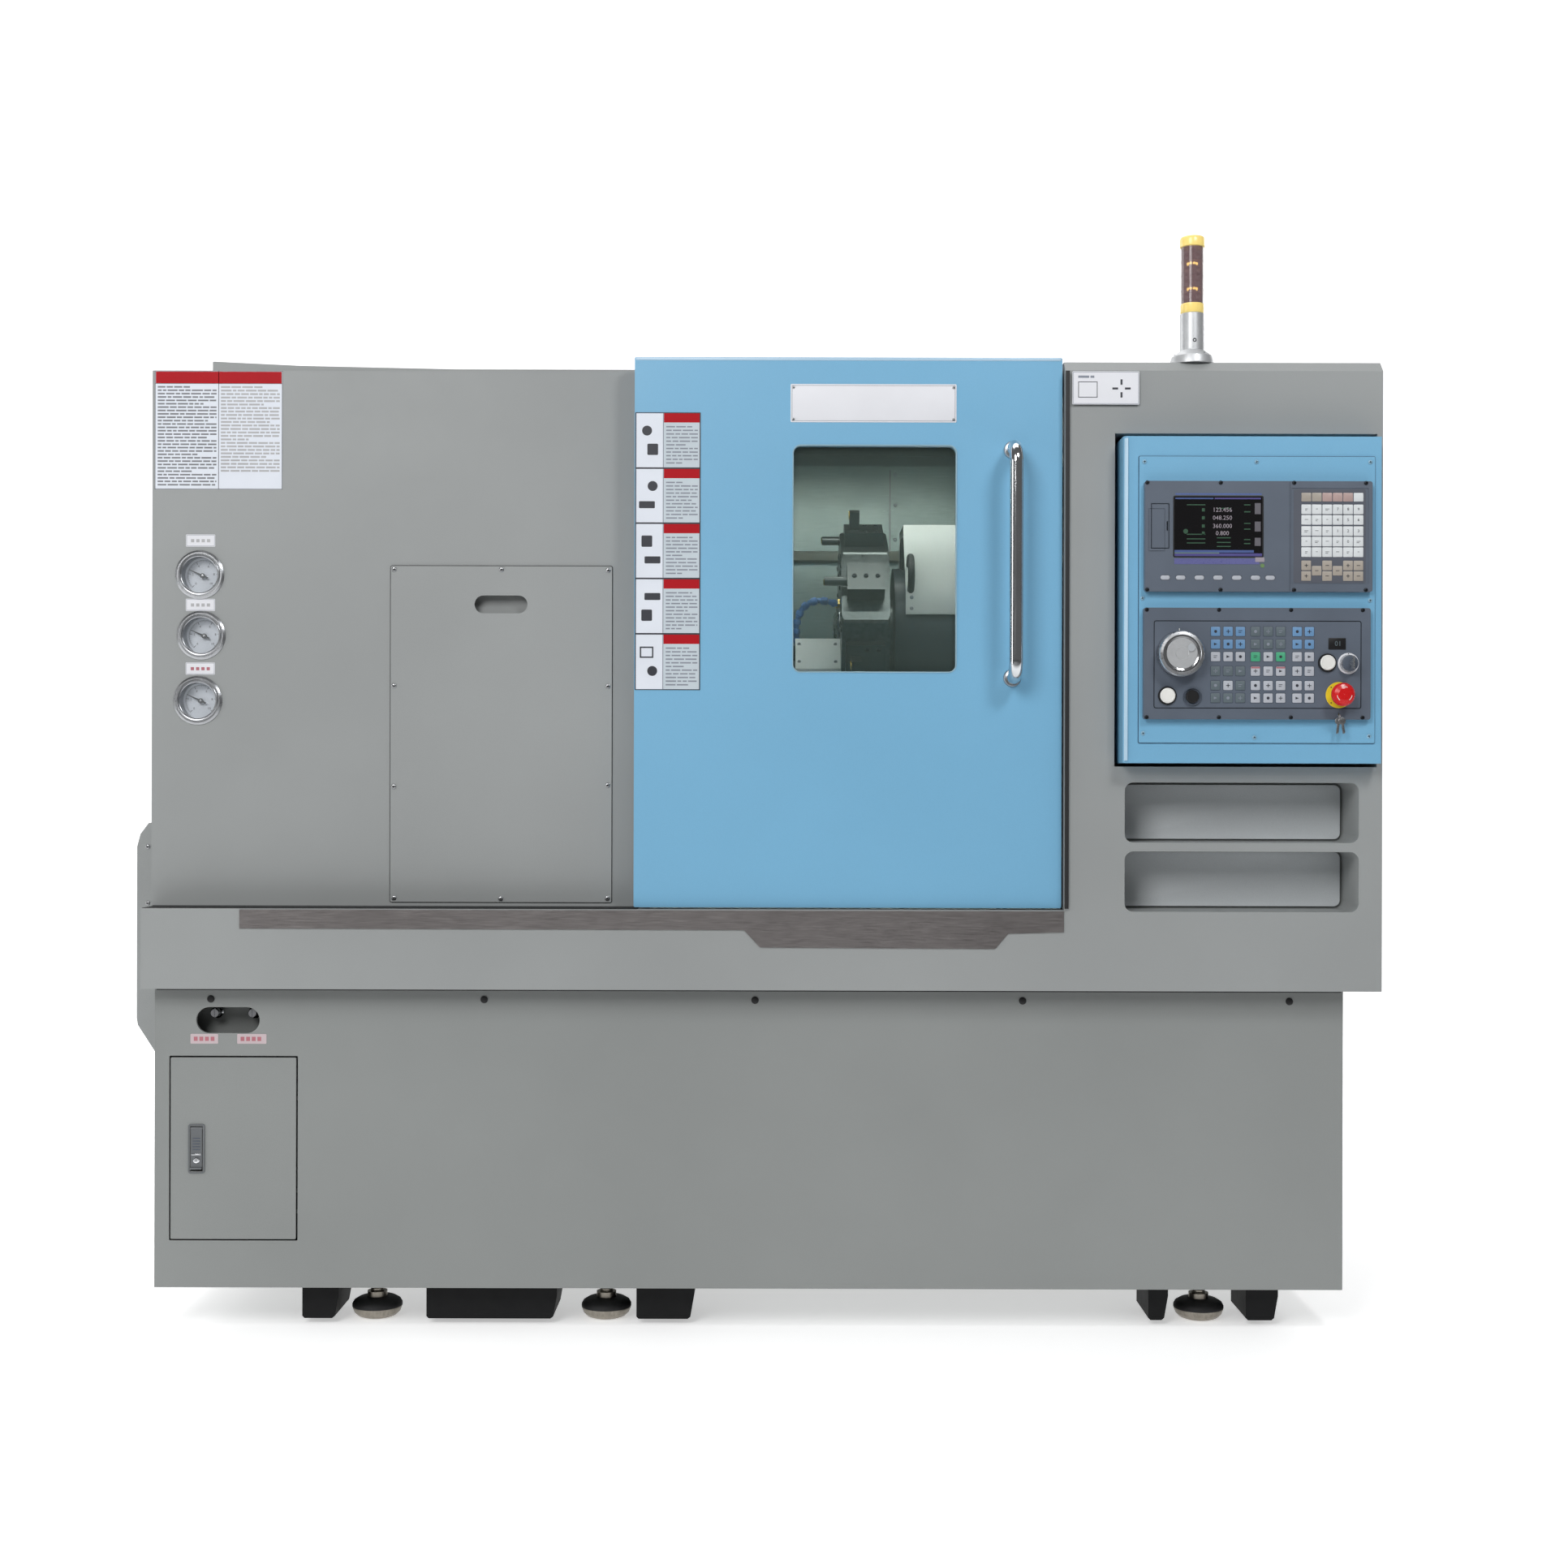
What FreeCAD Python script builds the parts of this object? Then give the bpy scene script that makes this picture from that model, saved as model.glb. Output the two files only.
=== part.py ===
import FreeCAD, Part
import math
import os
import Sketcher

# Small slant-bed turning lathe, full size, millimetres.
# Frame: +Z up, the operator stands on the -Y side, +X to the operator's right.
# Origin: centre of the machine's footprint on the floor.

V = FreeCAD.Vector
doc = FreeCAD.newDocument("turning_lathe")
sheet = doc.addObject("Spreadsheet::Sheet", "dims")
_row = [0]
_used = set()
VAL = {}


def cell(alias, value, note=""):
    """Adds one driving dimension to the sheet and returns its expression."""
    base = alias
    k = 2
    while alias in _used:
        alias = "%s_%d" % (base, k)
        k += 1
    _used.add(alias)
    _row[0] += 1
    r = _row[0]
    sheet.set("A%d" % r, alias)
    sheet.set("B%d" % r, repr(round(float(value), 4)))
    sheet.setAlias("B%d" % r, alias)
    if note:
        sheet.set("C%d" % r, note)
    VAL[alias] = float(value)
    return "dims." + alias


# ---- main dimensions of the machine -------------------------------------
cell("width_left", 1073.0, "left face of the hood and apron, from the centre")
cell("width_right", 1110.0, "right face of the control column")
cell("front_plane", 700.0, "apron and column front face")
cell("rear_plane", 600.0, "rear of the enclosure")
cell("cabinet_rear", 795.0, "rear of the electrical cabinet")
cell("foot_height", 79.0, "floor to the underside of the base")
cell("apron_low", 615.0)
cell("apron_top", 757.0)
cell("hood_top", 1715.0)
cell("column_top", 1724.5)
cell("column_left", 551.0)
cell("hood_front", 640.0)
cell("sheet_wall", 6.0, "welded sheet thickness of the covers")
cell("spindle_height", 1060.0)
cell("spindle_depth", -300.0)
cell("slant_angle", 45.0)
cell("centre_over_bed", 300.0, "spindle axis above the slanted bed plane")
cell("turret_gap", 340.0, "parked turret axis to spindle axis")

XL = -VAL["width_left"]
XR = VAL["width_right"]
YF = -VAL["front_plane"]
YR = VAL["rear_plane"]
YC = VAL["cabinet_rear"]
ZF = VAL["foot_height"]
ZA0 = VAL["apron_low"]
ZA1 = VAL["apron_top"]
ZH = VAL["hood_top"]
ZC = VAL["column_top"]
XC = VAL["column_left"]
YH = -VAL["hood_front"]
TW = VAL["sheet_wall"]
SY = VAL["spindle_depth"]
SZ = VAL["spindle_height"]
HB = VAL["centre_over_bed"]
S45 = math.sin(math.radians(VAL["slant_angle"]))
PY = SY + HB * S45
PZ = SZ - HB * S45


def slant(s, h):
    """Point of the slanted bed frame: s runs up and back, h stands off the bed."""
    return (PY + (s - h) * S45, PZ + (s + h) * S45)


PARTS = {}


def bind(o, prop, value, alias):
    o.setExpression(prop, value if isinstance(value, str) else cell(alias, value))


def box(name, lo, hi, rot=None, pos=None):
    o = doc.addObject("Part::Box", name)
    bind(o, "Length", hi[0] - lo[0], name + "_len")
    bind(o, "Width", hi[1] - lo[1], name + "_wid")
    bind(o, "Height", hi[2] - lo[2], name + "_hgt")
    o.Placement = FreeCAD.Placement(V(*lo), FreeCAD.Rotation())
    return o


def sbox(name, x0, x1, s0, s1, h0, h1):
    """Box square to the slanted bed."""
    o = doc.addObject("Part::Box", name)
    bind(o, "Length", x1 - x0, name + "_len")
    bind(o, "Width", s1 - s0, name + "_wid")
    bind(o, "Height", h1 - h0, name + "_hgt")
    y, z = slant(s0, h0)
    o.Placement = FreeCAD.Placement(V(x0, y, z), FreeCAD.Rotation(V(1, 0, 0), VAL["slant_angle"]))
    return o


AX = {"x": FreeCAD.Rotation(V(0, 1, 0), 90), "y": FreeCAD.Rotation(V(1, 0, 0), -90),
      "z": FreeCAD.Rotation(), "-y": FreeCAD.Rotation(V(1, 0, 0), 90),
      "-z": FreeCAD.Rotation(V(1, 0, 0), 180), "-x": FreeCAD.Rotation(V(0, 1, 0), -90),
      "s": FreeCAD.Rotation(V(1, 0, 0), -45)}


def cyl(name, r, length, at, axis="z"):
    o = doc.addObject("Part::Cylinder", name)
    bind(o, "Radius", r, name + "_rad")
    bind(o, "Height", length, name + "_hgt")
    o.Placement = FreeCAD.Placement(V(*at), AX[axis])
    return o


def fuse(name, objs):
    o = doc.addObject("Part::MultiFuse", name)
    o.Shapes = objs
    o.Refine = True
    return o


def cut(name, base, tools):
    o = doc.addObject("Part::Cut", name)
    o.Base = base
    o.Tool = tools[0] if len(tools) == 1 else fuse(name + "_tools", tools)
    o.Refine = True
    return o


def group(name, objs):
    o = doc.addObject("Part::Compound", name)
    o.Links = objs
    return o


def part(label, o):
    o.Label = label
    PARTS[label] = o
    return o


def plane_of(body, role):
    for f in body.Origin.OriginFeatures:
        if f.Role == role:
            return f
    raise RuntimeError(role)


def sketch_poly(body, name, role, pts, off=0.0):
    """Closed outline whose corners are tied to the sheet, on an origin plane."""
    sk = body.newObject("Sketcher::SketchObject", name)
    sk.AttachmentSupport = [(plane_of(body, role), "")]
    sk.MapMode = "FlatFace"
    if off:
        sk.AttachmentOffset = FreeCAD.Placement(V(0, 0, off), FreeCAD.Rotation())
    n = len(pts)
    for i in range(n):
        a, b = pts[i], pts[(i + 1) % n]
        sk.addGeometry(Part.LineSegment(V(a[0], a[1], 0), V(b[0], b[1], 0)), False)
    for i in range(n):
        sk.addConstraint(Sketcher.Constraint("Coincident", i, 2, (i + 1) % n, 1))
    for i, (u, w) in enumerate(pts):
        for kind, val, axis in (("DistanceX", u, -2), ("DistanceY", w, -1)):
            if abs(val) < 1e-7:
                sk.addConstraint(Sketcher.Constraint("PointOnObject", i, 1, axis))
            else:
                k = sk.addConstraint(Sketcher.Constraint(kind, -1, 1, i, 1, float(val)))
                sk.setExpression("Constraints[%d]" % k, cell("%s_%s%d" % (name, "u" if kind == "DistanceX" else "w", i + 1), val))
    return sk


def sketch_circle(body, name, role, r, at=(0.0, 0.0), off=0.0):
    sk = body.newObject("Sketcher::SketchObject", name)
    sk.AttachmentSupport = [(plane_of(body, role), "")]
    sk.MapMode = "FlatFace"
    if off:
        sk.AttachmentOffset = FreeCAD.Placement(V(0, 0, off), FreeCAD.Rotation())
    sk.addGeometry(Part.Circle(V(at[0], at[1], 0), V(0, 0, 1), r), False)
    k = sk.addConstraint(Sketcher.Constraint("Radius", 0, float(r)))
    sk.setExpression("Constraints[%d]" % k, cell(name + "_rad", r))
    for kind, val, axis in (("DistanceX", at[0], -2), ("DistanceY", at[1], -1)):
        if abs(val) < 1e-7:
            sk.addConstraint(Sketcher.Constraint("PointOnObject", 0, 3, axis))
        else:
            k = sk.addConstraint(Sketcher.Constraint(kind, -1, 1, 0, 3, float(val)))
            sk.setExpression("Constraints[%d]" % k, cell(name + "_c" + kind[-1].lower(), val))
    return sk


def pad_body(name, role, pts, length, at=(0, 0, 0), rot=None, rev=False):
    """PartDesign body: one padded outline. XZ outlines grow towards -Y unless reversed."""
    body = doc.addObject("PartDesign::Body", name)
    sk = sketch_poly(body, name + "_outline", role, pts)
    pad = body.newObject("PartDesign::Pad", name + "_pad")
    pad.Profile = sk
    bind(pad, "Length", length, name + "_depth")
    pad.Reversed = rev
    body.Tip = pad
    body.Placement = FreeCAD.Placement(V(*at), rot or FreeCAD.Rotation())
    return body


def rev_body(name, pts, at=(0, 0, 0), axis="z"):
    """PartDesign body: outline of (radius, height) turned round its own Z axis."""
    body = doc.addObject("PartDesign::Body", name)
    sk = sketch_poly(body, name + "_profile", "XZ_Plane", pts)
    rv = body.newObject("PartDesign::Revolution", name + "_turn")
    rv.Profile = sk
    rv.ReferenceAxis = (sk, ["V_Axis"])
    rv.Angle = 360.0
    body.Tip = rv
    body.Placement = FreeCAD.Placement(V(*at), AX[axis])
    return body


def round_edges(body, feature, r, pick, name):
    """Fillets the edges of the body's last feature for which pick(edge) is true."""
    doc.recompute()
    names = ["Edge%d" % (i + 1) for i, e in enumerate(feature.Shape.Edges) if pick(e)]
    if not names:
        raise RuntimeError("no edges for " + name)
    f = body.newObject("PartDesign::Fillet", name)
    f.Base = (feature, names)
    bind(f, "Radius", r, name + "_rad")
    body.Tip = f
    return f


def along(axis):
    def pick(e):
        vs = e.Vertexes
        if len(vs) != 2 or e.Curve.TypeId != "Part::GeomLine":
            return False
        d = vs[1].Point - vs[0].Point
        d.normalize()
        return abs(abs(d[axis]) - 1.0) < 1e-6
    return pick


def plate(name, x0, x1, y0, y1, z0, z1, r):
    """Upright plate, thin along Y, with rounded corners: body padded from its own XZ plane."""
    w, d, t = x1 - x0, z1 - z0, y1 - y0
    body = pad_body(name, "XZ_Plane", [(0, 0), (w, 0), (w, d), (0, d)], t, at=(x0, y1, z0))
    if r:
        round_edges(body, body.Tip, r, along(1), name + "_corner")
    return body


def pocket_poly(body, name, role, pts, depth, rev=False, off=0.0):
    sk = sketch_poly(body, name, role, pts, off)
    pk = body.newObject("PartDesign::Pocket", name + "_cut")
    pk.Profile = sk
    bind(pk, "Length", depth, name + "_depth")
    pk.Reversed = rev
    body.Tip = pk
    return pk


def obround(name, x0, x1, y0, y1, z0, z1):
    """Slot-shaped block through a front sheet, rounded at both ends."""
    r = (z1 - z0) / 2.0
    zc = (z0 + z1) / 2.0
    return fuse(name, [box(name + "_mid", (x0 + r, y0, z0), (x1 - r, y1, z1)),
                       cyl(name + "_lend", r, y1 - y0, (x0 + r, y0, zc), "y"),
                       cyl(name + "_rend", r, y1 - y0, (x1 - r, y0, zc), "y")])


def rbox(name, x0, x1, y0, y1, z0, z1, r):
    """Block with its four edges along Y rounded."""
    b = box(name + "_raw", (x0, y0, z0), (x1, y1, z1))
    doc.recompute()
    f = doc.addObject("Part::Fillet", name)
    f.Base = b
    f.Edges = [(i + 1, r, r) for i, e in enumerate(b.Shape.Edges)
               if abs(abs((e.Vertexes[1].Point - e.Vertexes[0].Point).normalize().y) - 1) < 1e-6]
    return f

# ======================================================================
# base, apron, hood, column
# ======================================================================
# Base cabinet: welded box open at the top, closed by a thick floor plate.
BX0, BX1, BY0, BY1 = -1061.5, 1054.5, -655.0, 588.0
base = cut("base_cabinet_cut", box("base_outer", (BX0, BY0, ZF), (BX1, BY1, ZA1 - TW)),
           [box("base_inner", (BX0 + TW, BY0 + TW, ZF + 10), (BX1 - TW, BY1 - TW, ZA1)),
            rbox("base_door_hole", -1035.5, -806.5, BY0 - 5, BY0 + TW + 5, 162.5, 491.5, 2.0),
            obround("base_valve_slot", -987.7, -874.8, BY0 - 5, BY0 + TW + 5, 531.9, 578.2)]
           + [cyl("base_plug_hole%d" % i, 5.0, 20.0, (x, BY0 - 5, 592.7), "y")
              for i, x in enumerate((-961.7, -475.0, 7.3, 483.8, 958.9))]
           + [cyl("base_foot_hole%d" % i, 13.0, 20.0, (x, y, ZF - 5), "z")
              for i, (x, y) in enumerate([(x, y) for x in (-687.0, -266.0, 822.0) for y in (-540.0, 480.0)])])
part("base_cabinet", base)

# Apron: skirt round the base with a ledge that carries the hood.
apron = cut("apron_cut", box("apron_outer", (XL, YF, ZA0), (XC, YR, ZA1)),
            [box("apron_inner", (XL + TW, YF + TW, ZA0 - 1), (XC + 1, YR - TW, ZA1 - TW)),
             box("apron_well", (XL + 40, -560.0, ZA1 - TW - 1), (XC + 1, YR - 40, ZA1 + 1))])
part("apron_belt", apron)

# Brushed strip on the apron face under the door, with a dropped lip in its middle.
strip = pad_body("sill_strip_body", "XZ_Plane",
                 [(-898.7, 755.0), (-898.7, 722.0), (-12.0, 721.0), (16.5, 690.5), (429.8, 689.0),
                  (452.7, 716.0), (550.5, 718.5), (550.5, 755.0)], 2.0, at=(0, YF, 0))
part("sill_strip", strip)

# Chip pan under the cutting space, sloping down to the back.
pan = pad_body("chip_pan_body", "YZ_Plane",
               [(-640.0, 748.0), (-300.0, 668.0), (-262.0, 668.0), (-262.0, 664.0), (-300.0, 664.0), (-640.0, 744.0)],
               725.0, at=(-184.0, 0, 0))
part("chip_pan", pan)

# Hood: one welded shell over the spindle end and the cutting space.
OPX0 = -178.0
hood = cut("hood_cut", fuse("hood_solid", [box("hood_outer", (XL, YH, ZA1), (XC - 0.5, YR, ZH)),
                                           pad_body("hood_rear_roof", "XZ_Plane",
                                                    [(-1063.0, 1700.0), (-1063.0, 1803.0), (-890.0, 1795.0),
                                                     (-238.0, 1782.0), (540.0, 1772.0), (540.0, 1700.0)],
                                                    900.0, at=(0, YR, 0))]),
           [box("hood_inner", (XL + TW, YH + TW, ZA1 - 1), (XC + 5, YR - TW, ZH - TW)),
            pad_body("hood_roof_inner", "XZ_Plane",
                     [(-1057.0, 1690.0), (-1057.0, 1796.7), (-890.0, 1789.0), (-238.0, 1776.0),
                      (534.0, 1766.2), (534.0, 1690.0)], 888.0, at=(0, YR - TW, 0)),
            box("hood_doorway", (OPX0, YH - 5, ZA1 - 1), (XC + 5, YH + TW + 5, 1668.0)),
            box("hood_service_hole", (-632.0, YH - 5, 780.0), (-264.0, YH + TW + 5, 1352.0))]
           + [cyl("hood_gauge_hole%d" % i, 36.5, 30.0, (x, YH - 10, z), "y")
              for i, (x, z) in enumerate(((-987.8, 1349.6), (-984.9, 1241.3), (-990.7, 1124.9)))])
part("hood_shell", hood)

# Screwed service panel with a slot-shaped finger hole.
ap = cut("access_cut", plate("access_plate", -645.6, -250.2, YH - 2.5, YH, 765.8, 1366.1, 3.0),
         [obround("access_slot", -495.9, -401.4, YH - 10, YH + 10, 1281.8, 1313.8)])
ap2 = fuse("access_fused", [ap, cut("access_tray_cut", box("access_tray", (-512.0, YH, 1268.0), (-385.0, YH + 22.0, 1328.0)),
                                    [box("access_tray_in", (-509.0, YH - 1, 1271.0), (-388.0, YH + 19.0, 1325.0))])])
part("access_panel", ap2)

# Folded side cover over the rear of the spindle drive.
out = [(-1061.5, 489.0), (-1075.0, 489.0), (-1108.0, 540.0), (-1110.0, 552.0), (-1110.0, 862.0),
       (-1104.0, 885.0), (-1089.0, 905.0), (XL, 905.0), (XL, 615.0), (-1061.5, 615.0)]
inn = [(-1061.5, 494.0), (-1073.5, 494.0), (-1104.0, 542.0), (-1106.0, 553.0), (-1106.0, 861.0),
       (-1100.5, 882.5), (-1087.0, 900.0), (XL, 900.0), (XL, 615.0), (-1061.5, 615.0)]
sc = cut("side_cover_cut", pad_body("side_cover_outer", "XZ_Plane", out, 905.0, at=(0, 300.0, 0)),
         [pad_body("side_cover_inner", "XZ_Plane", inn, 897.0, at=(0, 296.0, 0))])
seats = [cyl("side_cover_seat%d" % (k + 1), 6.0, 6.0, (-1114.5, y, z), "x")
         for k, (y, z) in enumerate([(y, z) for y in (-570.0, -150.0, 265.0) for z in (590.0, 832.0)])]
part("left_side_cover", cut("side_cover_seated", sc, seats))

# Stainless liner of the cutting space: bulkhead, sloped back, rear wall, right wall.
yb0, zb0 = slant(-240.0, 34.0)
yb1, zb1 = slant(415.0, 34.0)
liner_sheets = fuse("liner_sheets", [
    cut("liner_bulkhead_cut", box("liner_bulkhead", (-188.0, YH + TW, ZA1), (-184.0, 380.0, ZH - TW)),
        [cyl("liner_spindle_hole", 125.0, 20.0, (-195.0, SY, SZ), "x")]),
    box("liner_right", (541.0, YH + TW, ZA1), (545.0, 380.0, ZH - TW))])
liner = fuse("liner_fused", [
    cut("liner_over_bed", liner_sheets, [pad_body("liner_bed_clear", "YZ_Plane",
                                                  [(yb0, zb0), (yb1, zb1), (400.0, zb1), (400.0, 690.0), (yb0, 690.0)], 745.0, at=(-194.0, 0, 0))]),
    sbox("liner_slope", -188.0, 80.0, -140.0, 415.0, 34.0, 37.0),
    box("liner_back", (-188.0, 376.0, zb1), (545.0, 380.0, ZH - TW))])
part("chamber_liner", liner)

# Door track: a bar along the front of the hood roof; the door's hangers hook over it.
rail = pad_body("door_rail_body", "YZ_Plane",
                [(YH + 40.0, ZH), (YH + 52.0, ZH), (YH + 52.0, ZH + 3.0), (YH + 50.0, ZH + 3.0), (YH + 50.0, ZH + 12.0), (YH + 42.0, ZH + 12.0),
                 (YH + 42.0, ZH + 3.0), (YH + 40.0, ZH + 3.0)],
                1440.0, at=(-892.0, 0, 0))
part("door_rail", rail)

# Control column: welded box with a recess for the swing-out box and two pockets.
# Its right side carries two screwed covers: shallow seams, sunk screw seats and a vent.
side_cuts = []
for n, (ya, yb) in enumerate(((-560.0, -90.0), (-50.0, 540.0))):
    za, zb = 700.0, 1640.0
    for k, (lo, hi) in enumerate((((ya, za), (ya + 2.0, zb)), ((yb - 2.0, za), (yb, zb)), ((ya, za), (yb, za + 2.0)), ((ya, zb - 2.0), (yb, zb)))):
        side_cuts.append(box("column_seam%d%d" % (n + 1, k + 1), (1108.6, lo[0], lo[1]), (1112.0, hi[0], hi[1])))
    for k, (y, z) in enumerate([(y, z) for y in (ya + 16.0, (ya + yb) / 2, yb - 16.0) for z in (za + 16.0, (za + zb) / 2, zb - 16.0)
                                if not (y == (ya + yb) / 2 and z == (za + zb) / 2)]):
        side_cuts.append(cyl("column_seat%d%d" % (n + 1, k + 1), 6.0, 6.0, (1108.2, y, z), "x"))
for k in range(10):
    side_cuts.append(box("column_vent%d" % (k + 1), (1100.0, 110.0, 1380.0 + 18.0 * k), (1112.0, 380.0, 1386.0 + 18.0 * k)))
RX0, RX1, RZ0, RZ1 = 638.6, 1100.0, 1010.0, 1596.0
col_skin = cut("column_skin", box("column_outer", (XC, YF, ZA0), (XR, YR, ZC)),
               [box("column_inner", (XC + TW, YF + TW, ZA0 - 1), (XR - TW, YR - TW, ZC - TW))])
col_blocks = fuse("column_blocks", [col_skin,
                                    box("column_recess_wall", (RX0 - TW, YF, RZ0 - TW), (RX1 + TW, YF + 110.0, RZ1 + TW)),
                                    box("column_pocket_wall", (651.0, YF, 751.0), (1075.0, YF + 118.0, 988.0)),
                                    pad_body("column_bevel_backing", "YZ_Plane", [(YF, ZC - 32.0), (YF, ZC), (YF + 32.0, ZC)],
                                             XR - XC, at=(XC, 0, 0))])
column = cut("column_cut", col_blocks,
             [box("column_recess", (RX0, YF - 5, RZ0), (RX1, YF + 104.0, RZ1)),
              rbox("column_pocket_a", 657.2, 1069.0, YF - 5, YF + 112.0, 876.5, 982.3, 15.0),
              rbox("column_pocket_b", 657.2, 1069.0, YF - 5, YF + 112.0, 754.9, 860.7, 15.0),
              box("column_chamber_side", (XC - 5, -560.0, ZA0 - 5), (XC + TW + 5, 405.0, 1600.0)),
              box("column_skirt_side", (XC - 5, YF + TW, ZA0 - 5), (XC + TW + 5, YR - TW, ZA1)),
              pad_body("column_bevel", "YZ_Plane", [(YF - 1.0, ZC - 19.0), (YF - 1.0, ZC + 1.0), (YF + 19.0, ZC + 1.0)],
                       XR - XC + 4.0, at=(XC - 2.0, 0, 0))]
             + side_cuts)
# swing box hinges on the column's right front edge: pins, end knuckles and leaves
HGX, HGY = 1097.5, -703.0
hinge_fixed = []
for i, z in enumerate((1080.0, 1300.0, 1520.0)):
    hinge_fixed += [cyl("box_hinge_pin%d" % (i + 1), 1.2, 40.0, (HGX, HGY, z - 20.0), "z"),
                    cyl("box_hinge_low%d" % (i + 1), 2.1, 13.0, (HGX, HGY, z - 20.0), "z"),
                    cyl("box_hinge_top%d" % (i + 1), 2.1, 13.0, (HGX, HGY, z + 7.0), "z")]
    for j, za in enumerate((z - 20.0, z + 7.0)):
        hinge_fixed += [box("box_hinge_leaf%d%d" % (i + 1, j), (1100.5, -704.6, za), (1108.0, YF, za + 13.0)),
                        box("box_hinge_link%d%d" % (i + 1, j), (HGX, -704.6, za), (1100.5, -703.2, za + 13.0))]
part("control_column", fuse("column_fused", [column] + hinge_fixed))

# Signal lamp: turned foot and stem, then the lens stack.
TX, TY = 783.0, -655.0
part("tower_base", rev_body("tower_base_body", [(0, 0), (39, 0), (39, 4), (36, 14), (24, 23), (21.5, 26), (21, 60), (18.5, 70),
                                                (18.5, 84), (19.5, 92), (0, 92)], at=(TX, TY, ZC)))
part("tower_lens", rev_body("tower_lens_body", [(0, 0), (19.6, 0), (20.6, 2), (20.6, 16), (19.6, 17), (19.6, 116), (22, 118), (22, 132),
                                                (20, 137), (0, 137)], at=(TX, TY, ZC + 92.0)))

# Pressure gauges let into the hood front.
GZ = ((-987.8, 1349.6), (-984.9, 1241.3), (-990.7, 1124.9))
cases = []
for i, (gx, gz) in enumerate(GZ):
    # profile height runs from the flange face (0) back into the hood
    cases.append(rev_body("gauge_case%d" % (i + 1),
                          [(33.5, -4), (40, -4), (43.6, -1.5), (43.6, 0), (36, 0), (36, 44), (1.2, 44), (1.2, 24), (33.5, 24)],
                          at=(gx, YH, gz), axis="y"))
    cases.append(cyl("gauge_pin%d" % (i + 1), 1.2, 30.0, (gx, YH + 14.0, gz), "y"))
    hub = cyl("needle%d_hub" % (i + 1), 4.5, 3.0, (gx, YH + 16.0, gz), "y")
    arm = pad_body("needle%d_arm" % (i + 1), "XZ_Plane", [(-27.0, -0.4), (-6.0, -1.6), (10.0, -1.6), (10.0, 1.6), (-6.0, 1.6), (-27.0, 0.4)],
                   1.2, at=(gx, YH + 18.2, gz), rot=FreeCAD.Rotation(V(0, 1, 0), 24.7))
    nd = cut("needle%d_cut" % (i + 1), fuse("needle%d_fused" % (i + 1), [hub, arm]),
             [cyl("needle%d_bore" % (i + 1), 1.25, 20.0, (gx, YH + 10.0, gz), "y")])
    part("gauge_needle_%d" % (i + 1), nd)
part("gauge_cases", group("gauge_cases_set", [fuse("gauge_unit%d" % (i + 1), [cases[2 * i], cases[2 * i + 1]]) for i in range(3)]))

# Lubrication valves behind the slot in the base.
vb, knobs = [], []
for i, vx in enumerate((-961.0, -893.6)):
    vb.append(fuse("valve_unit%d" % (i + 1), [box("valve_block%d" % (i + 1), (vx - 16, -600.0, 548.0), (vx + 16, -560.0, 582.0)),
                                              cyl("valve_stem%d" % (i + 1), 4.0, 24.0, (vx, -622.0, 565.0), "y"),
                                              cyl("valve_neck%d" % (i + 1), 9.0, 8.0, (vx, -608.0, 565.0), "y")]))
    k = cut("valve_knob%d_cut" % (i + 1),
            rev_body("valve_knob%d_body" % (i + 1), [(0, 0), (11, 0), (11, 3), (8.5, 5), (8.5, 20), (7, 22), (0, 22)],
                     at=(vx, -612.0, 565.0), axis="-y"),
            [cyl("valve_knob%d_bore" % (i + 1), 4.05, 14.0, (vx, -624.0, 565.0), "y"),
             box("valve_knob%d_slot" % (i + 1), (vx - 1.2, -640.0, 557.0), (vx + 1.2, -631.0, 573.0))])
    part("valve_knob_%s" % ("left" if i == 0 else "right"), k)
part("valve_bodies", group("valve_bodies_set", vb + [box("valve_bracket", (-1010.0, -560.0, 540.0), (-850.0, -555.0, 590.0))]))

# Levelling feet and the dark skids under the base.
feet = []
for i, (fx, fy) in enumerate([(x, y) for x in (-687.0, -266.0, 822.0) for y in (-540.0, 480.0)]):
    feet.append(rev_body("foot%d" % (i + 1), [(0, 0), (28, 0), (36, 3), (42, 9), (45, 17), (45, 23), (42, 28), (34, 33), (18, 36), (18, 46),
                                              (12, 46), (12, 130), (0, 130)], at=(fx, fy, 0)))
    feet.append(cut("foot_nut%d" % (i + 1), rev_body("foot_nut_body%d" % (i + 1), [(0, 0), (19, 0), (21, 2), (21, 14), (19, 16), (0, 16)],
                                                     at=(fx, fy, ZF + 10.0)),
                    [cyl("foot_nut_bore%d" % (i + 1), 12.0, 30.0, (fx, fy, ZF), "z")]))
part("levelling_feet", group("levelling_feet_set", feet))
skids = []
for i, (x0, x1) in enumerate(((-811.0, -745.0), (-586.5, -350.2), (-206.7, -102.0), (719.0, 754.9), (895.4, 953.7))):
    for j, (y0, y1) in enumerate(((-600.0, -480.0), (400.0, 520.0))):
        skids.append(pad_body("skid%d%d" % (i + 1, j + 1), "XZ_Plane",
                              [(0, ZF), (0, 14), (4, 10), (x1 - x0 - 12, 10), (x1 - x0 - 7, 14), (x1 - x0, ZF - 25), (x1 - x0, ZF)],
                              y1 - y0, at=(x0, y1, 0)))
part("skid_blocks", group("skid_blocks_set", skids))

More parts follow.
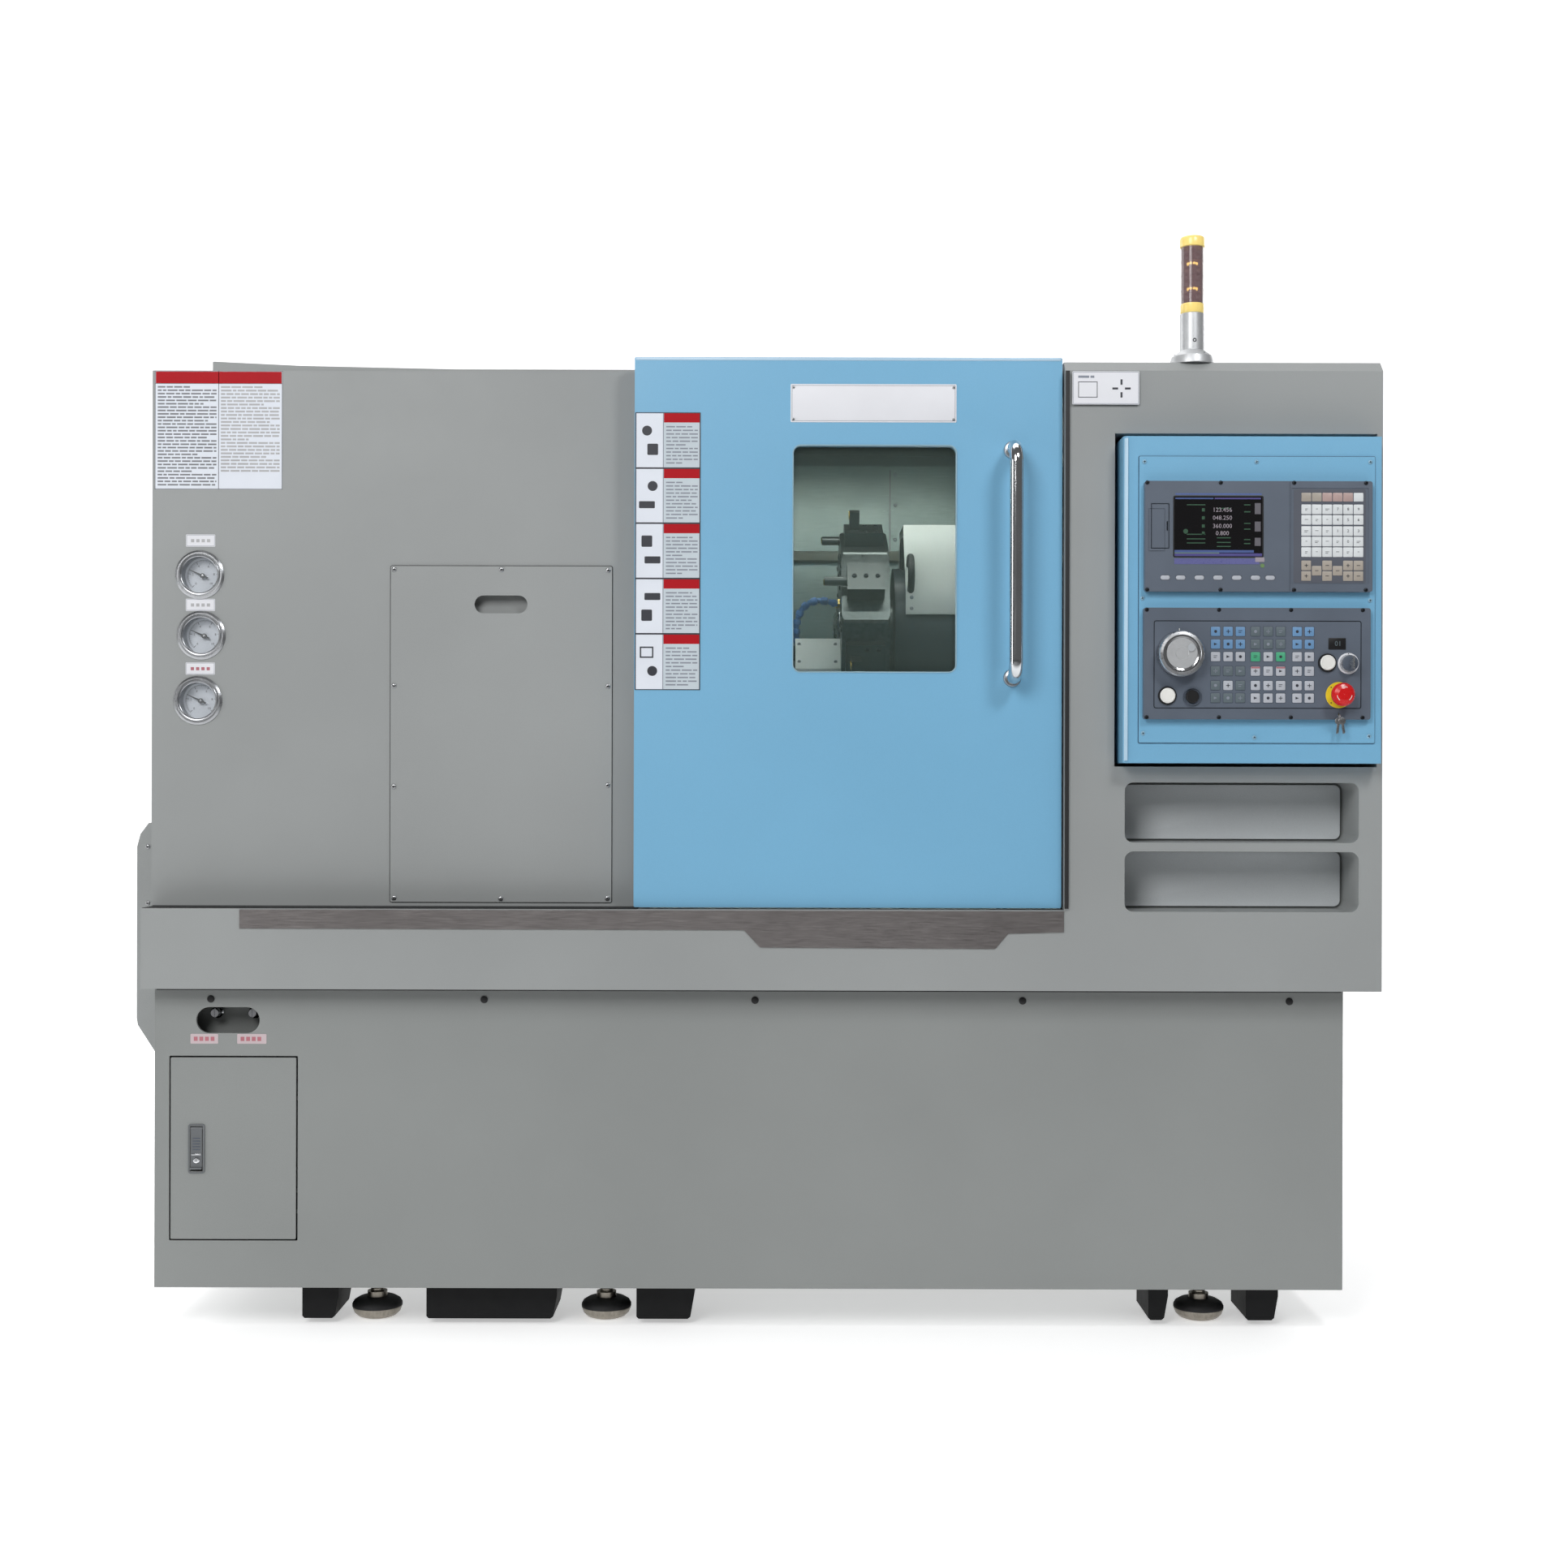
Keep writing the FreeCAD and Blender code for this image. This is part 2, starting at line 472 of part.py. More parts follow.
# Electrical cabinet on the rear, with a cable gland in its floor.
ec = cut("cabinet_cut", fuse("cabinet_solid", [box("cabinet_outer", (60.0, YR, 420.0), (960.0, YC, 1620.0)),
                                               cyl("cabinet_gland", 22.0, 26.0, (840.0, 700.0, 396.0), "z"),
                                               box("cabinet_fan_box", (180.0, YR, 1620.0), (480.0, YC - 20.0, 1668.0))]),
         [box("cabinet_inner", (64.0, YR + 4.0, 424.0), (956.0, YC - 4.0, 1616.0)),
          cyl("cabinet_gland_bore", 12.5, 60.0, (840.0, 700.0, 390.0), "z"),
          box("cabinet_seam", (100.0, YC - 2.0, 458.0), (103.0, YC + 1.0, 1582.0)),
          box("cabinet_seam2", (917.0, YC - 2.0, 458.0), (920.0, YC + 1.0, 1582.0)),
          box("cabinet_seam3", (100.0, YC - 2.0, 1579.0), (920.0, YC + 1.0, 1582.0)),
          box("cabinet_seam4", (100.0, YC - 2.0, 458.0), (920.0, YC + 1.0, 461.0))]
         + [box("cabinet_vent%d" % (k + 1), (330.0, YC - 8.0, z), (690.0, YC + 1.0, z + 6.0))
            for k, z in enumerate([520.0 + 18.0 * j for j in range(9)] + [1380.0 + 18.0 * j for j in range(9)])]
         + [cyl("cabinet_seat%d" % (k + 1), 13.0, 6.0, (x, YC - 2.5, z), "y")
            for k, (x, z) in enumerate([(x, z) for x in (135.0, 885.0) for z in (600.0, 1020.0, 1440.0)])])
part("electrical_cabinet", ec)

# ======================================================================
# sliding door
# ======================================================================
DX0, DX1, DY0, DY1, DZ0, DZ1 = -207.0, 547.5, -688.0, -664.0, 760.0, 1731.0
dw = plate("door_plate", DX0, DX1, DY0, DY1, DZ0, DZ1, 3.0)
door = cut("door_cut", fuse("door_solid", [dw] + [box("door_hanger_%s%d" % (n, j), (x, y0, z0), (x + 60.0, y1, z1)) for n, x in (("a", -150.0), ("b", 430.0))
                                                  for j, (y0, y1, z0, z1) in enumerate(((DY1, YH + 60.0, DZ1 - 3.0, DZ1),
                                                                                        (YH + 50.5, YH + 60.0, ZH + 4.0, DZ1 - 3.0)))]),
           [rbox("door_window_hole", 72.3, 361.5, DY0 - 5, DY1 + 5, 1175.3, 1576.4, 14.0),
            box("door_cavity", (DX0 + 30.0, DY0 + 3.0, DZ0 + 30.0), (DX0 + 250.0, DY1 + 1.0, DZ1 - 60.0)),
            box("door_cavity2", (DX1 - 160.0, DY0 + 3.0, DZ0 + 30.0), (DX1 - 30.0, DY1 + 1.0, DZ1 - 60.0))])
part("door_panel", door)
part("window_glass", plate("window_glass_body", 72.8, 361.0, DY0 + 8.0, DY0 + 14.0, 1175.8, 1575.9, 13.5))


def pipe_path(name, pts, radii, r):
    """Round bar swept along straight runs joined by tangent arcs."""
    P = [V(*p) for p in pts]
    edges = []
    start = P[0]
    length = 0.0
    for i in range(1, len(P) - 1):
        a = (P[i - 1] - P[i])
        b = (P[i + 1] - P[i])
        a.normalize()
        b.normalize()
        turn = math.pi - a.getAngle(b)
        cutback = radii[i - 1] * math.tan(turn / 2)
        p1 = P[i] + a * cutback
        p2 = P[i] + b * cutback
        bis = (a + b)
        bis.normalize()
        centre = P[i] + bis * (radii[i - 1] / math.cos(turn / 2))
        mid = centre - bis * radii[i - 1]
        if (p1 - start).Length > 1e-6:
            edges.append(Part.LineSegment(start, p1).toShape())
        edges.append(Part.Arc(p1, mid, p2).toShape())
        length += (p1 - start).Length + radii[i - 1] * turn
        start = p2
    edges.append(Part.LineSegment(start, P[-1]).toShape())
    length += (P[-1] - start).Length
    wire = Part.Wire(edges)
    t = P[1] - P[0]
    t.normalize()
    ring = Part.Wire([Part.Circle(P[0], t, r).toShape()])
    solid = wire.makePipeShell([ring], True, False)
    want = math.pi * r * r * length
    if abs(solid.Volume - want) > 0.01 * want:
        raise RuntimeError("%s volume %.1f, expected %.1f" % (name, solid.Volume, want))
    print("%s: length %.1f, radii %s" % (name, length, radii))
    return solid


def feature(name, shape, at=(0, 0, 0)):
    o = doc.addObject("Part::Feature", name)
    o.Shape = shape
    o.Placement = FreeCAD.Placement(V(*at), FreeCAD.Rotation())
    return o


cell("handle_bar", 12.0, "radius of the door handle bar")
cell("handle_reach", 62.0, "door face to the bar's centre line")
cell("handle_span", 402.0, "between the handle's feet")
HX, HZ0 = 460.0, 1166.0
HR, HD, HS = VAL["handle_bar"], VAL["handle_reach"], VAL["handle_span"]
hshape = pipe_path("door_handle", [(0, 0, 0), (0, -HD, 0), (0, -HD, HS), (0, 0, HS)], [30.0, 30.0], HR)
handle = fuse("handle_fused", [feature("handle_bar_shape", hshape, (HX, DY0, HZ0)),
                               cyl("handle_foot_a", 15.0, 5.0, (HX, DY0 - 5.0, HZ0), "y"),
                               cyl("handle_foot_b", 15.0, 5.0, (HX, DY0 - 5.0, HZ0 + HS), "y")])
part("door_handle", handle)

# ======================================================================
# base door with its paddle latch
# ======================================================================
BHX, BHY = -833.5, -646.0
bd_plate = plate("base_door_plate", -1032.5, -809.5, -656.0, -651.0, 165.5, 488.5, 2.0)
bdoor = cut("base_door_cut", fuse("base_door_solid", [bd_plate, cyl("base_door_knuckle_a", 4.0, 30.0, (BHX, BHY, 210.0), "z"),
                                                      cyl("base_door_knuckle_b", 4.0, 30.0, (BHX, BHY, 414.0), "z"),
                                                      box("base_door_leaf_a", (BHX - 4.0, -651.0, 210.0), (BHX + 4.0, BHY, 240.0)),
                                                      box("base_door_leaf_b", (BHX - 4.0, -651.0, 414.0), (BHX + 4.0, BHY, 444.0))]),
            [rbox("base_latch_hole", -999.3, -973.3, -670.0, -648.0, 284.2, 368.2, 3.0),
             cyl("base_door_pinhole_a", 2.05, 40.0, (BHX, BHY, 205.0), "z"),
             cyl("base_door_pinhole_b", 2.05, 40.0, (BHX, BHY, 409.0), "z")])
# goose-neck arms reach round the door's edge to the inside of the cabinet front
neck = [(-2.45, -1.14), (2.45, 1.14), (-10.3, 28.5), (40.0, 28.5), (40.0, 1.0), (30.0, 1.0), (30.0, -3.0), (62.0, -3.0), (62.0, 1.0),
        (46.0, 1.0), (46.0, 33.5), (-18.6, 33.5)]
pins = []
for nm, z in (("a", 210.0), ("b", 414.0)):
    pins.append(fuse("base_hinge_" + nm, [cyl("base_hinge_pin_" + nm, 2.0, 44.0, (BHX, BHY, z - 7.0), "z"),
                                          cyl("base_hinge_low_" + nm, 4.0, 6.5, (BHX, BHY, z - 7.0), "z"),
                                          pad_body("base_hinge_arm_" + nm, "XY_Plane", neck, 6.5, at=(BHX, BHY, z - 7.0)),
                                          cyl("base_hinge_top_" + nm, 4.0, 6.5, (BHX, BHY, z + 30.5), "z"),
                                          pad_body("base_hinge_arm2_" + nm, "XY_Plane", neck, 6.5, at=(BHX, BHY, z + 30.5))]))
part("base_door_hinges", group("base_door_hinges_set", pins))

# latch paddle: folded handle let into a cup in the base door, hinged at its top pin
lp = fuse("latch_fused", [box("latch_plate", (-996.3, -657.5, 290.0), (-976.3, -654.5, 362.0)),
                          cyl("latch_barrel", 3.0, 20.0, (-996.3, -654.5, 362.0), "x"),
                          box("latch_lip", (-996.3, -661.5, 290.0), (-976.3, -657.5, 293.0))])
part("latch_paddle", cut("latch_cut", lp, [cyl("latch_bore", 1.55, 24.0, (-998.3, -654.5, 362.0), "x")]))
cup = fuse("latch_cup_solid", [cut("latch_cup_cut", box("latch_cup_outer", (-999.0, -657.0, 284.5), (-973.6, -633.0, 368.0)),
                                   [box("latch_cup_inner", (-997.5, -663.0, 286.0), (-975.1, -635.0, 366.5))]),
                               cyl("latch_pin", 1.5, 26.0, (-999.3, -654.5, 362.0), "x")])
part("base_door", fuse("base_door_fused", [bdoor, cup]))

# ======================================================================
# swing-out control box
# ======================================================================
KX0, KX1, KZ0, KZ1, KY0, KY1 = 647.0, 1095.0, 1016.0, 1584.0, -742.0, -640.0
kplate = plate("control_box_outer", KX0, KX1, KY0, KY1, KZ0, KZ1, 0)


def left_front(e):
    """The plate's upright edge at its left front corner."""
    vs = e.Vertexes
    return len(vs) == 2 and all(abs(v.Point.x) < 0.01 and abs(v.Point.y + (KY1 - KY0)) < 0.01 for v in vs)


round_edges(kplate, kplate.Tip, 8.0, left_front, "control_box_round")
knuckles = []
for i, z in enumerate((1080.0, 1300.0, 1520.0)):
    knuckles += [cyl("box_knuckle%d" % (i + 1), 2.1, 13.0, (HGX, HGY, z - 6.5), "z"),
                 box("box_knuckle_link%d" % (i + 1), (KX1 - 1.0, HGY - 2.1, z - 6.5), (HGX, HGY + 2.1, z + 6.5))]
kb = cut("control_box_cut", fuse("control_box_solid", [kplate] + knuckles + [
                                                       plate("control_box_face", 673.5, 1082.8, KY0 - 3.0, KY0, 1051.4, 1548.3, 2.0)]),
         [box("control_box_inner", (KX0 + 4, KY0 + 4, KZ0 + 4), (KX1 - 4, KY1 - 4, KZ1 - 4))]
         + [cyl("box_knuckle_bore%d" % (i + 1), 1.25, 15.0, (HGX, HGY, z - 7.5), "z") for i, z in enumerate((1080.0, 1300.0, 1520.0))])
part("control_box", kb)
PY0, PY1 = KY0 - 15.0, KY0 - 3.0
part("display_unit", cut("display_cut", plate("display_plate", 681.2, 1075.0, PY0, PY1, 1312.8, 1504.1, 4.0),
                         [rbox("display_recess", 730.5, 886.0, PY0 - 5, PY0 + 2.0, 1372.0, 1478.0, 2.0),
                          rbox("keypad_recess", 934.0, 1068.0, PY0 - 5, PY0 + 1.0, 1326.0, 1492.0, 2.0),
                          box("display_divider", (931.2, PY0 - 5, 1312.0), (933.0, PY0 + 1.0, 1505.0)),
                          box("card_door_a", (687.5, PY0 - 5, 1382.0), (716.0, PY0 + 0.8, 1383.2)),
                          box("card_door_b", (687.5, PY0 - 5, 1455.0), (716.0, PY0 + 0.8, 1456.2)),
                          box("card_door_c", (687.5, PY0 - 5, 1382.0), (688.7, PY0 + 0.8, 1456.2)),
                          box("card_door_d", (714.8, PY0 - 5, 1382.0), (716.0, PY0 + 0.8, 1456.2))]))
BT = {"upper": (996.9, 1189.9), "lower": (720.4, 1132.4), "black": (763.9, 1131.0)}
WHX, WHZ, ESX, ESZ, KSX, KSZ = 741.0, 1204.0, 1017.0, 1134.0, 1033.4, 1188.8
part("operator_panel", cut("operator_cut", plate("operator_plate", 679.8, 1072.2, PY0, PY1, 1091.9, 1284.7, 4.0),
                           [cyl("operator_hole_" + k, 11.4, 20.0, (x, PY0 - 4, z), "y") for k, (x, z) in BT.items()]
                           + [cyl("operator_hole_wheel", 6.05, 20.0, (WHX, PY0 - 4, WHZ), "y"),
                              cyl("operator_hole_stop", 10.4, 20.0, (ESX, PY0 - 4, ESZ), "y"),
                              cyl("operator_hole_key", 5.05, 20.0, (KSX, PY0 - 4, KSZ), "y")]))
for k, (x, z) in BT.items():
    prof = [(0, 0), (11, 0), (11, 14), (10, 15.5), (8.0, 16), (0, 16)] if k != "black" else [(0, 0), (11, 0), (11, 12), (10, 13), (0, 13)]
    part("button_" + k, rev_body("button_%s_body" % k, prof, at=(x, PY0 + 8.5, z), axis="-y"))
part("handwheel", rev_body("handwheel_body", [(0, -11), (6, -11), (6, 3), (30, 3), (38.6, 5), (39.3, 8), (39.3, 24), (37.5, 27), (33, 28),
                                              (30, 25), (12, 24), (10, 26), (0, 26)], at=(WHX, PY0, WHZ), axis="-y"))
part("estop_stem", rev_body("estop_stem_body", [(0, -6.5), (10, -6.5), (10, 16), (8, 16), (8, 29), (0, 29)], at=(ESX, PY0, ESZ), axis="-y"))
part("estop_cap", rev_body("estop_cap_body", [(8.05, 17), (13, 17), (17, 20), (20, 25), (20, 30), (17, 35), (10, 37.7), (0, 38),
                                              (0, 30), (8.05, 30)], at=(ESX, PY0, ESZ), axis="-y"))
part("key_switch", fuse("key_switch_fused", [rev_body("key_switch_body", [(0, -11), (5, -11), (5, 1), (14, 1), (15, 3), (14, 13), (0, 13)],
                                                      at=(KSX, PY0, KSZ), axis="-y"),
                                             box("key_blade", (KSX - 1.2, PY0 - 22.0, KSZ - 4.0), (KSX + 1.2, PY0 - 13.0, KSZ + 4.0)),
                                             box("key_bow", (KSX - 1.2, PY0 - 36.0, KSZ - 11.0), (KSX + 1.2, PY0 - 22.0, KSZ + 11.0))]))

# ======================================================================
# bed, headstock, spindle drive
# ======================================================================
bed_out = [(-250.0, 686.0), slant(430.0, 0.0), (330.0, slant(430.0, 0.0)[1]), (400.0, 1080.0), (400.0, ZF + 10.0), (-250.0, ZF + 10.0)]
bed_out[0] = slant(-229.5, 0.0)
bed_out[5] = (bed_out[0][0], ZF + 10.0)
bed_core = [(-200.0, 640.0), (210.0, 1050.0), (340.0, 1050.0), (340.0, 150.0), (-200.0, 150.0)]
bed = cut("bed_cut", pad_body("bed_outer", "YZ_Plane", bed_out, 1318.0, at=(-620.0, 0, 0)),
          [pad_body("bed_core_a", "YZ_Plane", bed_core, 570.0, at=(-570.0, 0, 0)),
           pad_body("bed_core_b", "YZ_Plane", bed_core, 610.0, at=(50.0, 0, 0)),
           box("bed_window_a", (-500.0, 300.0, 250.0), (-100.0, 420.0, 900.0)),
           box("bed_window_b", (120.0, 300.0, 250.0), (560.0, 420.0, 900.0))])
part("bed_casting", bed)
hs_ = cut("headstock_cut", sbox("headstock_block", -560.0, -230.0, -160.0, 160.0, 0.0, 430.0),
          [cyl("headstock_bore", 85.0, 360.0, (-575.0, SY, SZ), "x")])
part("headstock", hs_)
part("spindle_bearings", group("spindle_bearings_set", [
    cut("bearing_%s" % n, cyl("bearing_%s_outer" % n, 84.95, 50.0, (x, SY, SZ), "x"), [cyl("bearing_%s_bore" % n, 55.05, 60.0, (x - 5, SY, SZ), "x")])
    for n, x in (("rear", -555.0), ("front", -285.0))]))
# spindle: hollow shaft with its nose flange
part("spindle_shaft", rev_body("spindle_shaft_body", [(26, -765), (55, -765), (55, -227), (82, -227), (82, -215), (26, -215)], at=(0, SY, SZ), axis="x"))
cell("spindle_pulley_radius", 110.0)
cell("motor_pulley_radius", 80.0)
RP, RM = VAL["spindle_pulley_radius"], VAL["motor_pulley_radius"]
MZ, MY = 330.0, -300.0
part("spindle_pulley", rev_body("spindle_pulley_body", [(55, -702), (116, -702), (116, -698), (RP, -697), (RP, -643), (116, -642), (116, -638),
                                                        (55, -638)], at=(0, SY, SZ), axis="x"))
chuck_prof = [(24, -215), (100, -215), (105, -210), (105, -112), (103, -110), (24, -110)]
chuck = rev_body("chuck_turned", chuck_prof, at=(0, SY, SZ), axis="x")
slots = []
for i in range(3):
    b = box("chuck_slot%d" % (i + 1), (0, 0, 0), (12.0, 90.0, 20.0))
    a = 90.0 + 120.0 * i
    rot = FreeCAD.Rotation(V(1, 0, 0), a)
    b.Placement = FreeCAD.Placement(V(-121.0, SY, SZ) + rot.multVec(V(0, 22.0, -10.0)), rot)
    slots.append(b)
part("chuck_body", cut("chuck_cut", chuck, slots))
for i in range(3):
    a = 90.0 + 120.0 * i
    rot = FreeCAD.Rotation(V(1, 0, 0), a)
    js = []
    for nm, lo, hi in (("tongue", (-119.5, 40.0, -9.6), (-109.5, 92.0, 9.6)), ("jaw", (-109.5, 38.0, -17.0), (-75.0, 96.0, 17.0)),
                       ("step", (-75.0, 56.0, -17.0), (-55.0, 96.0, 17.0))):
        b = box("jaw%d_%s" % (i + 1, nm), lo, hi)
        b.Placement = FreeCAD.Placement(V(lo[0], SY, SZ) + rot.multVec(V(0, lo[1], lo[2])), rot)
        js.append(b)
    part("jaw_%d" % (i + 1), fuse("jaw%d_fused" % (i + 1), js))

part("spindle_motor", cut("motor_cut", fuse("motor_fused", [cyl("motor_case", 115.0, 270.0, (-1000.0, MY, MZ), "x"), box("motor_flange", (-740.0, MY - 120, MZ - 120), (-722.0, MY + 120, MZ + 120)),
                                          box("motor_terminal", (-920.0, MY - 60, MZ + 100.0), (-800.0, MY + 60, MZ + 150.0)),
                                          box("motor_feet", (-960.0, MY - 110, ZF + 10.0), (-722.0, MY + 110, MZ - 90.0))]),
                               [cyl("motor_bore", 24.05, 90.0, (-800.0, MY, MZ), "x")]))
part("motor_pulley", rev_body("motor_pulley_body", [(0, -790), (24, -790), (24, -704), (86, -704), (86, -698), (RM, -697), (RM, -643), (86, -642),
                                                    (86, -636), (0, -636)], at=(0, MY, MZ), axis="x"))


def belt_loop(x0, x1, top, rt, low, rl, thick):
    """Flat loop round two pulleys: tangent runs and arcs, read from the sheet."""
    def outline(a, b):
        d = top[1] - low[1]
        al = math.asin((a - b) / d)
        pts = []
        for c, r in ((top, a), (low, b)):
            pts.append((V(x0, c[0] - r * math.cos(al), c[1] + (r * math.sin(al)) * -1), V(x0, c[0] + r * math.cos(al), c[1] + (r * math.sin(al)) * -1), c, r))
        (l1, r1, c1, ra), (l2, r2, c2, rb) = pts
        return Part.Wire([Part.Arc(l1, V(x0, c1[0], c1[1] + ra), r1).toShape(), Part.LineSegment(r1, r2).toShape(),
                          Part.Arc(r2, V(x0, c2[0], c2[1] - rb), l2).toShape(), Part.LineSegment(l2, l1).toShape()])
    o = Part.Face(outline(rt + thick, rl + thick)).extrude(V(x1 - x0, 0, 0))
    i = Part.Face(outline(rt, rl)).extrude(V(x1 - x0, 0, 0))
    return o.cut(i)


part("drive_belt", feature("drive_belt_shape", belt_loop(-696.0, -644.0, (SY, SZ), RP + 0.4, (MY, MZ), RM + 0.4, 5.0)))

# ======================================================================
# slides and turret
# ======================================================================
part("z_rails", group("z_rails_set", [sbox("z_rail_low", -180.0, 640.0, -150.0, -120.0, 0.0, 28.0),
                                      sbox("z_rail_high", -180.0, 640.0, 330.0, 360.0, 0.0, 28.0)]))
CX0, CX1 = 285.0, 525.0
ycz, zcz = slant(90.0, 16.0)
saddle = cut("saddle_cut", fuse("saddle_solid", [
    sbox("saddle_plate", CX0, CX1, -200.0, 420.0, 38.0, 85.0),
    sbox("saddle_truck_a", CX0 + 10, CX1 - 10, -175.0, -95.0, 8.0, 38.0),
    sbox("saddle_truck_b", CX0 + 10, CX1 - 10, 305.0, 385.0, 8.0, 38.0),
    sbox("saddle_nut", 380.0, 430.0, 55.0, 125.0, 1.0, 38.0),
    sbox("saddle_way_a", 305.0, 335.0, -190.0, 410.0, 85.0, 110.0),
    sbox("saddle_way_b", 475.0, 505.0, -190.0, 410.0, 85.0, 110.0),
    sbox("saddle_cover", 45.0, CX0, -138.0, 575.0, 40.0, 43.0)]),
    [sbox("saddle_slot_a", CX0, CX1, -150.5, -119.5, 0.0, 28.5),
     sbox("saddle_slot_b", CX0, CX1, 329.5, 360.5, 0.0, 28.5),
     cyl("saddle_nut_bore", 12.55, 70.0, (370.0, ycz, zcz), "x")])
part("saddle", saddle)
part("z_screw", rev_body("z_screw_body", [(0, -120), (12.5, -120), (12.5, 700), (0, 700)], at=(0, ycz, zcz), axis="x"))
zb = fuse("z_motor_fused", [sbox("z_motor_bearing", 650.0, 700.0, 50.0, 130.0, 0.0, 56.0), sbox("z_motor_case", 710.0, 860.0, 40.0, 140.0, -34.0, 66.0),
                            sbox("z_motor_mount", 700.0, 710.0, 40.0, 140.0, -34.0, 66.0)])
part("z_axis_motor", cut("z_motor_cut", zb, [cyl("z_motor_bore", 12.55, 70.0, (640.0, ycz, zcz), "x")]))
yx, zx = slant(-170.0, 97.5)
xs = rev_body("x_screw_body", [(0, 0), (10, 0), (10, 595), (0, 595)], at=(405.0, yx, zx), axis="z")
xs.Placement = FreeCAD.Placement(V(405.0, yx, zx), AX["s"])
part("x_screw", xs)
mb = fuse("x_motor_fused", [sbox("x_motor_bracket", 350.0, 460.0, 420.0, 432.0, 38.0, 140.0),
                            sbox("x_motor_case", 355.0, 455.0, 432.0, 560.0, 48.0, 148.0)])
bore = cyl("x_motor_bore", 10.05, 30.0, (405.0,) + slant(400.0, 97.5), "s")
part("x_axis_motor", cut("x_motor_cut", mb, [bore]))

TS = VAL["turret_gap"]
ty, tz = slant(TS, HB)
tb = cut("turret_body_cut", fuse("turret_body_solid", [
    cyl("turret_housing", 125.0, 240.0, (282.0, ty, tz), "x"),
    sbox("turret_base", 292.0, 518.0, 215.0, 398.4, 111.0, 240.0),
    sbox("turret_nut", 385.0, 425.0, 270.0, 330.0, 88.0, 111.0)]),
    [cyl("turret_nut_bore", 10.05, 80.0, (405.0,) + slant(260.0, 97.5), "s"),
     cyl("turret_shaft_bore", 40.05, 62.0, (281.0, ty, tz), "x")])
part("turret_body", tb)
disc = rev_body("turret_disc_turned", [(0, 172), (196, 172), (200, 176), (200, 264), (196, 268), (60, 268), (60, 281.5), (40, 281.5), (40, 335), (0, 335)],
                at=(0, ty, tz), axis="x")
flats = []
for i in range(8):
    rot = FreeCAD.Rotation(V(1, 0, 0), 45.0 * i + 22.5)
    b = box("turret_flat%d" % (i + 1), (0, 0, 0), (110.0, 40.0, 240.0))
    b.Placement = FreeCAD.Placement(V(165.0, ty, tz) + rot.multVec(V(0, 186.0, -120.0)), rot)
    flats.append(b)
part("turret_disc", cut("turret_disc_cut", disc, flats))
tools = []
for i in range(8):
    rot = FreeCAD.Rotation(V(1, 0, 0), 45.0 * i + 22.5)

    def tb_(nm, lo, hi):
        b = box(nm, lo, hi)
        b.Placement = FreeCAD.Placement(V(lo[0], ty, tz) + rot.multVec(V(0, lo[1], lo[2])), rot)
        return b
    if i % 2 == 0:
        tools.append(fuse("tool_holder%d" % (i + 1), [tb_("holder%d_block" % (i + 1), (180.0, 186.0, -36.0), (258.0, 214.0, 30.0)),
                                                      tb_("holder%d_shank" % (i + 1), (190.0, 214.0, -14.0), (210.0, 250.0, 6.0))]))
    else:
        tools.append(fuse("tool_holder%d" % (i + 1), [tb_("holder%d_block" % (i + 1), (182.0, 186.0, -30.0), (256.0, 232.0, 30.0)),
                                                      cyl("holder%d_bar" % (i + 1), 9.0, 50.0, tuple(V(137.0, ty, tz) + rot.multVec(V(0, 209.0, 0))), "x")]))
part("tool_holders", group("tool_holders_set", tools))

# coolant hoses: two loops standing on the turret housing
def hose(name, x, a0, reach):
    r = 125.0
    p = [(x, ty + (r - 2) * math.cos(math.radians(a)), tz + (r - 2) * math.sin(math.radians(a))) for a in (a0, a0 + 26.0)]
    q = [(x, ty + (r + reach) * math.cos(math.radians(a)), tz + (r + reach) * math.sin(math.radians(a))) for a in (a0 + 2.0, a0 + 24.0)]
    return feature(name, pipe_path(name, [p[0], q[0], q[1], p[1]], [26.0, 26.0], 7.0))


h1 = hose("hose_loop_a", 306.0, 78.0, 62.0)
h2 = hose("hose_loop_b", 312.0, 128.0, 70.0)
hc = cut("hoses_cut_a", h1, [cyl("hose_trim_a", 125.0, 80.0, (270.0, ty, tz), "x")])
hd = cut("hoses_cut_b", h2, [cyl("hose_trim_b", 125.0, 80.0, (270.0, ty, tz), "x")])
part("coolant_hoses", group("coolant_hoses_set", [hc, hd]))

# ======================================================================
doc.recompute()
bad = [(o.Label, o.State) for o in doc.Objects if "Invalid" in o.State or "Error" in o.State]
if bad:
    raise RuntimeError("features failed: %s" % bad)
os.makedirs("parts", exist_ok=True)
for label, o in PARTS.items():
    s = o.Shape
    if s.isNull() or not s.isValid() or not s.Solids:
        raise RuntimeError("bad shape: " + label)
for label, o in PARTS.items():
    o.Shape.exportStep("parts/%s.step" % label)
print("parts written:", len(PARTS))
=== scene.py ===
import math
import random

import bmesh
import bpy
from mathutils import Matrix, Vector


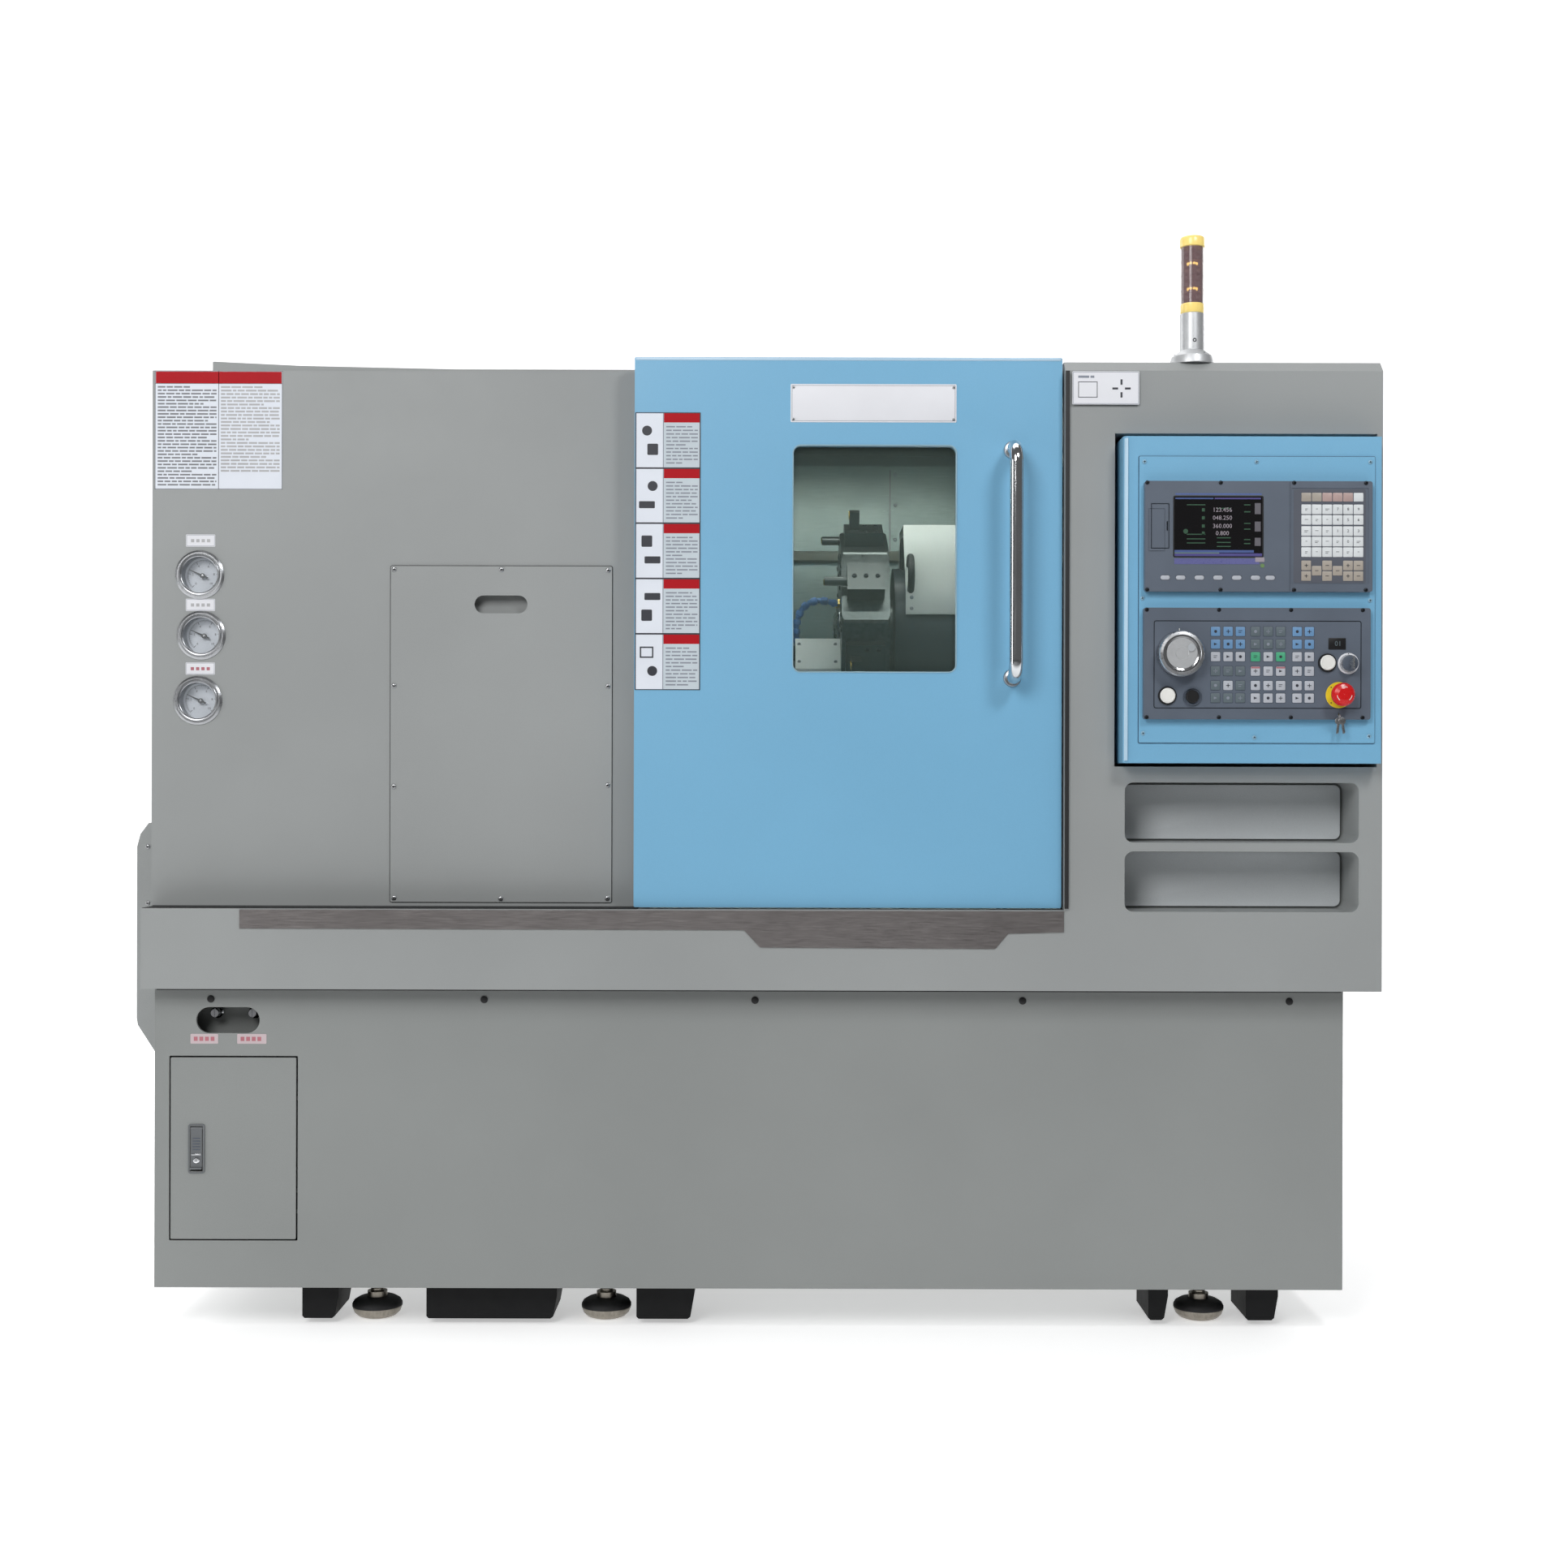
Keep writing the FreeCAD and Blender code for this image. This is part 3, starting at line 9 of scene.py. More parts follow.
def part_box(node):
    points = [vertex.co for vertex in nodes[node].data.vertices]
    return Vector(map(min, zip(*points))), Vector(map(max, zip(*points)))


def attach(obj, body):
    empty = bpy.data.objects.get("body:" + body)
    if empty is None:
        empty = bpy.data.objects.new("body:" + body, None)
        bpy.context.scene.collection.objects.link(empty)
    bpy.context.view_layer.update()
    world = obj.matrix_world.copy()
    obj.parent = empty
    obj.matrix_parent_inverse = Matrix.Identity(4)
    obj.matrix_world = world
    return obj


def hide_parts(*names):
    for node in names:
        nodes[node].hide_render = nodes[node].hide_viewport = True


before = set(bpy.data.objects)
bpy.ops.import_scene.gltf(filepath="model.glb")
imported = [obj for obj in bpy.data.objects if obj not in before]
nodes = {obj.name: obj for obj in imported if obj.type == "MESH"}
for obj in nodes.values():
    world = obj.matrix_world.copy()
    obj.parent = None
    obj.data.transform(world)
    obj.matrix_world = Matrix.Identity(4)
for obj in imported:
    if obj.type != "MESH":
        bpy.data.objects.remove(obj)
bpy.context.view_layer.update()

random.seed(7)
MM = 0.001

# ---------------------------------------------------------------- mesh helpers


def outline_rect(x0, x1, z0, z1, r=0.0, n=5):
    """Rounded rectangle in the XZ plane, counter-clockwise seen from -Y."""
    if r <= 1e-9:
        return [(x0, z0), (x1, z0), (x1, z1), (x0, z1)]
    pts = []
    for cx, cz, a0 in ((x1 - r, z0 + r, -90), (x1 - r, z1 - r, 0), (x0 + r, z1 - r, 90), (x0 + r, z0 + r, 180)):
        for k in range(n + 1):
            a = math.radians(a0 + 90.0 * k / n)
            pts.append((cx + r * math.cos(a), cz + r * math.sin(a)))
    return pts


def outline_circle(cx, cz, r, n=32, a0=0.0):
    return [(cx + r * math.cos(a0 + 2 * math.pi * k / n), cz + r * math.sin(a0 + 2 * math.pi * k / n)) for k in range(n)]


def inset(pts, d):
    """Outline moved inwards by d (convex or nearly convex outlines)."""
    out = []
    n = len(pts)
    for i in range(n):
        ax, az = pts[i - 1]
        bx, bz = pts[i]
        cx, cz = pts[(i + 1) % n]
        e1 = Vector((bx - ax, bz - az))
        e2 = Vector((cx - bx, cz - bz))
        if e1.length < 1e-9 or e2.length < 1e-9:
            out.append((bx, bz))
            continue
        e1.normalize()
        e2.normalize()
        n1 = Vector((-e1.y, e1.x))
        n2 = Vector((-e2.y, e2.x))
        m = n1 + n2
        if m.length < 1e-9:
            out.append((bx, bz))
            continue
        m.normalize()
        k = d / max(0.35, m.dot(n1))
        out.append((bx + m.x * k, bz + m.y * k))
    return out


class Mesh:
    """Collects closed shapes in metres and makes one object of them."""

    def __init__(self, name):
        self.name = name
        self.v = []
        self.f = []
        self.m = []
        self.s = []
        self.mats = []

    def mat(self, material):
        if material not in self.mats:
            self.mats.append(material)
        return self.mats.index(material)

    def add(self, verts, faces, material, smooth=False, xf=None):
        k = len(self.v)
        self.v += [tuple(xf @ Vector(p)) if xf is not None else tuple(p) for p in verts]
        mi = self.mat(material)
        for f in faces:
            self.f.append([i + k for i in f])
            self.m.append(mi)
            self.s.append(smooth)

    def slab(self, pts, y0, y1, material, b=0.0, xf=None, steps=2):
        """Outline pushed from the front face y0 (towards -Y) to the back y1, front edge rounded by b."""
        rings = [(pts, y1)]
        if b > 0:
            rings.append((pts, y0 + b))
            for k in range(1, steps + 1):
                a = math.pi / 2 * k / steps
                rings.append((inset(pts, b * (1 - math.cos(a))), y0 + b * (1 - math.sin(a))))
        else:
            rings.append((pts, y0))
        n = len(pts)
        verts = []
        for ring, y in rings:
            verts += [(p[0], y, p[1]) for p in ring]
        faces = [list(range(n))[::1]]
        faces[0] = list(reversed(range(n)))
        for r in range(len(rings) - 1):
            for i in range(n):
                j = (i + 1) % n
                faces.append([r * n + i, r * n + j, (r + 1) * n + j, (r + 1) * n + i])
        last = (len(rings) - 1) * n
        faces.append([last + i for i in range(n)])
        self.add(verts, faces, material, False, xf)

    def ringslab(self, outer, inner, y0, y1, material, xf=None):
        """Frame between two outlines with the same number of points."""
        n = len(outer)
        verts = [(p[0], y0, p[1]) for p in outer] + [(p[0], y0, p[1]) for p in inner] + \
                [(p[0], y1, p[1]) for p in outer] + [(p[0], y1, p[1]) for p in inner]
        faces = []
        for i in range(n):
            j = (i + 1) % n
            faces.append([i, j, n + j, n + i])
            faces.append([2 * n + j, 2 * n + i, 3 * n + i, 3 * n + j])
            faces.append([j, i, 2 * n + i, 2 * n + j])
            faces.append([n + i, n + j, 3 * n + j, 3 * n + i])
        self.add(verts, faces, material, False, xf)

    def block(self, lo, hi, material, b=0.0, xf=None):
        """Box with all edges chamfered by b."""
        bm = bmesh.new()
        bmesh.ops.create_cube(bm, size=1.0)
        c = [(lo[i] + hi[i]) / 2 for i in range(3)]
        d = [hi[i] - lo[i] for i in range(3)]
        for v in bm.verts:
            v.co = Vector((c[0] + v.co.x * d[0], c[1] + v.co.y * d[1], c[2] + v.co.z * d[2]))
        if b > 0:
            bmesh.ops.bevel(bm, geom=list(bm.edges), offset=b, segments=2, profile=0.5, affect="EDGES")
        bm.verts.index_update()
        self.add([v.co[:] for v in bm.verts], [[v.index for v in f.verts] for f in bm.faces], material, False, xf)
        bm.free()

    def lathe(self, prof, centre, axis, material, n=32, smooth=True, closed=False, xf=None):
        """Profile of (radius, along) turned about an axis through centre. axis: x, y, -y, z."""
        ex = {"x": (Vector((1, 0, 0)), Vector((0, 1, 0)), Vector((0, 0, 1))),
              "y": (Vector((0, 1, 0)), Vector((0, 0, 1)), Vector((1, 0, 0))),
              "-y": (Vector((0, -1, 0)), Vector((1, 0, 0)), Vector((0, 0, 1))),
              "-z": (Vector((0, 0, -1)), Vector((0, 1, 0)), Vector((1, 0, 0))),
              "z": (Vector((0, 0, 1)), Vector((1, 0, 0)), Vector((0, 1, 0)))}[axis] if isinstance(axis, str) else axis
        w, u, t = ex
        c = Vector(centre)
        verts, rows = [], []
        for r, h in prof:
            if r < 1e-7:
                rows.append([len(verts)])
                verts.append(tuple(c + w * h))
            else:
                rows.append(list(range(len(verts), len(verts) + n)))
                for k in range(n):
                    a = 2 * math.pi * k / n
                    verts.append(tuple(c + w * h + (u * math.cos(a) + t * math.sin(a)) * r))
        faces = []
        idx = list(range(len(rows) - 1))
        pairs = [(i, i + 1) for i in idx] + ([(len(rows) - 1, 0)] if closed else [])
        for a, b in pairs:
            A, B = rows[a], rows[b]
            for k in range(n):
                j = (k + 1) % n
                if len(A) == 1 and len(B) == 1:
                    continue
                if len(A) == 1:
                    faces.append([A[0], B[j], B[k]][::-1])
                elif len(B) == 1:
                    faces.append([A[k], A[j], B[0]])
                else:
                    faces.append([A[k], A[j], B[j], B[k]])
        if not closed:
            if len(rows[0]) > 1:
                faces.append(list(reversed(rows[0])))
            if len(rows[-1]) > 1:
                faces.append(list(rows[-1]))
        self.add(verts, faces, material, smooth, xf)

    def tube(self, pts, r, material, n=12, xf=None, caps=True):
        """Round tube through points."""
        P = [Vector(p) for p in pts]
        verts, faces = [], []
        prev = None
        for i, p in enumerate(P):
            t = (P[min(i + 1, len(P) - 1)] - P[max(i - 1, 0)]).normalized()
            ref = prev if prev is not None else (Vector((0, 0, 1)) if abs(t.z) < 0.9 else Vector((1, 0, 0)))
            u = (ref - t * ref.dot(t)).normalized()
            prev = u
            w = t.cross(u)
            rr = r[i] if isinstance(r, (list, tuple)) else r
            for k in range(n):
                a = 2 * math.pi * k / n
                verts.append(tuple(p + (u * math.cos(a) + w * math.sin(a)) * rr))
        for i in range(len(P) - 1):
            for k in range(n):
                j = (k + 1) % n
                faces.append([i * n + k, i * n + j, (i + 1) * n + j, (i + 1) * n + k])
        if caps:
            faces.append(list(reversed(range(n))))
            faces.append([(len(P) - 1) * n + k for k in range(n)])
        self.add(verts, faces, material, True, xf)

    def text(self, body_text, size, at, y, material, depth=0.0002, align="CENTER", rot=0.0):
        """Generic figures set on a face that looks towards -Y."""
        cu = bpy.data.curves.new("t", "FONT")
        cu.body = body_text
        cu.size = size
        cu.align_x = align
        cu.align_y = "CENTER"
        cu.extrude = depth
        cu.resolution_u = 2
        ob = bpy.data.objects.new("t", cu)
        bpy.context.scene.collection.objects.link(ob)
        dg = bpy.context.evaluated_depsgraph_get()
        me = bpy.data.meshes.new_from_object(ob.evaluated_get(dg))
        xf = Matrix.Translation((at[0], y, at[1])) @ Matrix.Rotation(rot, 4, "Y") @ Matrix.Rotation(math.pi / 2, 4, "X")
        self.add([v.co[:] for v in me.vertices], [list(p.vertices) for p in me.polygons], material, False, xf)
        bpy.data.objects.remove(ob)
        bpy.data.curves.remove(cu)
        bpy.data.meshes.remove(me)

    def finish(self, body, slot=None, auto=35.0, bevel=0.0):
        me = bpy.data.meshes.new(self.name)
        me.from_pydata(self.v, [], self.f)
        for m in self.mats:
            me.materials.append(m)
        for p, mi, sm in zip(me.polygons, self.m, self.s):
            p.material_index = mi
            p.use_smooth = True
        me.validate()
        bm = bmesh.new()
        bm.from_mesh(me)
        bmesh.ops.recalc_face_normals(bm, faces=bm.faces)
        lim = math.radians(auto)
        for e in bm.edges:
            if len(e.link_faces) == 2 and e.calc_face_angle(0.0) > lim:
                e.smooth = False
        bm.to_mesh(me)
        bm.free()
        ob = bpy.data.objects.new(self.name, me)
        bpy.context.scene.collection.objects.link(ob)
        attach(ob, body)
        return ob


# ------------------------------------------------------------------- materials


def srgb(r, g, b):
    def lin(c):
        c /= 255.0
        return c / 12.92 if c <= 0.04045 else ((c + 0.055) / 1.055) ** 2.4
    return (lin(r), lin(g), lin(b), 1.0)


def shade(c, k):
    return (min(1, c[0] * k), min(1, c[1] * k), min(1, c[2] * k), 1.0)


def material(name):
    m = bpy.data.materials.new(name)
    m.use_nodes = True
    nt = m.node_tree
    return m, nt, nt.nodes["Principled BSDF"]


def coords(nt, scale=(1, 1, 1)):
    tc = nt.nodes.new("ShaderNodeTexCoord")
    mp = nt.nodes.new("ShaderNodeMapping")
    mp.inputs["Scale"].default_value = scale
    nt.links.new(tc.outputs["Object"], mp.inputs["Vector"])
    return mp.outputs["Vector"]


def noise(nt, vec, scale, detail=4.0, rough=0.55, distort=0.0):
    n = nt.nodes.new("ShaderNodeTexNoise")
    n.inputs["Scale"].default_value = scale
    n.inputs["Detail"].default_value = detail
    n.inputs["Roughness"].default_value = rough
    n.inputs["Distortion"].default_value = distort
    nt.links.new(vec, n.inputs["Vector"])
    return n.outputs["Fac"]


def ramp(nt, fac, stops, mode="LINEAR"):
    r = nt.nodes.new("ShaderNodeValToRGB")
    r.color_ramp.interpolation = mode
    el = r.color_ramp.elements
    el[0].position, el[0].color = stops[0]
    el[1].position, el[1].color = stops[-1]
    for p, c in stops[1:-1]:
        e = el.new(p)
        e.color = c
    nt.links.new(fac, r.inputs["Fac"])
    return r.outputs["Color"]


def span(nt, fac, lo, hi, flo=0.0, fhi=1.0):
    r = nt.nodes.new("ShaderNodeMapRange")
    r.inputs["From Min"].default_value = flo
    r.inputs["From Max"].default_value = fhi
    r.inputs["To Min"].default_value = lo
    r.inputs["To Max"].default_value = hi
    nt.links.new(fac, r.inputs["Value"])
    return r.outputs["Result"]


def mix(nt, fac, a, b, blend="MIX"):
    m = nt.nodes.new("ShaderNodeMix")
    m.data_type = "RGBA"
    m.blend_type = blend
    if isinstance(fac, float):
        m.inputs[0].default_value = fac
    else:
        nt.links.new(fac, m.inputs[0])
    for sock, val in ((m.inputs[6], a), (m.inputs[7], b)):
        if isinstance(val, tuple):
            sock.default_value = val
        else:
            nt.links.new(val, sock)
    return m.outputs[2]


def bump(nt, bsdf, height, dist, strength=1.0):
    b = nt.nodes.new("ShaderNodeBump")
    b.inputs["Distance"].default_value = dist
    b.inputs["Strength"].default_value = strength
    nt.links.new(height, b.inputs["Height"])
    nt.links.new(b.outputs["Normal"], bsdf.inputs["Normal"])


def edge_wear(nt, reach=0.004):
    """Bright only where the surface turns sharply, for rubbed edges."""
    bv = nt.nodes.new("ShaderNodeBevel")
    bv.samples = 4
    bv.inputs["Radius"].default_value = reach
    ge = nt.nodes.new("ShaderNodeNewGeometry")
    dt = nt.nodes.new("ShaderNodeVectorMath")
    dt.operation = "DOT_PRODUCT"
    nt.links.new(bv.outputs["Normal"], dt.inputs[0])
    nt.links.new(ge.outputs["Normal"], dt.inputs[1])
    return span(nt, dt.outputs["Value"], 1.0, 0.0, 0.80, 0.995)


def paint(name, colour, rough=0.42, grain=900.0, relief=0.00006, cloud=0.06, coat=0.0, speck=0.05):
    """Baked enamel: faint cloudiness, fine leather-like texture, slightly uneven gloss."""
    m, nt, b = material(name)
    v = coords(nt)
    big = noise(nt, v, 1.7, 3.0)
    fine = noise(nt, v, grain, 2.0, 0.6)
    mid = noise(nt, v, 38.0, 4.0, 0.6)
    base = ramp(nt, big, [(0.30, shade(colour, 1 - cloud)), (0.70, shade(colour, 1 + cloud))])
    spk = ramp(nt, fine, [(0.35, (1 - speck, 1 - speck, 1 - speck, 1)), (0.62, (1 + 0, 1 + 0, 1 + 0, 1))])
    nt.links.new(mix(nt, 1.0, base, spk, "MULTIPLY"), b.inputs["Base Color"])
    nt.links.new(span(nt, mid, rough - 0.025, rough + 0.035, 0.3, 0.7), b.inputs["Roughness"])
    b.inputs["Coat Weight"].default_value = coat
    b.inputs["Coat Roughness"].default_value = 0.18
    bump(nt, b, fine, relief)
    return m


def metal(name, colour, rough, stretch=(1, 1, 1), scale=300.0, depth=0.00002, var=0.10, aniso=0.0):
    """Metal with machining or brushing marks along one direction."""
    m, nt, b = material(name)
    v = coords(nt, stretch)
    lines = noise(nt, v, scale, 3.0, 0.7)
    v2 = coords(nt)
    cloud = noise(nt, v2, 9.0, 4.0)
    col = ramp(nt, lines, [(0.25, shade(colour, 1 - var)), (0.75, shade(colour, 1 + var))])
    smut = ramp(nt, cloud, [(0.30, (0.86, 0.86, 0.86, 1)), (0.65, (1, 1, 1, 1))])
    nt.links.new(mix(nt, 1.0, col, smut, "MULTIPLY"), b.inputs["Base Color"])
    b.inputs["Metallic"].default_value = 1.0
    nt.links.new(span(nt, lines, max(0.02, rough - 0.08), rough + 0.10, 0.25, 0.75), b.inputs["Roughness"])
    b.inputs["Anisotropic"].default_value = aniso
    bump(nt, b, lines, depth)
    return m


def plastic(name, colour, rough=0.35, grain=1400.0, relief=0.00003, spec=0.5, var=0.05, emit=None):
    m, nt, b = material(name)
    v = coords(nt)
    fine = noise(nt, v, grain, 2.0, 0.6)
    big = noise(nt, v, 14.0, 3.0)
    nt.links.new(ramp(nt, big, [(0.30, shade(colour, 1 - var)), (0.70, shade(colour, 1 + var))]), b.inputs["Base Color"])
    nt.links.new(span(nt, fine, rough - 0.05, rough + 0.06, 0.3, 0.7), b.inputs["Roughness"])
    b.inputs["Specular IOR Level"].default_value = spec
    if emit:
        b.inputs["Emission Color"].default_value = emit[0]
        b.inputs["Emission Strength"].default_value = emit[1]
    bump(nt, b, fine, relief)
    return m


def tinted(name, colour, alpha, rough=0.02, spec=0.5):
    """Thin clear sheet: mostly see-through, with its own gloss and faint smears."""
    m, nt, b = material(name)
    v = coords(nt)
    n = noise(nt, v, 5.0, 4.0)
    nt.links.new(ramp(nt, n, [(0.3, shade(colour, 0.96)), (0.7, shade(colour, 1.04))]), b.inputs["Base Color"])
    nt.links.new(span(nt, n, rough, rough + 0.05, 0.3, 0.7), b.inputs["Roughness"])
    nt.links.new(span(nt, n, alpha - 0.02, alpha + 0.03, 0.3, 0.7), b.inputs["Alpha"])
    b.inputs["Specular IOR Level"].default_value = spec
    return m


def clear(name, colour, rough=0.02, ior=1.46, alpha=1.0, trans=1.0):
    m, nt, b = material(name)
    v = coords(nt)
    n = noise(nt, v, 6.0, 3.0)
    nt.links.new(ramp(nt, n, [(0.3, shade(colour, 0.97)), (0.7, shade(colour, 1.02))]), b.inputs["Base Color"])
    nt.links.new(span(nt, n, rough, rough + 0.03, 0.3, 0.7), b.inputs["Roughness"])
    b.inputs["Transmission Weight"].default_value = trans
    b.inputs["IOR"].default_value = ior
    b.inputs["Alpha"].default_value = alpha
    return m


GREY = srgb(152, 155, 155)
BLUE = srgb(120, 177, 211)
M = {}
M["grey"] = paint("grey_enamel", GREY, 0.46, 850.0, 0.00007)
M["grey"].node_tree.nodes["Principled BSDF"].inputs["Specular IOR Level"].default_value = 0.36
M["base"] = paint("base_enamel", srgb(139, 142, 141), 0.48, 800.0, 0.00008)
M["base"].node_tree.nodes["Principled BSDF"].inputs["Specular IOR Level"].default_value = 0.34
M["blue"] = paint("blue_enamel", BLUE, 0.36, 700.0, 0.00004, 0.03, 0.12, 0.03)
# pale blue for the door's top rim: a painted highlight
M["rim"] = paint("blue_rim_painted_highlight", srgb(176, 205, 226), 0.34, 700.0, 0.00003, 0.03)
M["cast"] = paint("cast_enamel", srgb(118, 126, 124), 0.5, 260.0, 0.0003, 0.08)
M["dark"] = paint("black_enamel", srgb(26, 27, 29), 0.42, 600.0, 0.00006, 0.15)
M["skid"] = paint("skid_enamel", srgb(11, 12, 14), 0.62, 300.0, 0.0001, 0.15)
M["skid"].node_tree.nodes["Principled BSDF"].inputs["Specular IOR Level"].default_value = 0.25
M["slate"] = plastic("slate_satin", srgb(90, 99, 112), 0.42, 1500.0, 0.00003)
M["slateline"] = plastic("slate_seam", srgb(58, 66, 78), 0.45, 1500.0, 0.00003)
M["slate2"] = plastic("slate_inner", srgb(74, 83, 96), 0.45, 1500.0, 0.00003)
M["stainless"] = metal("brushed_stainless", srgb(196, 202, 198), 0.36, (0.05, 1, 1), 700.0, 0.00002, 0.10, 0.4)
M["liner"] = metal("liner_stainless", srgb(168, 178, 172), 0.34, (0.06, 1, 1), 420.0, 0.00004, 0.12, 0.3)
M["strip"] = metal("dark_brushed_strip", srgb(158, 153, 152), 0.42, (0.03, 1, 1), 900.0, 0.00002, 0.12, 0.4)
M["chrome"] = metal("polished_chrome", srgb(214, 216, 219), 0.09, (1, 1, 0.05), 260.0, 0.000004, 0.02)
M["alu"] = metal("satin_aluminium", srgb(214, 216, 218), 0.28, (1, 0.05, 1), 500.0, 0.00001, 0.06, 0.3)
M["machined"] = metal("ground_steel", srgb(190, 192, 192), 0.26, (1, 0.08, 0.08), 500.0, 0.00001, 0.10, 0.3)
M["footm"] = metal("foot_zinc", srgb(158, 152, 142), 0.36, (1, 1, 0.2), 160.0, 0.0001, 0.25)
M["screw"] = metal("screw_steel", srgb(176, 178, 180), 0.30, (1, 1, 1), 900.0, 0.00002, 0.15)
M["screwdark"] = metal("screw_black", srgb(52, 54, 58), 0.40, (1, 1, 1), 900.0, 0.00002, 0.15)
M["blackp"] = plastic("black_moulding", srgb(18, 18, 20), 0.42)
M["rubber"] = plastic("black_rubber", srgb(24, 24, 26), 0.62, 500.0, 0.00008)
M["whitep"] = plastic("white_moulding", srgb(232, 232, 228), 0.28)
M["redp"] = plastic("red_moulding", srgb(206, 24, 26), 0.24, 900.0, 0.00001)
M["yellow"] = plastic("yellow_ring", srgb(226, 196, 40), 0.36)
M["label"] = plastic("label_film", srgb(226, 227, 232), 0.46, 600.0, 0.00001, 0.25, 0.02)
M["labelcell"] = plastic("label_cell_film", srgb(196, 206, 213), 0.46, 600.0, 0.00001, 0.25, 0.03)
M["labelpink"] = plastic("label_pink_film", srgb(196, 180, 184), 0.36, 600.0, 0.00001, 0.4, 0.03)
M["labelred"] = plastic("label_red", srgb(172, 8, 24), 0.55, 600.0, 0.00001, 0.20, 0.04)
M["ink"] = plastic("label_ink", srgb(48, 50, 58), 0.40, 600.0, 0.000005)
M["inkgrey"] = plastic("label_grey_ink", srgb(132, 138, 150), 0.40, 600.0, 0.000005)
M["inkred"] = plastic("label_red_ink", srgb(168, 112, 120), 0.40, 600.0, 0.000005)
M["gap"] = plastic("shadow_gap", srgb(14, 15, 16), 0.7)

# ---------------------------------------------------------- CAD node finishes
M["gauge"] = metal("gauge_chrome", srgb(176, 178, 181), 0.30, (1, 1, 1), 700.0, 0.00001, 0.05)
M["tool"] = metal("tool_steel", srgb(102, 105, 104), 0.36, (1, 1, 1), 300.0, 0.00003, 0.12)
M["disc"] = metal("turret_disc_steel", srgb(106, 111, 110), 0.34, (1, 1, 1), 120.0, 0.00006, 0.25)
M["turret"] = paint("turret_enamel", srgb(62, 70, 76), 0.40, 260.0, 0.0002, 0.10)
M["glass"] = tinted("door_glass", srgb(90, 104, 98), 0.20, 0.02, 0.35)
M["lens"] = tinted("smoked_lens", srgb(120, 96, 98), 0.6, 0.08)
M["toweralu"] = metal("lamp_stem_metal", srgb(204, 206, 208), 0.42, (1, 1, 1), 240.0, 0.000004, 0.03)
M["toweralu"].node_tree.nodes["Principled BSDF"].inputs["Metallic"].default_value = 0.55
M["latchgrey"] = plastic("latch_grey", srgb(98, 101, 104), 0.40, 900.0, 0.00002)
M["hose"] = plastic("hose_rubber", srgb(34, 36, 38), 0.5, 300.0, 0.0001)

FINISH = {
    "base_cabinet": "base", "apron_belt": "grey", "sill_strip": "strip", "chip_pan": "liner", "hood_shell": "grey",
    "access_panel": "grey", "left_side_cover": "grey", "chamber_liner": "liner", "door_rail": "grey",
    "control_column": "grey", "tower_base": "toweralu", "tower_lens": "lens", "gauge_cases": "gauge",
    "gauge_needle_1": "blackp", "gauge_needle_2": "blackp", "gauge_needle_3": "blackp", "valve_bodies": "machined",
    "valve_knob_left": "chrome", "valve_knob_right": "chrome", "levelling_feet": "footm", "skid_blocks": "skid",
    "electrical_cabinet": "grey", "door_panel": "blue", "window_glass": "glass", "door_handle": "chrome",
    "base_door": "base", "base_door_hinges": "base", "latch_paddle": "latchgrey", "control_box": "blue",
    "display_unit": "slate", "operator_panel": "slate", "button_upper": "whitep", "button_lower": "whitep",
    "button_black": "blackp", "handwheel": "alu", "estop_stem": "blackp", "estop_cap": "redp", "key_switch": "alu",
    "bed_casting": "cast", "headstock": "cast", "spindle_bearings": "machined", "spindle_shaft": "machined",
    "spindle_pulley": "machined", "chuck_body": "machined", "jaw_1": "tool", "jaw_2": "tool", "jaw_3": "tool",
    "spindle_motor": "dark", "motor_pulley": "machined", "drive_belt": "rubber", "z_rails": "machined",
    "saddle": "liner", "z_screw": "machined", "z_axis_motor": "dark", "x_screw": "machined", "x_axis_motor": "dark",
    "turret_body": "turret", "turret_disc": "disc", "tool_holders": "tool", "coolant_hoses": "hose"}
for n, k in FINISH.items():
    ob = nodes[n]
    for s in ob.material_slots:
        s.material = M[k]

B = {n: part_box(n) for n in FINISH}


def lo(n):
    return B[n][0]


def hi(n):
    return B[n][1]


def soften(n, width=0.0015, angle=40.0):
    """Rounds the sharp sheet-metal corners of a CAD node when it is drawn."""
    md = nodes[n].modifiers.new("edge", "BEVEL")
    md.width = width
    md.segments = 2
    md.limit_method = "ANGLE"
    md.angle_limit = math.radians(angle)
    md.harden_normals = False


# -------------------------------------------------------------- small hardware


def face(origin, u, n, up=(0, 0, 1)):
    """Local frame of a face: x along u, z along up, and -y out of the face along n."""
    m = Matrix.Identity(4)
    for i in range(3):
        m[i][0], m[i][1], m[i][2], m[i][3] = u[i], -n[i], up[i], origin[i]
    return m


def pan_screw(b, x, z, y, r, mat, slot="cross", h=None, turn=0.0, on=None):
    """Domed screw head on a face that looks towards -Y, with a recess in it."""
    h = h or r * 0.5
    xf = Matrix.Translation((x, y, z)) @ Matrix.Rotation(turn, 4, "Y")
    if on is not None:
        xf = on @ xf
    prof = [(r, 0.0), (r, h * 0.35), (r * 0.92, h * 0.62), (r * 0.72, h * 0.86), (r * 0.45, h * 0.98)]
    if slot == "hex":
        b.lathe(prof + [(r * 0.45, h * 0.3), (0.0, h * 0.3)], (0, 0, 0), "-y", mat, 18, xf=xf)
    else:
        b.lathe(prof + [(0.0, h)], (0, 0, 0), "-y", mat, 18, xf=xf)
        w = r * 0.12
        b.block((-r * 0.55, -h * 1.03, -w), (r * 0.55, -h * 0.70, w), M["gap"], 0, xf)
        b.block((-w, -h * 1.03, -r * 0.55), (w, -h * 0.70, r * 0.55), M["gap"], 0, xf)


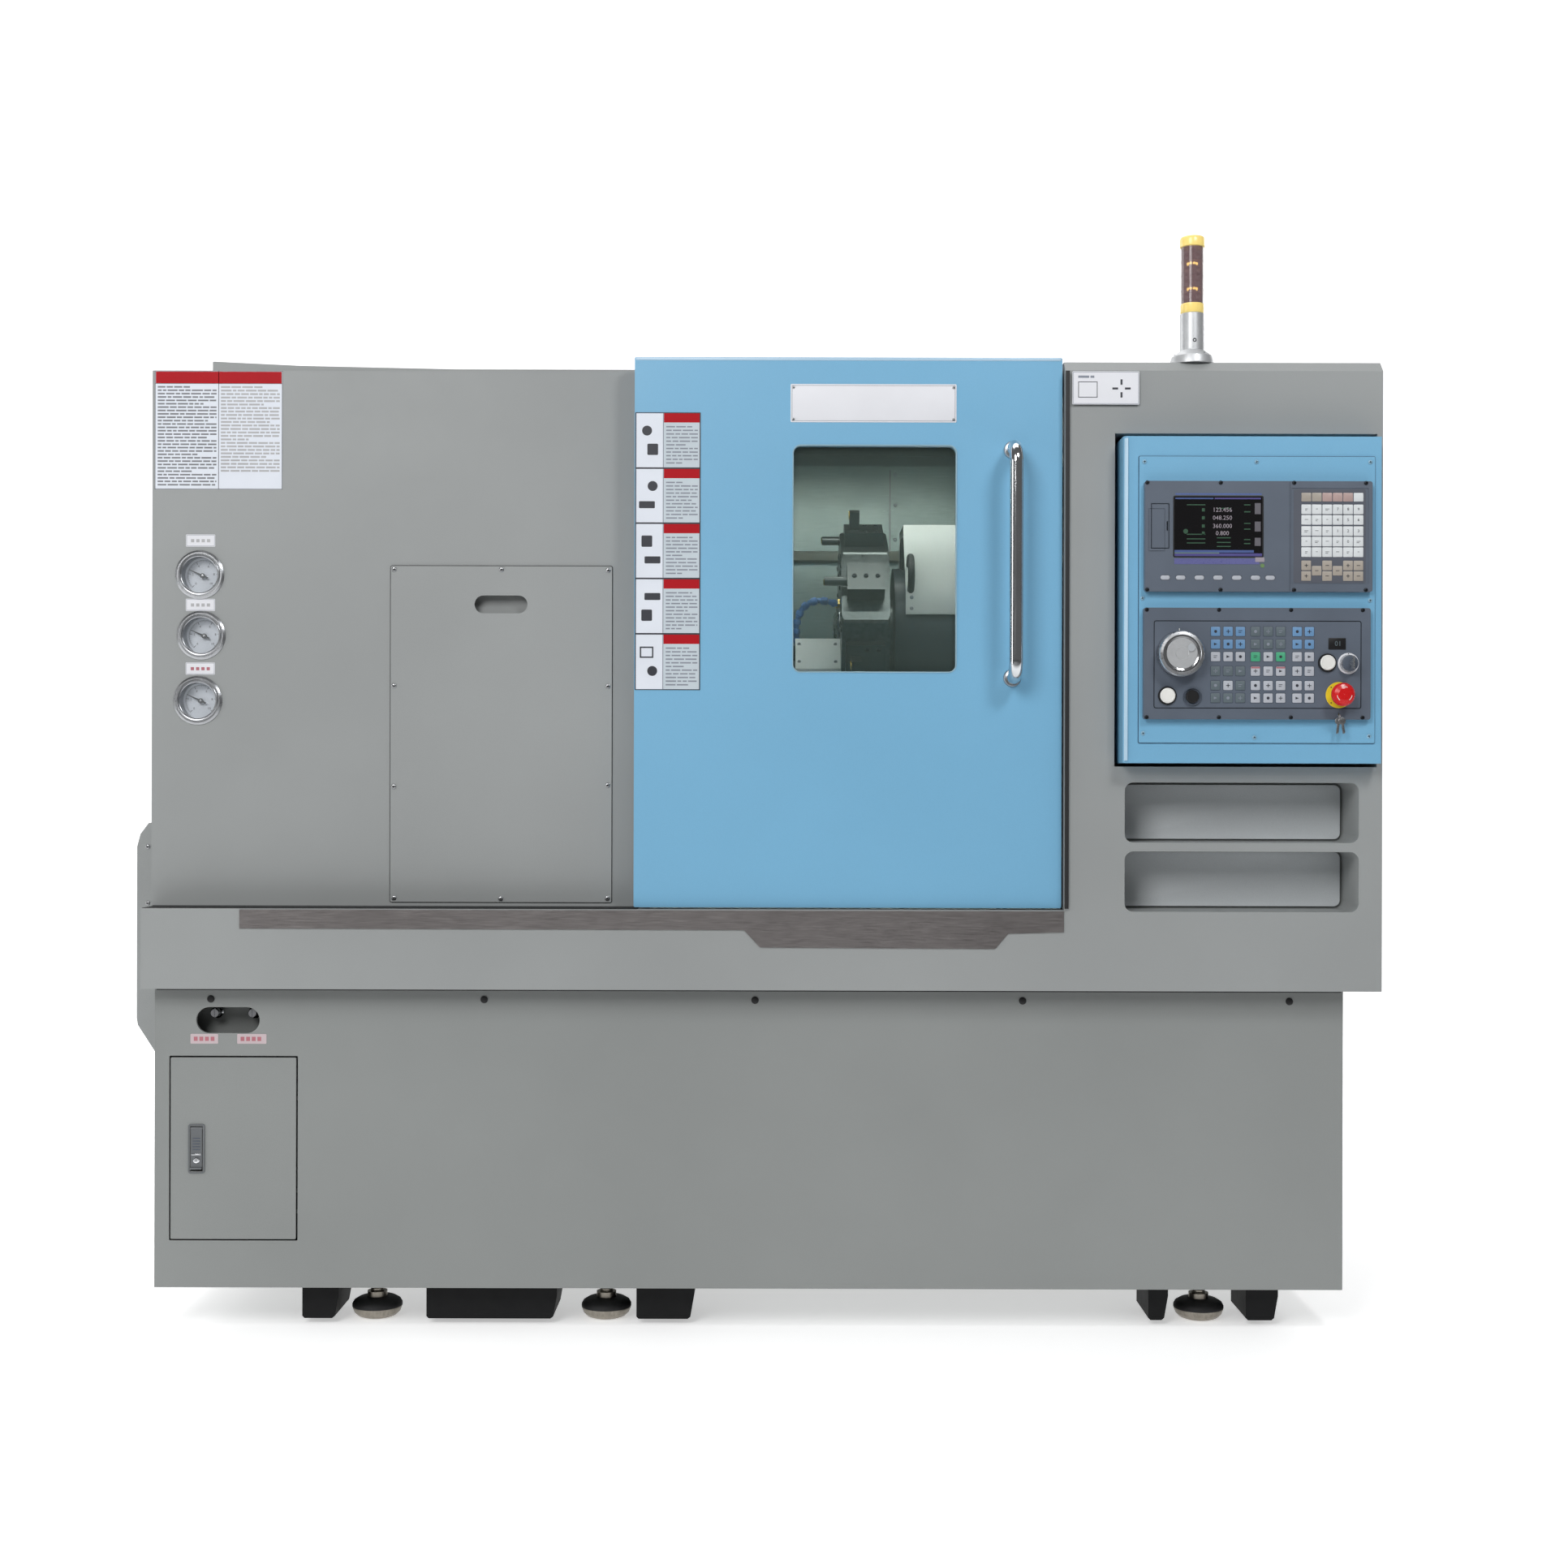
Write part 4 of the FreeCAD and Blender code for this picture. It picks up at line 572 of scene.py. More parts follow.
def bolt_row(b, pts, y, r, mat, slot="hex"):
    for i, (x, z) in enumerate(pts):
        pan_screw(b, x, z, y, r, mat, slot, turn=0.7 * i)


# hood: service panel screws
ax0, ax1, az0, az1 = lo("access_panel").x, hi("access_panel").x, lo("access_panel").z, hi("access_panel").z
ayf = lo("access_panel").y
b = Mesh("service_panel_screws")
cx = (ax0 + ax1) / 2
pts = [(ax0 + 0.006, az1 - 0.006), (cx, az1 - 0.006), (ax1 - 0.007, az1 - 0.007),
       (ax0 + 0.006, az0 + 0.386), (ax1 - 0.007, az0 + 0.386), (ax0 + 0.006, az0 + 0.206), (ax1 - 0.007, az0 + 0.209),
       (ax0 + 0.007, az0 + 0.007), (cx, az0 + 0.006), (ax1 - 0.007, az0 + 0.007)]
for x, z in pts:
    pan_screw(b, x, z, ayf, 0.0045, M["screw"], turn=x * 9)
b.finish("machine", "machined")

# gasket line under the service panel: thin dark reveal round the plate
b = Mesh("service_panel_gasket")
b.ringslab(outline_rect(ax0 - 0.0012, ax1 + 0.0012, az0 - 0.0012, az1 + 0.0012, 0.004),
           outline_rect(ax0 + 0.002, ax1 - 0.002, az0 + 0.002, az1 - 0.002, 0.002), ayf + 0.0012, ayf + 0.0024, M["rubber"])
b.finish("machine", "rubber")

# base: five plugs in the holes under the apron
b = Mesh("base_plugs")
byf = lo("base_cabinet").y
for x in (-0.9617, -0.475, 0.0073, 0.4838, 0.9589):
    b.lathe([(0.0062, 0.0), (0.0066, 0.0006), (0.0062, 0.0014), (0.0045, 0.0019), (0.0, 0.002)], (x, byf, 0.5927), "-y", M["blackp"], 24)
    b.lathe([(0.0, -0.008), (0.0044, -0.008), (0.0046, 0.0)], (x, byf, 0.5927), "-y", M["blackp"], 16)
b.finish("machine", "black_plastic")

# ---------------------------------------------------------------------- gauges
GZ = ((-0.9878, 1.3496), (-0.9849, 1.2413), (-0.9907, 1.1249))
M["dial"] = plastic("dial_face", srgb(226, 232, 240), 0.35, 500.0, 0.000005, 0.5, 0.03)
M["gaugeglass"] = tinted("gauge_glass_clear", srgb(214, 220, 226), 0.07, 0.02)
gyf = lo("hood_shell").y
for gi, (gx, gz) in enumerate(GZ):
    b = Mesh("gauge_dial_%d" % (gi + 1))
    yd = gyf + 0.0238
    b.lathe([(0.0014, 0.0), (0.0014, 0.0006), (0.0332, 0.0006), (0.0332, 0.0)], (gx, yd, gz), "-y", M["dial"], 48, closed=True)
    for k in range(51):
        a = math.radians(225 - 270 * k / 50.0)
        major = k % 10 == 0
        r0, r1 = (0.0235 if major else (0.0255 if k % 5 == 0 else 0.0265)), 0.0285
        w = 0.00042 if major else 0.00022
        ca, sa = math.cos(a), math.sin(a)
        xf = Matrix.Translation((gx, yd - 0.0006, gz)) @ Matrix.Rotation(-a, 4, "Y")
        b.block((r0, -0.0002, -w), (r1, 0.0001, w), M["ink"], 0, xf)
        if major:
            b.text(str(k // 10 * 2), 0.0058, (gx + 0.0192 * ca, gz + 0.0192 * sa), yd - 0.0007, M["ink"], 0.0001)
    n = 60
    rim = [(gx + 0.0287 * math.cos(math.radians(225 - 270 * k / n)), yd - 0.0007, gz + 0.0287 * math.sin(math.radians(225 - 270 * k / n))) for k in range(n + 1)]
    b.tube(rim, 0.00018, M["ink"], 4)
    b.finish("machine", "white_plastic")
    g = Mesh("gauge_glass_%d" % (gi + 1))
    g.lathe([(0.0, 0.0), (0.0329, 0.0), (0.0332, 0.0004), (0.0332, 0.0018), (0.0329, 0.0022), (0.0, 0.0026)], (gx, gyf + 0.0055, gz), "-y", M["gaugeglass"], 48)
    g.finish("machine", "glass")
    r = Mesh("gauge_bezel_%d" % (gi + 1))
    r.lathe([(0.0322, -0.0060), (0.0335, -0.0060), (0.0335, 0.0046), (0.0342, 0.0056), (0.0356, 0.0060), (0.0370, 0.0052), (0.0376, 0.0042),
             (0.0372, 0.0041), (0.0358, 0.0050), (0.0344, 0.0046), (0.0322, 0.0030)], (gx, gyf, gz), "-y", M["gauge"], 56, closed=True)
    for k in range(3):
        a = math.radians(90 + 120 * k)
        pan_screw(r, gx + 0.0412 * math.cos(a), gz + 0.0412 * math.sin(a), gyf - 0.0010, 0.0018, M["screw"])
    r.finish("machine", "chrome")
    h = Mesh("needle_boss_%d" % (gi + 1))
    h.lathe([(0.0013, 0.0022), (0.0040, 0.0022), (0.0044, 0.0030), (0.0040, 0.0042), (0.0013, 0.0046)], (gx, gyf + 0.0205, gz), "-y", M["gauge"], 24, closed=True)
    h.finish("needle_%d" % (gi + 1), "chrome")

# ---------------------------------------------------------------------- labels


def bars(b, x0, x1, z0, z1, y, mat, rows, fill=0.86, h=0.45, seed=1, gaps=True):
    """Rows of short plain bars standing for print."""
    rnd = random.Random(seed)
    step = (z1 - z0) / rows
    for i in range(rows):
        zc = z1 - step * (i + 0.5)
        x = x0
        end = x0 + (x1 - x0) * (1.0 if i % 5 else rnd.uniform(0.45, fill))
        while x < end - 0.002:
            w = rnd.uniform(0.006, 0.020) if gaps else (end - x)
            w = min(w, end - x)
            b.block((x, y - 0.00008, zc - step * h / 2), (x + w, y + 0.00004, zc + step * h / 2), mat)
            x += w + 0.0022


def film(b, x0, x1, z0, z1, y, mat=None, r=0.0015):
    b.slab(outline_rect(x0, x1, z0, z1, r, 3), y - 0.0004, y, mat or M["label"])


M["labelblue"] = plastic("label_blue_film", srgb(224, 229, 238), 0.46, 600.0, 0.00001, 0.25, 0.02)
M["inkpale"] = plastic("printing_pale_grey", srgb(176, 176, 178), 0.50, 900.0, 0.00001, 0.25, 0.08)
M["inkmid"] = plastic("printing_mid_grey", srgb(126, 128, 132), 0.50, 900.0, 0.00001, 0.25, 0.10)
M["inkrose"] = plastic("printing_rose", srgb(178, 112, 122), 0.50, 900.0, 0.00001, 0.25, 0.08)

# large plain plate on the hood's top left corner
hx0, hz1 = lo("hood_shell").x, 1.715
b = Mesh("hood_notice_plate")
px0, px1, pz1, pz0 = hx0 + 0.0045, hx0 + 0.2325, hz1 - 0.0005, hz1 - 0.2125
film(b, px0, px1, pz0, pz1, gyf, M["labelblue"])
b.slab(outline_rect(px0 + 0.0015, px1 - 0.0015, pz1 - 0.0225, pz1 - 0.0015), gyf - 0.0005, gyf - 0.0003, M["labelred"])
xm = px0 + 0.114
b.block((xm - 0.0005, gyf - 0.0005, pz0), (xm + 0.0005, gyf - 0.0003, pz1), M["ink"])
for zz in (pz0 + 0.0006, pz1 - 0.0006, pz1 - 0.0230):
    b.block((px0, gyf - 0.0005, zz - 0.0004), (px1, gyf - 0.0003, zz + 0.0004), M["ink"])
for xx in (px0 + 0.0005, px1 - 0.0005):
    b.block((xx - 0.0004, gyf - 0.0005, pz0), (xx + 0.0004, gyf - 0.0003, pz1), M["ink"])
bars(b, px0 + 0.005, xm - 0.004, pz0 + 0.005, pz1 - 0.026, gyf - 0.0004, M["inkmid"], 30, h=0.46, seed=3)
bars(b, xm + 0.004, px1 - 0.005, pz0 + 0.030, pz1 - 0.026, gyf - 0.0004, M["inkpale"], 25, h=0.50, seed=5)
b.finish("machine", "white_plastic")

# small plates over the gauges
for gi, ((gx, gz), zt) in enumerate(zip(GZ, (1.4217, 1.3067, 1.1928))):
    b = Mesh("gauge_plate_%d" % (gi + 1))
    x0, x1 = -1.0125, -0.9602
    film(b, x0, x1, zt - 0.0218, zt, gyf)
    b.ringslab(outline_rect(x0 + 0.001, x1 - 0.001, zt - 0.0208, zt - 0.001), outline_rect(x0 + 0.0016, x1 - 0.0016, zt - 0.0202, zt - 0.0016), gyf - 0.0005, gyf - 0.0003, M["inkgrey"])
    for k in range(4):
        b.block((x0 + 0.009 + k * 0.0095, gyf - 0.0005, zt - 0.0140), (x0 + 0.0148 + k * 0.0095, gyf - 0.0003, zt - 0.0084), M["inkpale"] if gi < 2 else M["inkrose"])
    b.finish("machine", "white_plastic")

# two small plates under the valve slot
for i, (x0, x1) in enumerate(((-0.9979, -0.9486), (-0.9146, -0.8625))):
    b = Mesh("valve_plate_%d" % (i + 1))
    film(b, x0, x1, 0.5131, 0.5305, byf, M["labelpink"])
    for k in range(4):
        b.block((x0 + 0.006 + k * 0.0100, byf - 0.0005, 0.5180), (x0 + 0.0128 + k * 0.0100, byf - 0.0003, 0.5255), M["inkrose"])
    b.finish("machine", "white_plastic")

# ----------------------------------------------------------------- door detail
dyf = lo("door_panel").y
dx0, dx1, dz0, dz1 = lo("door_panel").x, hi("door_panel").x, lo("door_panel").z, hi("door_panel").z
soften("door_panel", 0.0016)
soften("control_box", 0.0016)
soften("base_door", 0.0008)
soften("access_panel", 0.0006)
soften("display_unit", 0.0010)
soften("operator_panel", 0.0010)

# folded rim along the door's top edge, painted pale blue as the highlight of light falling on it
b = Mesh("door_top_painted_highlight")
b.block((dx0 + 0.002, dyf - 0.0008, dz1 - 0.0058), (dx1 - 0.002, dyf + 0.0005, dz1 - 0.0006), M["rim"], 0.0003)
b.finish("door", "blue_paint")

# moulded seal round the window: a lipped profile following the rounded hole
wx0, wx1, wz0, wz1 = lo("window_glass").x, hi("window_glass").x, lo("window_glass").z, hi("window_glass").z
M["seal"] = plastic("pale_seal", srgb(146, 178, 194), 0.45, 500.0, 0.00003)
b = Mesh("window_seal")
rings = []
for off, y in ((0.0012, dyf - 0.0002), (0.0012, dyf - 0.0010), (0.0006, dyf - 0.0015), (-0.0002, dyf - 0.0015), (-0.0009, dyf - 0.0008),
               (-0.0010, dyf + 0.0078), (-0.0004, dyf + 0.0078), (-0.0004, dyf - 0.0002)):
    rings.append([(p[0], y, p[1]) for p in outline_rect(wx0 - off, wx1 + off, wz0 - off, wz1 + off, 0.0135 + off, 8)])
n = len(rings[0])
vv = [p for r in rings for p in r]
ff = []
for k in range(len(rings)):
    a, c = k * n, ((k + 1) % len(rings)) * n
    for i in range(n):
        j = (i + 1) % n
        ff.append([a + i, a + j, c + j, c + i])
b.add(vv, ff, M["seal"], True)
b.finish("door", "rubber")

# blank name plate with four rivets
b = Mesh("door_name_plate")
nx0, nx1, nz0, nz1 = 0.0680, 0.3608, 1.6163, 1.6838
b.slab(outline_rect(nx0, nx1, nz0, nz1, 0.002, 3), dyf - 0.0010, dyf, M["label"], 0.0004)
b.ringslab(outline_rect(nx0 + 0.0022, nx1 - 0.0022, nz0 + 0.0022, nz1 - 0.0022), outline_rect(nx0 + 0.003, nx1 - 0.003, nz0 + 0.003, nz1 - 0.003), dyf - 0.0011, dyf - 0.0009, M["inkgrey"])
for x in (nx0 + 0.005, nx1 - 0.005):
    for z in (nz0 + 0.005, nz1 - 0.006):
        pan_screw(b, x, z, dyf - 0.0010, 0.0026, M["screw"])
b.finish("door", "white_plastic")

# stack of five two-column plates at the door's left edge
b = Mesh("door_notice_stack")
sx0, sx1 = dx0 + 0.0012, dx0 + 0.1165
stops = [1.6330, 1.5347, 1.4376, 1.3400, 1.2424, 1.1433]
xm = sx0 + 0.0495
shapes = [("disc", "box"), ("disc", "bar"), ("box", "bar"), ("bar", "box"), ("frame", "disc")]
for k in range(5):
    zt, zb_ = stops[k], stops[k + 1]
    film(b, sx0, sx1, zb_ + 0.0004, zt - 0.0004, dyf, M["labelblue"], r=0.0006)
    b.slab(outline_rect(xm, sx1 - 0.0009, zb_ + 0.0009, zt - 0.0009), dyf - 0.00045, dyf - 0.0003, M["labelcell"])
    b.slab(outline_rect(xm + 0.0010, sx1 - 0.0016, zt - 0.0178, zt - 0.0014), dyf - 0.0005, dyf - 0.0003, M["labelred"])
    b.ringslab(outline_rect(sx0, sx1, zb_, zt), outline_rect(sx0 + 0.0018, sx1 - 0.0018, zb_ + 0.0014, zt - 0.0014), dyf - 0.0006, dyf - 0.0003, M["ink"])
    b.block((xm - 0.0007, dyf - 0.00055, zb_), (xm + 0.0007, dyf - 0.0003, zt), M["inkgrey"])
    bars(b, xm + 0.005, sx1 - 0.005, zb_ + 0.006, zt - 0.022, dyf - 0.0004, M["inkgrey"], 11, h=0.38, seed=20 + k)
    c = (sx0 + xm) / 2
    zm = (zt + zb_) / 2
    for idx, kind in enumerate(shapes[k]):
        cz = zm + (0.017 if idx == 0 else -0.016)
        cxx = c + (0.006 if (k + idx) % 2 else -0.004)
        if kind == "disc":
            b.slab(outline_circle(cxx, cz, 0.0088, 24), dyf - 0.0005, dyf - 0.0003, M["ink"])
        elif kind == "box":
            b.slab(outline_rect(cxx - 0.0095, cxx + 0.0095, cz - 0.010, cz + 0.010, 0.002, 3), dyf - 0.0005, dyf - 0.0003, M["ink"])
        elif kind == "bar":
            b.slab(outline_rect(cxx - 0.014, cxx + 0.014, cz - 0.0062, cz + 0.0062, 0.0015, 3), dyf - 0.0005, dyf - 0.0003, M["ink"])
        else:
            b.ringslab(outline_rect(cxx - 0.012, cxx + 0.012, cz - 0.010, cz + 0.010), outline_rect(cxx - 0.0095, cxx + 0.0095, cz - 0.0075, cz + 0.0075), dyf - 0.0005, dyf - 0.0003, M["ink"])
b.finish("door", "white_plastic")

# handle: flared feet with a groove where the bar meets the door
b = Mesh("handle_rosettes")
hxc = (lo("door_handle").x + hi("door_handle").x) / 2
for z in (1.166, 1.568):
    b.lathe([(0.0122, -0.0005), (0.0156, -0.0005), (0.0160, 0.0010), (0.0157, 0.0040), (0.0150, 0.0054), (0.0143, 0.0060), (0.0141, 0.0072), (0.0122, 0.0076)],
            (hxc, dyf, z), "-y", M["gauge"], 40, closed=True)
b.finish("door", "chrome")

# ------------------------------------------------------------------ swing box
kyf = lo("control_box").y
kx0, kx1, kz0, kz1 = lo("control_box").x, hi("control_box").x, lo("control_box").z, hi("control_box").z
M["facescrew"] = paint("enamelled_screw", srgb(134, 176, 200), 0.34, 900.0, 0.00002, 0.05)
b = Mesh("box_face_screws")
for x, z in ((0.6822, 1.5390), (0.8768, 1.5390), (1.0743, 1.5390), (0.6794, 1.3018), (1.0743, 1.2990), (0.6808, 1.0675), (0.8740, 1.0605), (1.0729, 1.0633)):
    pan_screw(b, x, z, kyf, 0.0040, M["facescrew"], turn=z * 7)
b.finish("swing_box", "blue_paint")

# pale blue strip on the control box's rounded left edge: a painted highlight
M["bluepale"] = paint("blue_edge_painted_highlight", srgb(178, 208, 228), 0.30, 700.0, 0.00003)
b_ = Mesh("box_edge_painted_highlight")
ex_, ey_ = lo("control_box").x, kyf
ring_ = [(0.0082, a_) for a_ in (34, 44, 54, 64, 74, 84)] + [(0.0078, a_) for a_ in (84, 74, 64, 54, 44, 34)]
vv = []
for z_ in (lo("control_box").z + 0.0040, hi("control_box").z - 0.0040):
    for r_, a_ in ring_:
        vv.append((ex_ + 0.0080 - r_ * math.cos(math.radians(a_)), ey_ + 0.0080 - r_ * math.sin(math.radians(a_)), z_))
n_ = len(ring_)
b_.add(vv, [[i_, (i_ + 1) % n_, n_ + (i_ + 1) % n_, n_ + i_] for i_ in range(n_)] + [list(reversed(range(n_))), [n_ + i_ for i_ in range(n_)]], M["bluepale"], True)
b_.finish("swing_box", "blue_paint")
M["bluedark"] = paint("blue_shadow_line", srgb(64, 92, 116), 0.5, 700.0, 0.00004)
b = Mesh("box_face_outline")
b.ringslab(outline_rect(0.6722, 1.0841, 1.0501, 1.5496, 0.003), outline_rect(0.6737, 1.0826, 1.0516, 1.5481, 0.002), kyf + 0.0024, kyf + 0.0031, M["bluedark"])
b.finish("swing_box", "blue_paint")

pyf = lo("display_unit").y
b = Mesh("panel_edge_screws")
ux0, ux1, uz0, uz1 = lo("display_unit").x, hi("display_unit").x, lo("display_unit").z, hi("display_unit").z
b = Mesh("display_port_flap")
for x0_, x1_, z0_, z1_ in ((0.6920, 0.6928, 1.3880, 1.4640), (0.7222, 0.7230, 1.3880, 1.4640), (0.6920, 0.7230, 1.3872, 1.3880), (0.6920, 0.7230, 1.4640, 1.4648), (0.7190, 0.7206, 1.4180, 1.4340)):
    b.block((x0_, pyf - 0.0006, z0_), (x1_, pyf + 0.0002, z1_), M["slateline"])
b.finish("swing_box", "slate")
for x in (ux0 + 0.0030, ux0 + 0.1300, ux0 + 0.2570, ux1 - 0.0125):
    for z in (uz1 - 0.0030, uz0 + 0.0030):
        pan_screw(b, x + 0.001, z, pyf, 0.0036, M["screwdark"], "hex")
vx0, vx1, vz0, vz1 = lo("operator_panel").x, hi("operator_panel").x, lo("operator_panel").z, hi("operator_panel").z
for x in (vx0 + 0.0050, vx0 + 0.1300, vx0 + 0.2545, vx1 - 0.0138):
    for z in (vz1 - 0.0035, vz0 + 0.0032):
        pan_screw(b, x, z, pyf, 0.0036, M["screwdark"], "hex")
b.finish("swing_box", "black_steel")

# screen: bezel, picture in plain colours, side bars
M["screen"] = plastic("screen_black", srgb(14, 13, 15), 0.08, 400.0, 0.000002, 0.6, 0.05)
M["s_violet"] = plastic("screen_violet", srgb(84, 80, 134), 0.18, 400.0, 0.000002, 0.5, 0.08, (srgb(84, 80, 134), 0.12))
M["s_blue"] = plastic("screen_blue", srgb(76, 92, 140), 0.18, 400.0, 0.000002, 0.5, 0.08, (srgb(76, 92, 140), 0.12))
M["s_grey"] = plastic("screen_grey", srgb(100, 98, 104), 0.2, 400.0, 0.000002, 0.5, 0.05, (srgb(100, 98, 104), 0.10))
M["s_white"] = plastic("screen_white", srgb(150, 142, 150), 0.2, 400.0, 0.000002, 0.5, 0.05, (srgb(150, 142, 150), 0.12))
M["s_green"] = plastic("screen_green", srgb(104, 132, 88), 0.2, 400.0, 0.000002, 0.5, 0.05, (srgb(104, 132, 88), 0.12))
M["s_dim"] = plastic("screen_dim_green", srgb(52, 78, 62), 0.2, 400.0, 0.000002, 0.5, 0.05, (srgb(52, 78, 62), 0.3))
b = Mesh("screen_bezel")
yb = pyf + 0.0020
b.ringslab(outline_rect(0.7300, 0.8864, 1.3716, 1.4784, 0.003), outline_rect(0.7322, 0.8842, 1.3738, 1.4762, 0.001), pyf - 0.0004, yb, M["blackp"])
b.finish("swing_box", "black_plastic")
b = Mesh("screen_picture")
b.slab(outline_rect(0.7322, 0.8842, 1.3738, 1.4762, 0.001), yb - 0.0006, yb, M["screen"])
ys = yb - 0.0007
b.block((0.7322, ys, 1.3738), (0.8842, yb - 0.0005, 1.3790), M["s_violet"])
b.block((0.7322, ys, 1.3790), (0.8100, yb - 0.0005, 1.3802), M["s_green"])
b.block((0.7322, ys, 1.3802), (0.8700, yb - 0.0005, 1.3846), M["s_blue"])
b.block((0.7340, ys, 1.4728), (0.8000, yb - 0.0005, 1.4752), M["s_blue"])
b.block((0.8020, ys, 1.4728), (0.8820, yb - 0.0005, 1.4752), M["s_violet"])
for i, z in enumerate((1.4540, 1.4402, 1.4260, 1.4135)):
    b.text(("123.456", "048.250", "360.000", "0.800")[i], 0.0105, (0.8155, z), ys, M["s_white"], 0.0001)
    b.block((0.7800, ys, z - 0.0026), (0.7850, yb - 0.0005, z + 0.0030), M["s_dim"])
for z in (1.4620, 1.4110, 1.4030, 1.3960):
    b.block((0.7540, ys, z), (0.7860, yb - 0.0005, z + 0.0018), M["s_dim"])
    b.block((0.8060, ys, z - 0.006), (0.8300, yb - 0.0005, z - 0.0042), M["s_dim"])
for z0_, z1_ in ((1.4470, 1.4660), (1.4170, 1.4340), (1.3920, 1.4060)):
    b.block((0.8715, ys, z0_), (0.8818, yb - 0.0005, z1_), M["s_grey"])
    b.block((0.8530, ys, z0_ + 0.003), (0.8640, yb - 0.0005, z0_ + 0.0050), M["s_dim"])
    b.block((0.8530, ys, z1_ - 0.004), (0.8640, yb - 0.0005, z1_ - 0.0022), M["s_dim"])
b.slab(outline_circle(0.7520, 1.4170, 0.0042, 20), ys, yb - 0.0005, M["s_dim"])
b.finish("swing_box", "black_plastic")
b = Mesh("screen_surround")
M["violetfilm"] = plastic("violet_film", srgb(98, 100, 150), 0.3, 600.0, 0.00001, 0.5, 0.08)
M["bluefilm"] = plastic("blue_film", srgb(86, 104, 156), 0.3, 600.0, 0.00001, 0.5, 0.05)
b.block((0.7320, pyf - 0.0003, 1.3600), (0.8790, pyf + 0.0002, 1.3700), M["violetfilm"])
b.block((0.7340, pyf - 0.0003, 1.4800), (0.8830, pyf + 0.0002, 1.4826), M["bluefilm"])
b.slab(outline_rect(0.8720, 0.8880, 1.3640, 1.3720, 0.001, 2), pyf - 0.0006, pyf, M["s_white"])
b.slab(outline_circle(0.8845, 1.3575, 0.0036, 16), pyf - 0.0007, pyf, M["s_green"])
b.finish("swing_box", "slate")

# soft keys and keypad: moulded caps standing in their film
M["key_w"] = plastic("key_white", srgb(216, 220, 222), 0.36, 900.0, 0.00001)
M["key_t"] = plastic("key_tan", srgb(166, 158, 148), 0.38, 900.0, 0.00001)
M["key_p"] = plastic("key_pink", srgb(176, 152, 148), 0.38, 900.0, 0.00001)
M["key_b"] = plastic("key_blue", srgb(104, 144, 184), 0.38, 900.0, 0.00001)
M["key_d"] = plastic("key_dark", srgb(92, 104, 110), 0.42, 900.0, 0.00001)
M["key_l"] = plastic("key_pale", srgb(178, 182, 190), 0.38, 900.0, 0.00001)
M["key_g"] = plastic("key_green", srgb(72, 164, 124), 0.38, 900.0, 0.00001)
M["film"] = plastic("keypad_film", srgb(86, 90, 100), 0.40, 900.0, 0.00001)


def keycap(b, x, z, w, h, y, mat, r=0.0012, up=0.0014):
    b.slab(outline_rect(x - w / 2, x + w / 2, z - h / 2, z + h / 2, r, 3), y - up, y + 0.0004, mat, 0.0005)


b = Mesh("soft_keys")
for x in (0.7163, 0.7430, 0.7754, 0.8077, 0.8401, 0.8724, 0.8978):
    z = 1.3366
    b.slab(outline_rect(x - 0.0092, x + 0.0092, z - 0.0046, z + 0.0046, 0.0044, 6), pyf - 0.0002, pyf + 0.0004, M["film"])
    b.slab(outline_rect(x - 0.0080, x + 0.0080, z - 0.0036, z + 0.0036, 0.0035, 6), pyf - 0.0014, pyf, M["key_l"], 0.0006)
b.finish("swing_box", "white_plastic")

b = Mesh("keypad_caps")
ykp = pyf + 0.0010
b.slab(outline_rect(0.9386, 1.0636, 1.3280, 1.4900, 0.003, 3), ykp - 0.0003, ykp + 0.0002, M["film"])
cols = [0.9569, 0.9750, 0.9931, 1.0111, 1.0291, 1.0471]
cols = [x + 0.0035 for x in cols]
rows = [1.4765, 1.4554, 1.4371, 1.4178, 1.3995, 1.3813]
digits = {(1, 3): "7", (1, 4): "8", (1, 5): "9", (2, 3): "4", (2, 4): "5", (2, 5): "6", (3, 3): "1", (3, 4): "2", (3, 5): "3", (4, 4): "0"}
for r_, z in enumerate(rows):
    for c_, x in enumerate(cols):
        mt = M["key_w"] if (r_ or c_ == 5) else (M["key_t"] if c_ < 2 else M["key_p"])
        keycap(b, x, z, 0.0168, 0.0166 if r_ else 0.0150, ykp, mt)
        yk = ykp - 0.0015
        if (r_, c_) in digits:
            b.text(digits[(r_, c_)], 0.0072, (x, z), yk, M["ink"], 0.0001)
        elif r_:
            w = 0.0016 + 0.0006 * ((r_ * 5 + c_ * 3) % 4)
            b.block((x - w, yk, z + 0.0002), (x + w, yk + 0.0002, z + 0.0010), M["ink"])
            if (r_ + c_) % 2:
                b.block((x - w, yk, z - 0.0022), (x + w * 0.4, yk + 0.0002, z - 0.0014), M["ink"])
for c_, zz in ((0, (1.3583, 1.3400)), (2, (1.3583, 1.3400)), (4, (1.3583, 1.3400)), (5, (1.3583, 1.3400)), (1, (1.3492,)), (3, (1.3492,))):
    for z in zz:
        keycap(b, cols[c_], z, 0.0166, 0.0166, ykp, M["key_t"])
        b.block((cols[c_] - 0.003, ykp - 0.0016, z - 0.0005), (cols[c_] + 0.003, ykp - 0.0014, z + 0.0005), M["ink"])
        if c_ in (0, 4):
            b.block((cols[c_] - 0.0005, ykp - 0.0016, z - 0.003), (cols[c_] + 0.0005, ykp - 0.0014, z + 0.003), M["ink"])
b.finish("swing_box", "white_plastic")

